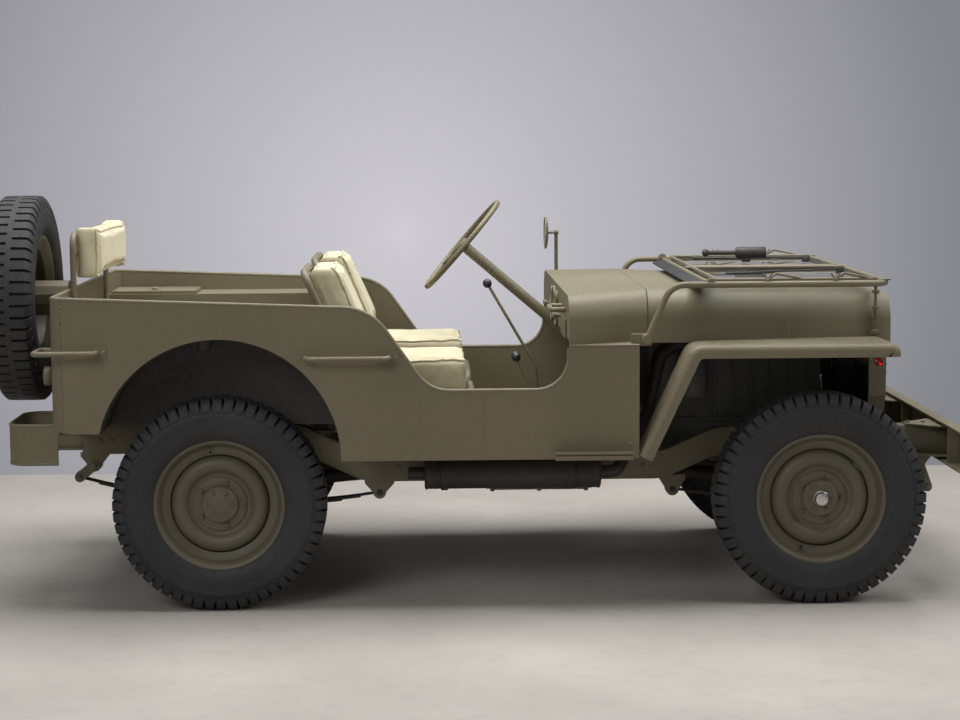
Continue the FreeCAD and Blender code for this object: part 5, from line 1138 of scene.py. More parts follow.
def spring_form(rear, front, seat_x):
    # A stack of leaves, each shorter than the one above, with rolled eyes, clips and the axle's U bolts.
    seat_z = AXLE_Z - AXLE_TUBE_RADIUS - 1
    cx, cz, radius = arc_through(rear, (seat_x, seat_z), front)
    form = Form()
    low_y, high_y = SPRING_Y - SPRING_WIDTH / 2, SPRING_Y + SPRING_WIDTH / 2

    def depth_z(x, depth):
        return cz - math.sqrt((radius + depth) ** 2 - (x - cx) ** 2)

    for i in range(LEAF_COUNT):
        share = 1 - i / (LEAF_COUNT + 1)
        start = seat_x + (rear[0] - seat_x) * share
        end = seat_x + (front[0] - seat_x) * share
        xs = [start + (end - start) * k / LEAF_STEPS for k in range(LEAF_STEPS + 1)]
        top, low = LEAF_PITCH * i, LEAF_PITCH * i + LEAF_GAUGE
        outline = flat([(x, depth_z(x, top)) for x in xs] + [(x, depth_z(x, low)) for x in reversed(xs)])
        inset = LEAF_INSET if i else 0.0
        form.side_plate(outline, low_y + inset, high_y - inset)
    for x, z in (rear, front):
        form.turned(SPRING_EYE, (x, SPRING_Y, z), Y_AXIS, 32, looped=True)
        cross_pin(form, x, z, 29, 28, 7.5)
    deep = LEAF_PITCH * LEAF_COUNT
    for share in (-CLIP_SHARE, CLIP_SHARE):
        span = front[0] - seat_x if share > 0 else seat_x - rear[0]
        x = seat_x + span * share
        z = depth_z(x, 0)
        drop = deep * (1 - abs(share)) + 4
        form.block((x - 11, low_y - 3, z - drop), (x + 11, high_y + 3, z + 3))
    bow_y = (low_y - U_BOLT_OUT, high_y + U_BOLT_OUT)
    for x in (seat_x - U_BOLT_REACH, seat_x + U_BOLT_REACH):
        for y in bow_y:
            form.rod((x, y, seat_z - deep - 26), (x, y, AXLE_Z + 12), U_BOLT_BAR, 16)
            form.bolt((x, y, seat_z - deep - 12), -Z_AXIS)
        bow = [(x, bow_y[0], AXLE_Z), (x, bow_y[0], AXLE_Z + U_BOLT_RISE),
               (x, bow_y[1], AXLE_Z + U_BOLT_RISE), (x, bow_y[1], AXLE_Z)]
        form.bent(bow, U_BOLT_BAR, 16, 16)
    form.block((seat_x - 62, low_y - 18, seat_z - deep - 12), (seat_x + 62, high_y + 18, seat_z - deep - 2))
    form.block((seat_x - 58, low_y, seat_z - 2), (seat_x + 58, high_y, AXLE_Z - 16))
    return form


def cross_pin(form, x, z, half, bolt_out, radius):
    form.rod((x, SPRING_Y - half, z), (x, SPRING_Y + half, z), radius, 18)
    for sign in (LEFT, RIGHT):
        form.bolt((x, SPRING_Y + sign * bolt_out, z), Y_AXIS * sign)


def springs():
    form = spring_form((REAR_SPRING_REAR_X, REAR_SPRING_EYE_Z), (REAR_SPRING_FRONT_X, SPRING_EYE_Z), 0.0)
    form.join(spring_form((FRONT_SPRING_REAR_X, SPRING_EYE_Z), (FRONT_SPRING_FRONT_X, SPRING_EYE_Z),
                          WHEELBASE))
    piece("spring_leaves", form.mirrored(), DARK, replaces=["leaf_springs"], bevel=0.8)


def hanger(form, x, eye_z, top_z, spread):
    # Two plates, wide at the rail and round about the spring's pin.
    high, low = top_z + 8, top_z - 6
    outline = [(x - spread, high), (x + spread, high), (x + spread, low)]
    for k in range(13):
        turn = math.pi * k / 12
        outline.append((x + HANGER_ROUND * math.cos(turn), eye_z - HANGER_ROUND * math.sin(turn)))
    outline.append((x - spread, low))
    for low_y in (SPRING_Y - SPRING_WIDTH / 2 - 5.5, SPRING_Y + SPRING_WIDTH / 2 + 0.5):
        form.side_plate(flat(outline), low_y, low_y + PLATE_GAUGE)


def shackle(form, top, low):
    # Two straps that hang the spring's eye from the bracket's pin.
    for low_y in (SPRING_Y - SPRING_WIDTH / 2 - 11.5, SPRING_Y + SPRING_WIDTH / 2 + 6.5):
        form.side_plate(plate_ring(top, low, 17, 17, 12), low_y, low_y + 6)
    for x, z in (top, low):
        cross_pin(form, x, z, 36, 33, 8.0)


def rail_form():
    corners = [(REAR_KICK_END_X, RAIL_REAR_Z), (REAR_KICK_START_X, RAIL_LOW_Z),
               (FRONT_KICK_START_X, RAIL_LOW_Z), (FRONT_KICK_END_X, RAIL_FRONT_Z)]
    path = rounded([(RAIL_REAR_X, RAIL_REAR_Z)] + [(x, z, KICK_ROUND) for x, z in corners]
                   + [(RAIL_FRONT_X, RAIL_FRONT_Z)], closed=False)
    outer, inner, gauge = RAIL_OUTER_Y, RAIL_OUTER_Y - RAIL_WIDTH, RAIL_GAUGE
    rings = []
    for p in path:
        low, top = p.y, p.y + RAIL_DEPTH
        section = [(outer - 5, low), (inner, low), (inner, low + gauge), (outer - gauge, low + gauge),
                   (outer - gauge, top - gauge), (inner, top - gauge), (inner, top), (outer - 5, top),
                   (outer - 1.5, top - 1.5), (outer, top - 5), (outer, low + 5), (outer - 1.5, low + 1.5)]
        rings.append([(p.x, y, z) for y, z in section])
    return Form().loft(rings)


def cross_members(form):
    # A box at the rear end, and two hollow members with their gussets.
    half = RAIL_OUTER_Y - RAIL_GAUGE
    for x, base in ((RAIL_REAR_X, RAIL_REAR_Z), (CROSS_REAR_X, RAIL_REAR_Z - 12),
                    (CROSS_FRONT_X, RAIL_FRONT_Z)):
        low = base + CROSS_LIFT
        if x == RAIL_REAR_X:
            form.side_plate(rounded(rect(x, low, x + CROSS_WIDTH, low + CROSS_DEPTH), 10), -half, half)
            continue
        hollow = rect(x + 6, low - 4, x + CROSS_WIDTH - 6, low + CROSS_DEPTH - 6)
        form.side_plate(rounded(hollow, 8), -half, half)
        for sign in (LEFT, RIGHT):
            near_y, far_y = sign * half, sign * (half - GUSSET_DEPTH)
            gusset = [(x - GUSSET_REACH, near_y), (x + CROSS_WIDTH + GUSSET_REACH, near_y),
                      (x + CROSS_WIDTH, far_y), (x, far_y)]
            form.plan_plate(flat(gusset), low + CROSS_DEPTH - 4, low + CROSS_DEPTH - 4 + PLATE_GAUGE)


def skid_plate(form):
    low_z, half = RAIL_LOW_Z - SKID_DROP, RAIL_OUTER_Y - SKID_GAUGE
    x_low, x_high = cab_x(0.474), cab_x(0.876)
    path = rounded([(x_low, low_z + 14), (x_low + 40, low_z, 30), (x_high - 40, low_z, 30),
                    (x_high, low_z + 14)], closed=False)
    rings = []
    for p in path:
        rings.append([(p.x, -half, p.y), (p.x, half, p.y), (p.x, half, p.y + SKID_GAUGE),
                      (p.x, -half, p.y + SKID_GAUGE)])
    form.loft(rings)
    for sign in (LEFT, RIGHT):
        for x in (x_low + 30, (x_low + x_high) / 2, x_high - 30):
            form.block((x - 22, sign * (RAIL_OUTER_Y - 8), low_z + 4),
                       (x + 22, sign * (RAIL_OUTER_Y - 48), RAIL_LOW_Z + 2))
            form.bolt((x, sign * (RAIL_OUTER_Y - 28), low_z), -Z_AXIS)


def chassis():
    form = rail_form()
    hanger(form, REAR_SPRING_FRONT_X, SPRING_EYE_Z, RAIL_LOW_Z, 52)
    hanger(form, FRONT_SPRING_REAR_X, SPRING_EYE_Z, RAIL_LOW_Z + 6, 46)
    hanger(form, *REAR_SHACKLE_PIN, RAIL_REAR_Z, 48)
    hanger(form, *FRONT_SHACKLE_PIN, RAIL_FRONT_Z, 48)
    shackle(form, REAR_SHACKLE_PIN, (REAR_SPRING_REAR_X, REAR_SPRING_EYE_Z))
    shackle(form, FRONT_SHACKLE_PIN, (FRONT_SPRING_FRONT_X, SPRING_EYE_Z))
    for x, z in RAIL_RIVETS:
        form.rivet((x, RAIL_OUTER_Y, z), Y_AXIS, 8.0)
    form.mirrored()
    cross_members(form)
    skid_plate(form)
    piece("chassis_rails", form, DRAB, replaces=["frame"], bevel=1.2)


def shafts():
    high_z = TRANSFER_LOW_Z + SHAFT_LIFT
    ends = (((DIFF_REACH, AXLE_Z), (TRANSFER_X, high_z)),
            ((WHEELBASE - DIFF_REACH, AXLE_Z), (TRANSFER_X + TRANSFER_LENGTH, high_z)))
    form = Form()
    for (axle_x, axle_z), (case_x, case_z) in ends:
        start, end = Vector((axle_x, DIFF_Y, axle_z)), Vector((case_x, DIFF_Y, case_z))
        along = (end - start).normalized()
        form.rod(start + along * 60, end - along * 60, SHAFT_RADIUS, 28)
        for spot, toward in ((start, along), (end, -along)):
            form.turned(JOINT_FLANGE, spot, toward, 32)
            form.boss(SHAFT_COLLAR, spot, toward, 28)
            middle = spot + toward * 46
            beside = toward.cross(Z_AXIS).normalized()
            over = toward.cross(beside)
            for axis in (beside, over):
                form.rod(middle - axis * 31, middle + axis * 31, 10.0, 18)
            for shift in (-YOKE_OUT, YOKE_OUT):
                arm = middle + beside * shift
                form.rod(arm - toward * 26, arm + toward * 2, YOKE_BAR, 14)
                arm = middle + over * shift
                form.rod(arm, arm + toward * 26, YOKE_BAR, 14)
    piece("shaft_tubes", form, DARK, replaces=["prop_shafts"])


def silencer():
    x_low, x_high = cab_x(0.258), cab_x(0.887)
    y, z = MUFFLER_Y, MUFFLER_Z
    length = x_high - x_low
    far_end = [(radius, length - offset) for radius, offset in reversed(MUFFLER_END)]
    form = Form().turned(MUFFLER_END + far_end, (x_low, y, z), X_AXIS, 48)
    form.rod((x_low - 57, y, z), (x_low + 6, y, z), PIPE_RADIUS, 28)
    pipe = [(x_high - 6, y, z), (x_high + 56, y, z), (x_high + 90, y + 70, z + 40),
            (x_high + 100, y + 190, z + 60)]
    form.bent(pipe, PIPE_RADIUS, 40, 28)
    for x in (x_low + 57, x_high - 114):
        form.turned(MUFFLER_STRAP, (x, y, z), X_AXIS, 40, looped=True)
        form.block((x, y + 50, z + 30), (x + 24, -RAIL_OUTER_Y + 2, z + 36))
        form.block((x - 4, y + 96, z + 20), (x + 28, y + 101, z + 60))
        form.bolt((x + 12, y, z + 60), Z_AXIS, 7.0)
    piece("silencer", form, DARK, replaces=["exhaust"])


# Body


def tub_outline():
    corners = [
        (TUB_REAR_X, TUB_TOP_REAR_Z),
        (TUB_REAR_X, TUB_LOW_REAR_Z, TUB_CORNER_ROUND),
    ]
    start = math.asin((TUB_LOW_REAR_Z - ARCH_Z) / ARCH_RADIUS)
    end = math.asin((BODY_LOW_Z - ARCH_Z) / ARCH_RADIUS)
    for k in range(ARCH_STEPS + 1):
        turn = math.pi - start + (end - math.pi + start) * k / ARCH_STEPS
        corners.append((ARCH_X + ARCH_RADIUS * math.cos(turn), ARCH_Z + ARCH_RADIUS * math.sin(turn)))
    corners += [
        (BODY_FRONT_X, BODY_LOW_Z),
        (BODY_FRONT_X, COWL_SIDE_Z),
        (COWL_REAR_X, COWL_SIDE_Z),
        (COWL_REAR_X, SILL_Z, DOOR_FRONT_ROUND),
        (DOOR_SLOPE_END_X, SILL_Z, DOOR_REAR_ROUND),
        (DOOR_REAR_X, TUB_TOP_FRONT_Z, DOOR_TOP_ROUND),
    ]
    return corners


def tub_bead():
    # The rolled edge of one side, its seam and its rivets.
    y = BODY_HALF - PANEL / 2
    back_x = TUB_REAR_X + PANEL / 2
    edge = [((back_x, 0, TUB_TOP_REAR_Z), 0), ((back_x, y, TUB_TOP_REAR_Z), TUB_PLAN_ROUND - PANEL / 2)]
    edge += [((c[0], y, c[1]), c[2]) for c in reversed(tub_outline()[-3:])]
    edge += [((COWL_REAR_X, y, COWL_SIDE_Z - 4), 0)]
    form = Form().tube(rounded(edge, closed=False), BEAD_BAR, 14)
    seam_y = BODY_HALF - 1
    form.rod((BODY_SEAM_X, seam_y, BODY_LOW_Z + 4), (BODY_SEAM_X, seam_y, SILL_Z - 8), SEAM_BAR, 10)
    for x, z in SIDE_RIVETS:
        form.rivet((x, BODY_HALF, z), Y_AXIS, 6.0)
    return form


def tub():
    flat_x, flat_y = TUB_REAR_X + TUB_PLAN_ROUND, BODY_HALF - TUB_PLAN_ROUND
    foot_z = TUB_LOW_REAR_Z + TUB_FOOT_LIFT
    outline = [(flat_x, TUB_TOP_REAR_Z), (flat_x, foot_z), (flat_x + 22, TUB_LOW_REAR_Z)] + tub_outline()[2:]
    for side, sign in SIDES.items():
        form = Form().side_plate(rounded(outline), BODY_HALF - PANEL, BODY_HALF)
        rings = []
        for k in range(11):
            turn = math.pi / 2 * k / 10
            out = Vector((-math.sin(turn), math.cos(turn), 0))
            low = foot_z + 12 * math.sin(turn)
            outer = Vector((flat_x, flat_y, 0)) + out * TUB_PLAN_ROUND
            inner = outer - out * PANEL
            rings.append([(outer.x, outer.y, low), (outer.x, outer.y, TUB_TOP_REAR_Z),
                          (inner.x, inner.y, TUB_TOP_REAR_Z), (inner.x, inner.y, low)])
        form.loft(rings)
        piece("tub_skin_" + side, form.on_side(sign), DRAB, replaces=["tub_side_" + side], bevel=1.5)
        piece("tub_bead_" + side, tub_bead().on_side(sign), DRAB)
    form = Form().block((TUB_REAR_X, -flat_y, TUB_LOW_REAR_Z), (TUB_REAR_X + PANEL, flat_y, TUB_TOP_REAR_Z))
    for z in (TUB_LOW_REAR_Z + BACK_RIB_IN, TUB_TOP_REAR_Z - BACK_RIB_IN):
        form.bent([(TUB_REAR_X, -BACK_RIB_HALF, z), (TUB_REAR_X, BACK_RIB_HALF, z)], RIB_BAR, 1, 12)
    for y in (-560, -480, 480, 560):
        form.rivet((TUB_REAR_X, y, BACK_RIVET_Z), -X_AXIS, 7.0)
    piece("tub_back", form, DRAB, replaces=["rear_panel"], bevel=1.5)


def shell_path(half, low_z, top_z, radius, inset):
    # The shell's open section from its left foot over the top to the right one.
    corners = [(-half + inset, low_z), (-half + inset, top_z - inset, radius - inset),
               (half - inset, top_z - inset, radius - inset), (half - inset, low_z)]
    return rounded(corners, closed=False)


def shell_form(stations, gauge):
    rings = []
    for x, half, low_z, top_z, radius in stations:
        outer = shell_path(half, low_z, top_z, radius, 0)
        inner = shell_path(half, low_z, top_z, radius, gauge)
        rings.append([(x, p.x, p.y) for p in outer + inner[::-1]])
    return Form().loft(rings)


def cowl():
    rear = (COWL_REAR_X, BODY_HALF, COWL_SIDE_Z, COWL_TOP_Z, COWL_ROUND)
    front = (COWL_FRONT_X, HOOD_REAR_HALF, COWL_SIDE_Z, COWL_FRONT_TOP_Z, HOOD_ROUND)
    form = shell_form([rear, front], PANEL)
    half, radius = BODY_HALF - PANEL, COWL_ROUND - PANEL
    low, top = COWL_SIDE_Z + DASH_LIFT, COWL_TOP_Z - PANEL
    dash = rounded([(-half, low), (-half, top, radius), (half, top, radius), (half, low)])
    form.front_plate(dash, COWL_REAR_X + 1, COWL_REAR_X + PANEL)
    outer_y = SCREEN_HALF - SCREEN_TUBE * 2
    for sign in (LEFT, RIGHT):
        shelf = [(COWL_REAR_X, sign * half), (BODY_FRONT_X, sign * (HOOD_REAR_HALF - PANEL)),
                 (BODY_FRONT_X, sign * BODY_HALF), (COWL_REAR_X, sign * BODY_HALF)]
        form.plan_plate(flat(shelf), COWL_SIDE_Z, COWL_SIDE_Z + SHEET)
        form.block((SCREEN_PIVOT_X - 51, sign * outer_y, COWL_SIDE_Z),
                   (SCREEN_PIVOT_X + 17, sign * (outer_y - PANEL), SCREEN_PIVOT_Z + 17))
    piece("cowl_skin", form, DRAB, replaces=["cowl"], bevel=2.0)


def hood():
    rear = (HOOD_REAR_X, HOOD_REAR_HALF, HOOD_REAR_LOW_Z, HOOD_REAR_TOP_Z, HOOD_ROUND)
    front = (HOOD_FRONT_X, HOOD_FRONT_HALF, HOOD_FRONT_LOW_Z, HOOD_FRONT_TOP_Z, HOOD_ROUND)
    piece("hood_skin", shell_form([rear, front], HOOD_GAUGE), DRAB, replaces=["hood"], bevel=2.0)


def hood_half(x):
    share = (x - HOOD_REAR_X) / (HOOD_FRONT_X - HOOD_REAR_X)
    return HOOD_REAR_HALF + (HOOD_FRONT_HALF - HOOD_REAR_HALF) * share


def fender_form():
    # A section with a rolled outer edge and two skirts, swept up the slant and along the top.
    drop = FENDER_TOP_Z - FENDER_LIP_Z
    slant = Vector((FENDER_REAR_TOP_X - FENDER_FOOT_X, FENDER_TOP_Z - FENDER_FOOT_Z, 0)).normalized()
    foot_x = BODY_FRONT_X + 1
    foot_z = FENDER_FOOT_Z + (foot_x - FENDER_FOOT_X) * slant.y / slant.x
    path = rounded([(foot_x, foot_z), (FENDER_REAR_TOP_X, FENDER_TOP_Z, FENDER_REAR_ROUND),
                    (FENDER_FRONT_X, FENDER_TOP_Z, FENDER_FRONT_ROUND), (FENDER_FRONT_X, FENDER_LIP_Z)],
                   closed=False)
    rings = []
    for i, here in enumerate(path):
        run = run_at(path, i)
        normal = Vector((-run.y, run.x, 0))
        inner_y = hood_half(here.x) + SHEET
        section = []
        for inset in (0, FENDER_GAUGE):
            line = rounded([(inner_y + inset, -drop), (inner_y + inset, -inset, 0),
                            (FENDER_OUTER_Y - inset, -inset, FENDER_EDGE_ROUND - inset),
                            (FENDER_OUTER_Y - inset, -drop)], closed=False)
            section += line if inset == 0 else line[::-1]
        rings.append([(here.x + normal.x * p.y, p.x, here.y + normal.y * p.y) for p in section])
    return Form().loft(rings)


def fenders():
    for side, sign in SIDES.items():
        piece("fender_skin_" + side, fender_form().on_side(sign), DRAB, replaces=["fender_" + side])


def channel_form(x_face, depth, half, low, top, gauge):
    # A pressed channel across the car, open to the rear, with eased folds.
    x_back, x_inner = x_face - depth, x_face - gauge
    outer = rounded([(x_back, low), (x_face, low, 14), (x_face, top, 14), (x_back, top)], closed=False)
    inner = rounded([(x_back, low + gauge), (x_inner, low + gauge, 8), (x_inner, top - gauge, 8),
                     (x_back, top - gauge)], closed=False)
    return Form().side_plate(outer + inner[::-1], -half, half)


def run_at(path, i):
    # The way a path runs at one of its points.
    return (path[min(i + 1, len(path) - 1)] - path[max(i - 1, 0)]).normalized()


def front_bumper():
    low, top = BUMPER_LOW_Z, BUMPER_TOP_Z
    form = channel_form(BUMPER_FACE_X, BUMPER_DEPTH, BUMPER_HALF, low, top, BUMPER_GAUGE)
    top_z = RAIL_FRONT_Z + RAIL_DEPTH
    near_x, far_x = RAIL_FRONT_X - PLATE_BACK, RAIL_FRONT_X - PLATE_WIDE_BACK
    for sign in (LEFT, RIGHT):
        for y in (180, 345, 520):
            form.block((BUMPER_FACE_X - 46, sign * (y - 3), low + 4),
                       (BUMPER_FACE_X - 4, sign * (y + 3), top - 4))
        for y in (330, 360):
            for z in (490, 542):
                form.bolt((BUMPER_FACE_X, sign * y, z), X_AXIS)
        for z in (RAIL_FRONT_Z - PLATE_GAUGE, top_z):
            plate = [(near_x, 330), (near_x, 371), (far_x, 440), (RAIL_FRONT_X, 440), (RAIL_FRONT_X, 250),
                     (far_x, 250)]
            form.plan_plate(flat([(x, sign * y) for x, y in plate]), z, z + PLATE_GAUGE)
        for back, y in ((135, 345), (80, 345), (24, 415)):
            form.bolt((RAIL_FRONT_X - back, sign * y, top_z + PLATE_GAUGE), Z_AXIS, 8.0)
    piece("front_bumper_bar", form, DRAB, replaces=["front_bumper"], bevel=1.2)


def rear_bumpers():
    # A band bent round at both ends, with rolled edges, on two flanges and a web.
    form = Form()
    face_x = BAND_FACE_X
    path = rounded([(-540, BAND_OUTER_Y), (face_x, BAND_OUTER_Y, BAND_ROUND),
                    (face_x, BAND_INNER_Y, BAND_ROUND), (-596, BAND_INNER_Y)], closed=False)
    rings = []
    for i, here in enumerate(path):
        run = run_at(path, i)
        out = Vector((-run.y, run.x, 0)) * BAND_HALF_GAUGE
        section = [(out, BAND_LOW_Z), (out, BAND_TOP_Z), (-out, BAND_TOP_Z), (-out, BAND_LOW_Z)]
        rings.append([((here + o).x, (here + o).y, z) for o, z in section])
    form.loft(rings)
    for z in (BAND_TOP_Z, BAND_LOW_Z):
        form.tube([(p.x, p.y, z) for p in path], 6.0, 12)
    for near_y, far_y, low_z, high_z in ((324, 366, 505, 512), (324, 366, 566, 573), (342, 349, 505, 573)):
        form.block((face_x + 4, near_y, low_z), (RAIL_REAR_X, far_y, high_z))
    for y in (326, 364):
        form.bolt((face_x - 4, y, 540), -X_AXIS, 8.0)
    form.mirrored()
    piece("rear_bumper_bands", form, DRAB, replaces=["rear_bumpers"], bevel=1.2)


def tow_ring():
    z = RAIL_REAR_Z + RAIL_DEPTH / 2
    form = Form().boss(TOW_STEM, (RAIL_REAR_X, 0, z), -X_AXIS, 32)
    ring = [(TOW_RING_RADIUS + out, up) for out, up in around(16, TOW_BAR)]
    form.turned(ring, (RAIL_REAR_X - TOW_RING_OUT, 0, z), Y_AXIS, 48, looped=True)
    for y, up in ((-28, 0), (28, 0), (0, 28), (0, -28)):
        form.bolt((RAIL_REAR_X - 8, y, z + up), -X_AXIS, 6.0)
    piece("tow_ring", form, DARK, replaces=["tow_hook"])


def lamp(name, centre, along, radius, depth, lens, bulge):
    # A bowl with its rolled rim, a bright reflector and a domed lens, drawn as shares of its radius.
    bowl = [(0, -depth), (0.5, -depth), (0.86, -depth * 0.7), (0.97, -8), (1, 0), (1, 5), (0.96, 7), (0.9, 5),
            (0.9, 0), (0.8, -depth * 0.5), (0, -depth * 0.85)]
    back = [(0, -depth * 0.6), (0.6, -depth * 0.5), (0.89, -1), (0.87, -1), (0.58, -depth * 0.48),
            (0, -depth * 0.57)]
    dome = [(0.91, 2), (0.7, 2 + bulge * 0.6), (0.35, 2 + bulge * 0.92), (0, 2 + bulge), (0, bulge - 1),
            (0.35, bulge * 0.92 - 1), (0.7, bulge * 0.6 - 1), (0.88, -1)]
    for ending, profile, sectors, finish in (("_bowl", bowl, 56, DRAB), ("_back", back, 48, LENS_BACK),
                                             ("_lens", dome, 48, lens)):
        profile = [(radius * share, offset) for share, offset in profile]
        piece(name + ending, Form().turned(profile, centre, along, sectors), finish)


def front_lamps():
    for side, sign in SIDES.items():
        lamp("headlamp_" + side, (GRILLE_X, sign * LAMP_Y, HEADLAMP_Z), X_AXIS, 84.0, 88.0, LAMP_GLASS, 10.0)
        lamp("marker_" + side, (GRILLE_X, sign * LAMP_Y, MARKER_Z), X_AXIS, 32.0, 30.0, LAMP_GLASS, 6.0)
        lamp("tail_lamp_" + side, (TUB_REAR_X - 24, sign * (BODY_HALF - 80), TAIL_LAMP_Z), -X_AXIS, 32.0,
             24.0, RED_GLASS, 5.0)
        lamp("side_lamp_" + side, (FENDER_FRONT_X - 78, sign * SIDE_LAMP_Y, SIDE_LAMP_Z), Y_AXIS * sign,
             15.0, 26.0, RED_GLASS, 7.0)
    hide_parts("lamps")


def grille_trim():
    # A bead round each slot and each lamp's hole, and the bolts at the sides.
    form = Form()
    low, top, half = SLOT_LOW_Z, SLOT_TOP_Z, SLOT_HALF
    for i in range(SLOT_COUNT):
        middle = (i - (SLOT_COUNT - 1) // 2) * SLOT_PITCH
        slot = hoop_run(middle, middle - half, low, middle + half, top, 12)
        form.tube([(GRILLE_X - 1, p.x, p.y) for p in slot], 3.4, 10)
    for sign in (LEFT, RIGHT):
        for z, radius in ((HEADLAMP_Z, 88), (MARKER_Z, 36)):
            rim = [(radius - 3, -2), (radius + 4, -2), (radius + 5, 1), (radius + 1, 4), (radius - 3, 3)]
            form.turned(rim, (GRILLE_X, sign * LAMP_Y, z), X_AXIS, 56, looped=True)
        for z in (760, 790, 930):
            form.bolt((GRILLE_X, sign * 425, z), X_AXIS, 6.0)
    piece("grille_trim", form, DRAB)


def radiator():
    # Flat fins across upright water tubes, in a frame with its filler cap.
    form = Form()
    front_x, half, low_z, top_z = GRILLE_X - 10, RADIATOR_HALF, RADIATOR_LOW_Z, RADIATOR_TOP_Z
    back_x = front_x - RADIATOR_DEPTH
    inner = half - 12
    for k in range(26):
        z = low_z + 25 + k * FIN_PITCH
        form.block((back_x + 4, -inner, z), (front_x - 2, inner, z + 2))
    for k in range(15):
        y = -182 + k * WATER_TUBE_PITCH
        form.block((back_x + 9, y - 2, low_z + 12), (front_x - 8, y + 2, top_z - 12))
    form.block((back_x, -half, low_z), (front_x, half, low_z + 22))
    form.block((back_x, -half, top_z - 20), (front_x, half, top_z))
    for y in (-half, inner):
        form.block((back_x, y, low_z), (front_x, y + 12, top_z))
    form.boss(FILLER_CAP, (front_x - 28, 0, top_z), Z_AXIS, 32)
    piece("radiator_core", form, BLACK, replaces=["radiator"])


def engine():
    # What shows of the engine through the arches, the grille and from below.
    form, pipes = Form(), Form()
    low_x, high_x, half = ENGINE_REAR_X, ENGINE_FRONT_X, ENGINE_HALF
    for k in range(9):
        x = low_x + 40 + k * 66
        for sign in (LEFT, RIGHT):
            form.block((x, sign * (half - 1), BLOCK_LOW_Z), (x + 8, sign * (half + 7), BLOCK_TOP_Z))
    for z in (BLOCK_LOW_Z, BLOCK_TOP_Z + 5):
        form.block((low_x + 6, -half - 10, z), (high_x - 6, half + 10, z + 12))
    form.boss(GENERATOR_CASE, GENERATOR_PLACE, X_AXIS, 40)
    form.boss(CRANK_PULLEY, (high_x + 6, 0, CRANK_Z), X_AXIS, 40)
    form.boss(FAN_PULLEY, (high_x + 6, 0, FAN_Z), X_AXIS, 40)
    hub = Vector((high_x + 30, 0, FAN_Z))
    for y, z in around(4, 1.0):
        out, beside = Vector((0, y, z)), Vector((0, -z, y))
        root, tip = hub + out * 44, hub + out * FAN_RADIUS
        blade = [root - beside * 12, root + beside * 12, tip + beside * 36 + X_AXIS * 12,
                 tip - beside * 36 - X_AXIS * 12]
        form.loft([blade, [p + X_AXIS * 3 for p in blade]])
    form.boss(OIL_FILTER, OIL_FILTER_PLACE, Z_AXIS, 36)
    pipes.bent([(1600, -190, 840), (1960, -190, 840)], 26.0, 1, 24)
    for k in range(4):
        pipes.bent([(1630 + k * 100, -160, 850), (1630 + k * 100, -190, 846)], 22.0, 1, 20)
    pipes.bent(EXHAUST_RUN, 22.0, 50, 24)
    piece("engine_fittings", form, IRON, bevel=1.0)
    piece("manifold", pipes, DARK)


def latches():
    # Spring rods that hold the hood down beside the folded screen, and the small side catches.
    form = Form()
    for sign in (LEFT, RIGHT):
        x = HOOD_FRONT_X - 60
        y = sign * (hood_half(x) + 16)
        form.rod((x, y, 900), (x, y, 1070), 5.0, 14)
        form.ball((x, y, 1068), 9.0)
        for z in (905, 985, 1040):
            form.boss(LATCH_FOOT, (x, y, z), Z_AXIS, 24)
        coil = []
        steps = COIL_TURNS * COIL_STEPS
        for k in range(steps + 1):
            turn = 2 * math.pi * k / COIL_STEPS
            coil.append((x + 10 * math.cos(turn), y + 10 * math.sin(turn), 920 + 62 * k / steps))
        form.tube(coil, 2.0, 8)
        form.block((x - 16, y, 896), (x + 16, y - sign * 16, 906))
        x = WHEELBASE - 90
        y = sign * (hood_half(x) + 2)
        form.block((x - 22, y, 884), (x + 22, y + sign * 6, 930))
        form.rod((x, y + sign * 9, 880), (x, y + sign * 9, 936), 5.0, 14)
        form.block((x - 7, y + sign * 6, 926), (x + 7, y + sign * 13, 950))
    piece("hood_latches", form, DRAB, bevel=0.8)


# Cab


def hoop_x(z):
    return SEAT_FOOT_X - (z - SEAT_BAR_Z) * math.tan(math.radians(BACK_LEAN_DEG))


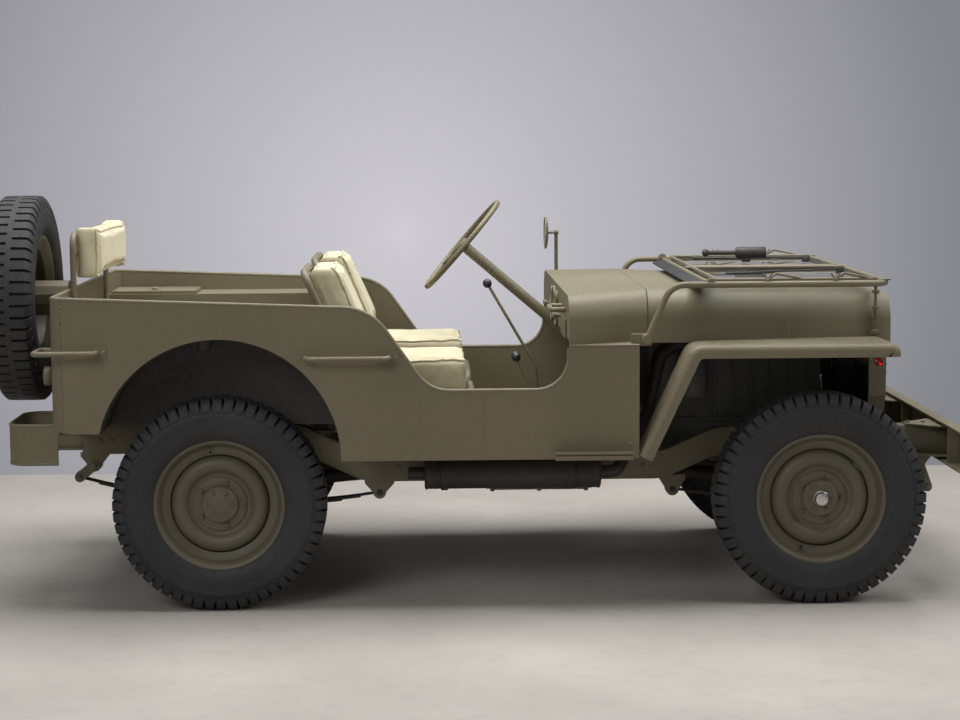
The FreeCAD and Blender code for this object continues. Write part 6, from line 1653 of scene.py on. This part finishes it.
def seat_frames():
    inner = SEAT_Y - SEAT_WIDTH / 2 + SEAT_TUBE
    outer = SEAT_Y + SEAT_WIDTH / 2 - SEAT_TUBE
    top_x = hoop_x(BACK_BAR_Z)
    for side, sign in SIDES.items():
        form = Form()
        hoop = [(SEAT_FOOT_X, inner, SEAT_BAR_Z), (top_x, inner, BACK_BAR_Z), (top_x, outer, BACK_BAR_Z),
                (SEAT_FOOT_X, outer, SEAT_BAR_Z)]
        form.bent(hoop, SEAT_TUBE, HOOP_BEND)
        for x in (SEAT_FOOT_X, SEAT_FRONT_X):
            legs = [(x, inner, FLOOR_Z), (x, inner, SEAT_BAR_Z), (x, outer, SEAT_BAR_Z), (x, outer, FLOOR_Z)]
            form.bent(legs, SEAT_TUBE, LEG_BEND)
            for y in (inner, outer):
                form.boss(SEAT_LEG_FOOT, (x, y, FLOOR_Z), Z_AXIS, 24)
        low_z = SEAT_BAR_Z - SEAT_TUBE * 2
        for y in (inner, outer):
            form.rod((SEAT_FOOT_X, y, low_z), (SEAT_FRONT_X, y, low_z), SEAT_TUBE * 0.8)
        piece("seat_tubes_" + side, form.on_side(sign), DRAB, replaces=["seat_" + side])
    form = Form()
    y, z, x, front_x = REAR_SEAT_Y, REAR_SEAT_BAR_Z, REAR_BACK_BAR_X, REAR_CUSHION_FRONT_X
    for sign in (LEFT, RIGHT):
        form.bent([(front_x, sign * y, REAR_FLOOR_Z), (front_x, sign * y, z), (x, sign * y, z)],
                  REAR_SEAT_TUBE, LEG_BEND)
    top_z = REAR_BACK_TOP_Z - REAR_POST_DROP
    form.bent([(x, -y, REAR_FLOOR_Z), (x, -y, top_z), (x, y, top_z), (x, y, REAR_FLOOR_Z)], REAR_POST_TUBE,
              REAR_POST_BEND)
    form.rod((front_x, -y, z), (front_x, y, z), REAR_SEAT_TUBE)
    for bar_z in (z, REAR_BACK_RAIL_Z):
        form.rod((x, -y, bar_z), (x, y, bar_z), REAR_POST_TUBE)
    piece("rear_seat_tubes", form, DRAB, replaces=["rear_seat"])


def column_point(distance):
    hub, gear = Vector(WHEEL_HUB), Vector(STEER_BOX)
    return hub + (gear - hub).normalized() * distance


def steering():
    hub = Vector(WHEEL_HUB)
    along = (hub - Vector(STEER_BOX)).normalized()
    ring = [(HAND_WHEEL_RADIUS + out, up) for out, up in around(18, HAND_WHEEL_BAR)]
    form = Form().turned(ring, hub, along, 96, looped=True)
    form.boss(HAND_WHEEL_HUB, hub, along, 36)
    across, up = across_and_up(along)
    for k in range(3):
        turn = 2 * math.pi * k / 3 + math.pi / 2
        out = across * math.cos(turn) + up * math.sin(turn)
        beside = along.cross(out)
        for shift in (-5, 5):
            spoke = hub + beside * shift
            form.tube([spoke + out * 20 - along * 8, spoke + out * 70 - along * 10,
                       spoke + out * (HAND_WHEEL_RADIUS - 4)], SPOKE_BAR, 12)
    piece("hand_wheel", form, DRAB, "steering_wheel", ["steering_wheel"])
    length = (hub - Vector(STEER_BOX)).length
    form = Form().tube([column_point(21), column_point(length)], COLUMN_RADIUS, 32)
    form.boss(STEER_BOX_DRUM, STEER_BOX, Y_AXIS, 48)
    piece("steering_tube", form, DRAB, replaces=["steering_column"])


def lever(form, knobs, y, top_x, top_z, bend_share):
    foot_x, foot_z = LEVER_FOOT_X, FLOOR_Z
    knee = (foot_x - (foot_x - top_x) * 0.12, y, foot_z + (top_z - foot_z) * bend_share)
    form.bent([(foot_x, y, foot_z), knee, (top_x, y, top_z)], 5.5, 60, 16)
    knobs.ball((top_x, y, top_z), 17.0)
    knobs.boss(LEVER_BOOT, (foot_x, y, foot_z), Z_AXIS, 32)


def controls():
    sticks, knobs = Form(), Form()
    lever(sticks, knobs, 0.0, LEVER_TOP_X, LEVER_TOP_Z, 0.42)
    for k in (1, 2):
        lever(sticks, knobs, -k * LEVER_PITCH, (LEVER_TOP_X + LEVER_FOOT_X) / 2,
              (LEVER_TOP_Z + FLOOR_Z) / 2, 0.3)
    x, z = cab_x(0.825), PEDAL_Z
    for k in (-1, 0, 1):
        y = PEDAL_Y + k * PEDAL_PITCH
        knobs.block((x, y - 32, z), (x + 9, y + 32, z + 66))
        for i in range(5):
            knobs.block((x - 3, y - 30, z + 6 + i * 13), (x + 1, y + 30, z + 11 + i * 13))
        sticks.bent([(x + 5, y, z + 34), (x + 60, y, z + 30), (BODY_FRONT_X - PANEL, y, z - 20)], 8.0, 20, 16)
    piece("lever_sticks", sticks, DRAB, replaces=["floor_levers"])
    piece("lever_knobs", knobs, BLACK)


def dials():
    form, faces, glass = Form(), Form(), Form()
    x = COWL_REAR_X - 1
    for y, z, radius in DIALS:
        spot = Vector((x, y, z))
        rim = [(radius - 3, -3), (radius + 3, -3), (radius + 5, 1), (radius + 4, 7), (radius - 1, 9),
               (radius - 3, 5)]
        form.turned(rim, spot, -X_AXIS, 40, looped=True)
        faces.boss([(radius - 2, 0), (radius - 2, 2)], spot, -X_AXIS, 40)
        for k in range(10):
            turn = math.pi * (k / 9 * 1.5 - 0.25)
            out = Vector((0, math.cos(turn), math.sin(turn)))
            mark = spot - X_AXIS * 2
            form.rod(mark + out * (radius * 0.72), mark + out * (radius * 0.86), 0.9, 6)
        form.tube([(x - 3, y, z), (x - 3, y + radius * 0.45, z + radius * 0.5)], 1.2, 8)
        glass.turned([(0, 5.5), (radius - 3, 5), (radius - 3, 4), (0, 4)], spot, -X_AXIS, 40)
    for y in (-330, -280, 210, 255):
        form.turned(DASH_SWITCH, (x, y, SWITCH_Z), -X_AXIS, 24)
    near, far, z = GRAB_NEAR_Y, GRAB_FAR_Y, GRAB_Z
    form.bent([(x, far, z), (x - 48, far, z), (x - 48, near, z), (x, near, z)], HANDLE_BAR, 20, 18)
    form.block((x - 4, -590, 905), (x, -370, 968))
    piece("dash_trim", form, DRAB)
    piece("dial_faces", faces, BLACK)
    piece("dial_glass", glass, GLASS)


def floor_ribs():
    # Pressed ribs along the front floor and the rear one.
    form = Form()
    for count, pitch, rear_x, front_x, z in (
            (7, 200, REAR_FLOOR_FRONT_X + 40, cab_x(0.66), FLOOR_Z),
            (5, 180, TUB_REAR_X + 60, REAR_FLOOR_FRONT_X - 40, REAR_FLOOR_Z)):
        for k in range(count):
            y = (k - (count - 1) / 2) * pitch
            form.bent([(rear_x, y, z + 1), (front_x, y, z + 1)], RIB_BAR, 1, 10)
    piece("floor_ribs", form, DRAB)


def arch_shade_sheets():
    # A dark sheet inside each rear arch, its dark colour painted shade on the wheel housing, with the rubber
    # stop above the axle.
    start = math.asin((TUB_LOW_REAR_Z - ARCH_Z) / ARCH_RADIUS)
    turns = [start + (math.pi - start * 2) * k / ARCH_STEPS for k in range(ARCH_STEPS + 1)]
    low_y, high_y = ARCH_WALL_Y, BODY_HALF - PANEL - 2
    for side, sign in SIDES.items():
        rings = []
        for turn in turns:
            out = Vector((math.cos(turn), 0, math.sin(turn)))
            centre = Vector((ARCH_X, 0, ARCH_Z))
            ring = [(high_y, 1), (low_y, 1), (low_y, 4), (high_y, 4)]
            rings.append([centre + out * (ARCH_RADIUS - inset) + Y_AXIS * y for y, inset in ring])
        form = Form().loft(rings)
        radius = ARCH_RADIUS - 3
        wall = [(ARCH_X + radius * math.cos(turn), ARCH_Z + radius * math.sin(turn)) for turn in turns]
        form.side_plate(flat(wall), low_y - 1, low_y + 2)
        form.turned(BUMP_STOP, (ARCH_X - 60, 560, ARCH_Z + ARCH_RADIUS - 8), -Z_AXIS, 28)
        # The dark finish on the arch sheet is painted shade; on the stop it is the rubber's own colour.
        piece("arch_shade_sheet_" + side, form.on_side(sign), DARK)


def bays():
    # A rolled rim and a catch for each tool lid.
    low_x, high_x, low_y, high_y = LID_REAR_X, LID_FRONT_X, LID_LOW_Y, LID_HIGH_Y
    z = LID_TOP_Z
    for side, sign in SIDES.items():
        form = Form()
        near, far = low_y + 8, high_y - 8
        rim = hoop_run(low_x + 40, low_x + 8, near, high_x - 8, far, 14)
        form.tube([(p.x, p.y, z) for p in rim], 4.0, 12)
        form.block((-380, low_y + 24, z - 1), (-330, low_y + 52, z + 5))
        form.boss(LID_KNOB, (-355, low_y + 38, z + 4), Z_AXIS, 20)
        piece("lid_trim_" + side, form.on_side(sign), DRAB, "tool_lid_" + side, bevel=0.8)


# Screen and fittings


def screen():
    y, z = SCREEN_HALF - SCREEN_TUBE, SCREEN_FLAT_Z
    arm_x = SCREEN_PIVOT_X + (SCREEN_FLAT_Z - SCREEN_PIVOT_Z) * 0.45
    half = [(SCREEN_PIVOT_X, y, SCREEN_PIVOT_Z), (arm_x, y, z), (SCREEN_FRONT_X, y, z)]
    form = Form().bent(half + [(x, -y, z) for x, y, z in reversed(half)], SCREEN_TUBE, SCREEN_BEND, 20)
    form.rod((SCREEN_SILL_X, -y, z), (SCREEN_SILL_X, y, z), SCREEN_TUBE * 0.8)
    for sign in (LEFT, RIGHT):
        form.boss(SCREEN_PIVOT_BOSS, (SCREEN_PIVOT_X, sign * y, SCREEN_PIVOT_Z), Y_AXIS, 32)
    piece("screen_tube", form, DRAB, "screen", ["screen_frame"])


def wiper_motor(form):
    # The wiper's motor with its hand knob, on a short foot.
    y, z = WIPER_MOTOR_Y, SCREEN_FLAT_Z + 44
    knob = (SCREEN_FRONT_X - 470, y, z)
    form.turned(WIPER_CASE, (SCREEN_FRONT_X - 240, y, z), -X_AXIS, 32)
    form.rod((SCREEN_FRONT_X - 350, y, z), knob, 9.0, 20)
    form.ball(knob, 15.0)
    form.block((SCREEN_FRONT_X - 330, y - 12, SCREEN_FLAT_Z + 8), (SCREEN_FRONT_X - 300, y + 12, z))


def screen_details():
    # Two inner frames, their stays with wing nuts, the wipers and the rubber along the sill.
    z = SCREEN_FLAT_Z
    form, dark = Form(), Form()
    x_low, x_high = SCREEN_SILL_X + 26, SCREEN_FRONT_X - 28
    for sign in (LEFT, RIGHT):
        near, far, stay_y = sign * PANE_NEAR_Y, sign * PANE_FAR_Y, sign * STAY_Y
        path = hoop_run(x_low + 80, x_low, near, x_high, far, 34)
        form.tube([(p.x, p.y, z + 12) for p in path], 6.5, 14)
        for share in STAY_SHARES:
            x = x_low + (x_high - x_low) * share
            form.bent([(x, stay_y, z + 14), (x + 30, sign * 690, z + 34), (x + 120, far, z + 16)], 4.2, 10,
                      12)
            form.boss(STAY_NUT, (x, stay_y, z + 10), Z_AXIS, 20)
            for wing in (-1, 1):
                form.tube([(x, stay_y, z + 20), (x + wing * 10, stay_y, z + 27),
                           (x + wing * 15, stay_y, z + 36)], 3.2, 10)
        for x in (SCREEN_SILL_X - 6, SCREEN_FRONT_X - 4):
            form.block((x - 16, far, z + 8), (x + 16, sign * 690, z + 13))
        arm_x = x_high - 60
        arm = [(arm_x, sign * 330, z + 26), (x_high - 130, sign * 360, z + 24),
               (x_low + 170, sign * 420, z + 22)]
        dark.bent(arm, 3.0, 30, 10)
        dark.tube([(x_low + 250, sign * 398, z + 19), (x_low + 60, sign * 450, z + 19)], 4.5, 10)
        dark.turned(WIPER_PIVOT, (arm_x, sign * 330, z + 8), Z_AXIS, 24)
        form.boss(SILL_NUT, (SCREEN_SILL_X, stay_y, z + 8), Y_AXIS, 24)
    form.rod((SCREEN_SILL_X, 0, z + 10), (SCREEN_FRONT_X, 0, z + 10), 7.0, 18)
    wiper_motor(dark)
    piece("screen_inner", form, DRAB, "screen")
    piece("screen_wipers", dark, DARK, "screen")
    x = SCREEN_SILL_X
    flap = [(x - 4, z - 4), (x - 20, z - 7), (x - 44, z - 16), (x - 46, z - 12), (x - 22, z - 2),
            (x - 4, z + 2)]
    strip = Form().side_plate(flat(flap), 60 - SCREEN_HALF, SCREEN_HALF - 60)
    piece("screen_seal", strip, RUBBER, "screen")


def handle(points, ends):
    # A bent bar with a bolted plate at each end.
    form = Form().bent(points, HANDLE_BAR, HANDLE_BAR * 2.4)
    for spot, along in ends:
        spot, along = Vector(spot), Vector(along)
        beside = Z_AXIS.cross(along)
        corners = [spot + beside * a + Z_AXIS * b for a, b in ((-34, -20), (34, -20), (34, 20), (-34, 20))]
        form.loft([corners, [p + along * 4 for p in corners]])
        for shift in (-25, 25):
            form.bolt(spot + beside * shift + along * 4, along, 6.0)
    return form


def body_handles():
    # One long handle behind each door, and one round each rear corner.
    y, z = BODY_HALF + HANDLE_REACH - HANDLE_BAR, SIDE_HANDLE_Z
    rear_x, front_x = SIDE_HANDLE_X
    form = handle([(rear_x, BODY_HALF, z), (rear_x, y, z), (front_x, y, z), (front_x, BODY_HALF, z)],
                  [((rear_x, BODY_HALF, z), Y_AXIS), ((front_x, BODY_HALF, z), Y_AXIS)])
    x, end_y, z = TUB_REAR_X - HANDLE_REACH + HANDLE_BAR, BODY_HALF - HANDLE_REACH * 1.5, CORNER_HANDLE_Z
    start, end = (CORNER_HANDLE_X, BODY_HALF, z), (TUB_REAR_X, end_y, z)
    form.join(handle([start, (CORNER_HANDLE_X, y, z), (x, y, z), (x, end_y, z), end],
                     [(start, Y_AXIS), (end, -X_AXIS)]))
    return form.mirrored()


def fittings():
    form = body_handles()
    bar, rim = HANDLE_BAR * 0.8, MIRROR_RADIUS
    x, y = MIRROR_X + MIRROR_ARM, BODY_HALF + bar * 1.6
    centre = (MIRROR_X, MIRROR_Y, MIRROR_Z)
    form.block((x - 17, BODY_HALF, 837), (x + 17, y + bar * 1.6, 871))
    form.rod((x, y, 860), (x, y, MIRROR_Z), bar)
    form.ball((x, y, MIRROR_Z), bar * 1.5)
    form.rod((x, y, MIRROR_Z), centre, bar * 0.7)
    form.turned([(0, 0), (rim * 0.5, 0), (rim * 0.93, -5), (rim, -9), (rim, -13), (rim * 0.96, -14.5),
                 (rim * 0.93, -12), (0, -10)], centre, X_AXIS, 48)
    piece("body_fittings", form, DRAB, replaces=["side_fittings"])
    piece("mirror_glass", Form().turned([(0, -11.5), (rim * 0.92, -12)], centre, X_AXIS, 48), MIRROR)
    form = Form()
    for sign in (LEFT, RIGHT):
        edge = sign * (BODY_HALF + HANDLE_REACH)
        form.block((STEP_REAR_X, sign * BODY_HALF, 530), (STEP_FRONT_X, edge, 536))
        form.block((STEP_REAR_X, edge, 516), (STEP_FRONT_X, edge - sign * 5, 544))
    piece("side_steps", form, DRAB, bevel=1.5)


# Cushions


def cushion_form(node_name, index):
    # The soft solid's own loose part, as the start of its cushion.
    work = bmesh.new()
    work.from_mesh(frame["nodes"][node_name].data)
    bmesh.ops.remove_doubles(work, verts=work.verts, dist=0.0002)
    work.verts.ensure_lookup_table()
    seen, islands = set(), []
    for vert in work.verts:
        if vert in seen:
            continue
        island, edge = [], [vert]
        seen.add(vert)
        while edge:
            here = edge.pop()
            island.append(here)
            for link in here.link_edges:
                other = link.other_vert(here)
                if other not in seen:
                    seen.add(other)
                    edge.append(other)
        islands.append(island)
    islands.sort(key=lambda verts: sum(v.co.z for v in verts) / len(verts))
    keep = set(islands[index])
    bmesh.ops.delete(work, geom=[v for v in work.verts if v not in keep], context="VERTS")
    middle = sum((v.co for v in work.verts), Vector()) / len(work.verts)
    for vert in work.verts:
        vert.co = middle + (vert.co - middle) * 0.965
    mesh = bpy.data.meshes.new("pad")
    work.to_mesh(mesh)
    work.free()
    return mesh


def pinned_shape(made, cap, start):
    # Keeps every point within a set distance of where it began.
    for vert, before in zip(made.data.vertices, start):
        move = vert.co - before
        if move.length > cap:
            vert.co = before + move.normalized() * cap


def cushion(name, node_name, index, replaces, lean_deg=0.0, flat_axis=2, cap=0.016):
    made = bpy.data.objects.new(name, cushion_form(node_name, index))
    bpy.context.scene.collection.objects.link(made)
    bpy.context.view_layer.objects.active = made
    voxel = made.modifiers.new("voxel", "REMESH")
    voxel.mode = "VOXEL"
    voxel.voxel_size = PAD_VOXEL * MM
    soften = made.modifiers.new("soften", "SMOOTH")
    soften.iterations = 6
    bake(made)
    start = [v.co.copy() for v in made.data.vertices]
    cloth = made.modifiers.new("cloth", "CLOTH")
    cloth.settings.use_pressure = True
    cloth.settings.uniform_pressure_force = 4.0
    cloth.settings.effector_weights.gravity = 0
    scene = bpy.context.scene
    for step in range(1, 21):
        scene.frame_set(step)
    bake(made)
    scene.frame_set(1)
    pinned_shape(made, cap, start)
    piping(made, name, lean_deg, flat_axis)
    for face in made.data.polygons:
        face.use_smooth = True
    made.modifiers.new("rounding", "SUBSURF").render_levels = 1
    made.data.materials.append(CANVAS)
    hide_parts(*replaces)
    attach(made, "chassis")
    return made


def welt_path(made, turn, corners):
    # Places on the finished surface, beside the straight lines from corner to corner.
    path = []
    for start, end in zip(corners, corners[1:]):
        steps = round((end - start).length / (WELT_STEP * MM))
        for k in range(steps):
            aim = turn @ (start + (end - start) * k / steps)
            place, normal = made.closest_point_on_mesh(aim)[1:3]
            spot = place + normal * (WELT_LIFT * MM)
            if not path or (spot - path[-1]).length > WELT_STEP * MM * WELT_GAP_SHARE:
                path.append(spot)
    return path + path[:1]


def piping(made, name, lean_deg, flat_axis):
    # A welt along the two borders of a cushion, laid on its finished surface.
    turn = Matrix.Rotation(math.radians(lean_deg), 3, "Y")
    local = [turn.inverted() @ v.co for v in made.data.vertices]
    low = Vector([min(p[i] for p in local) for i in range(3)])
    high = Vector([max(p[i] for p in local) for i in range(3)])
    others = [i for i in range(3) if i != flat_axis]
    form = Form()
    for level in (low[flat_axis], high[flat_axis]):
        corners = []
        for a, b in ((0, 0), (1, 0), (1, 1), (0, 1), (0, 0)):
            spot = Vector((0, 0, 0))
            spot[flat_axis] = level
            spot[others[0]] = (low, high)[a][others[0]]
            spot[others[1]] = (low, high)[b][others[1]]
            corners.append(spot)
        path = welt_path(made, turn, corners)
        welt = [Vector((p.x / MM + MID_X, p.y / MM, p.z / MM)) for p in path]
        form.tube(welt, WELT_RADIUS, 10)
    piece(name + "_piping", form, PIPING)


def bake(made):
    # The shape that the modifiers give becomes the mesh itself.
    ready = made.evaluated_get(bpy.context.evaluated_depsgraph_get())
    mesh = bpy.data.meshes.new_from_object(ready)
    made.modifiers.clear()
    made.data = mesh


def cushions():
    for side in SIDES:
        source = "cushions_" + side
        cushion("seat_pad_" + side, source, 0, [source])
        cushion("back_pad_" + side, source, 1, [source], -BACK_LEAN_DEG, 0)
    cushion("rear_seat_pad", "rear_cushions", 0, ["rear_cushions"])
    cushion("rear_back_pad", "rear_cushions", 1, ["rear_cushions"], 0.0, 0)


# Studio


def wall_colour(tree, away):
    # The lit wall: brightest behind the car's middle, dimmer to the sides and up.
    dot = node(tree, "ShaderNodeVectorMath", operation="DOT_PRODUCT")
    tree.links.new(away, dot.inputs[0])
    dot.inputs[1].default_value = WALL_GLOW_LINE
    level = node(tree, "ShaderNodeMath", operation="ABSOLUTE")
    tree.links.new(dot.outputs["Value"], level.inputs[0])
    angle = node(tree, "ShaderNodeMath", operation="ARCCOSINE", use_clamp=False)
    tree.links.new(level.outputs[0], angle.inputs[0])
    return blended(tree, mapped(tree, angle.outputs[0], 0.0, WALL_GLOW_ANGLE, 0.0, 1.0), WALL_LIGHT,
                   WALL_DARK)


def floor_finish():
    # Pale poured floor. Behind the car it gives way to the wall, for the camera alone.
    made, tree, shader, coords = start_material("floor_finish", Roughness=0.7)
    cloud = noise(tree, coords, 1.4, 6.0)
    fine = noise(tree, coords, 14.0, 6.0)
    base = blended(tree, mapped(tree, cloud, 0.3, 0.7, 0.0, 1.0), FLOOR_DARK, FLOOR_LIGHT)
    base = blended(tree, mapped(tree, fine, 0.52, 0.75, 0.0, 0.35), base, tuple(c * 0.8 for c in FLOOR_DARK))
    tree.links.new(base, shader.inputs["Base Color"])
    bumped(tree, shader, fine, 0.12, FLOOR_GRAIN)
    place = node(tree, "ShaderNodeSeparateXYZ")
    tree.links.new(coords, place.inputs[0])
    behind = mapped(tree, place.outputs["Y"], WALL_LINE_Y, WALL_LINE_Y + WALL_LINE_BLUR, 0.0, 1.0)
    share = times(tree, behind, node(tree, "ShaderNodeLightPath").outputs["Is Camera Ray"])
    glow = node(tree, "ShaderNodeEmission")
    tree.links.new(wall_colour(tree, node(tree, "ShaderNodeNewGeometry").outputs["Incoming"]),
                   glow.inputs["Color"])
    mix = node(tree, "ShaderNodeMixShader")
    tree.links.new(share, mix.inputs[0])
    tree.links.new(shader.outputs[0], mix.inputs[1])
    tree.links.new(glow.outputs[0], mix.inputs[2])
    tree.links.new(mix.outputs[0], tree.nodes["Material Output"].inputs["Surface"])
    return made


def studio():
    size = FLOOR_SIZE
    mesh = bpy.data.meshes.new("floor")
    mesh.from_pydata([(-size, -size, 0), (size, -size, 0), (size, size, 0), (-size, size, 0)], [],
                     [(0, 1, 2, 3)])
    floor = bpy.data.objects.new("floor", mesh)
    bpy.context.scene.collection.objects.link(floor)
    mesh.materials.append(floor_finish())
    world = bpy.data.worlds.new("studio")
    bpy.context.scene.world = world
    world.use_nodes = True
    tree = world.node_tree
    tree.nodes.clear()
    rays = node(tree, "ShaderNodeLightPath")
    seen = rays.outputs["Is Camera Ray"]
    for other in ("Is Glossy Ray", "Is Transmission Ray"):
        both = node(tree, "ShaderNodeMath", operation="MAXIMUM")
        tree.links.new(seen, both.inputs[0])
        tree.links.new(rays.outputs[other], both.inputs[1])
        seen = both.outputs[0]
    light = node(tree, "ShaderNodeBackground")
    light.inputs["Color"].default_value = (*WORLD_LIGHT, 1)
    light.inputs["Strength"].default_value = WORLD_LEVEL
    shown = node(tree, "ShaderNodeBackground")
    tree.links.new(wall_colour(tree, node(tree, "ShaderNodeTexCoord").outputs["Generated"]),
                   shown.inputs["Color"])
    mix = node(tree, "ShaderNodeMixShader")
    tree.links.new(seen, mix.inputs[0])
    tree.links.new(light.outputs[0], mix.inputs[1])
    tree.links.new(shown.outputs[0], mix.inputs[2])
    output = node(tree, "ShaderNodeOutputWorld")
    tree.links.new(mix.outputs[0], output.inputs[0])


def lamps():
    for name, place, target, size, power in (
            ("overhead", (0.0, 0.2, 4.6), (0.0, 0.1, 0.4), 4.8, 330.0),
            ("near", (-3.4, -6.0, 4.2), (-0.6, 0.0, 0.7), 3.6, 125.0),
            ("ahead", (4.6, -1.6, 3.4), (-0.4, 0.0, 0.9), 2.6, 60.0),
    ):
        data = bpy.data.lights.new(name, "AREA")
        data.shape = "RECTANGLE"
        data.size = size
        data.size_y = size * 0.7
        data.energy = power
        made = bpy.data.objects.new(name, data)
        bpy.context.scene.collection.objects.link(made)
        made.location = place
        made.rotation_euler = (Vector(target) - Vector(place)).to_track_quat("-Z", "Y").to_euler()


def camera():
    yaw, pitch, roll = (math.radians(a) for a in (CAMERA_YAW_DEG, CAMERA_PITCH_DEG, CAMERA_ROLL_DEG))
    forward = Vector((math.sin(yaw), math.cos(yaw), 0))
    right = Vector((math.cos(yaw), -math.sin(yaw), 0))
    ahead = forward * math.cos(pitch) - Z_AXIS * math.sin(pitch)
    up = forward * math.sin(pitch) + Z_AXIS * math.cos(pitch)
    across = right * math.cos(roll) + up * math.sin(roll)
    top = up * math.cos(roll) - right * math.sin(roll)
    data = bpy.data.cameras.new("camera")
    data.lens = CAMERA_LENS
    data.sensor_width = CAMERA_SENSOR
    data.sensor_fit = "HORIZONTAL"
    made = bpy.data.objects.new("camera", data)
    bpy.context.scene.collection.objects.link(made)
    turn = Matrix((across, top, -ahead)).transposed().to_4x4()
    made.matrix_world = Matrix.Translation(Vector(CAMERA_PLACE)) @ turn
    bpy.context.scene.camera = made
    bpy.context.scene.view_settings.view_transform = "Standard"


camera()
studio()
lamps()
dress_solids()
road_wheels()
spare()
rear_axle()
front_axle()
knuckles()
steering_links()
springs()
chassis()
shafts()
silencer()
tub()
cowl()
hood()
fenders()
front_bumper()
rear_bumpers()
tow_ring()
front_lamps()
grille_trim()
radiator()
engine()
latches()
seat_frames()
steering()
controls()
dials()
floor_ribs()
arch_shade_sheets()
bays()
screen()
screen_details()
fittings()
cushions()
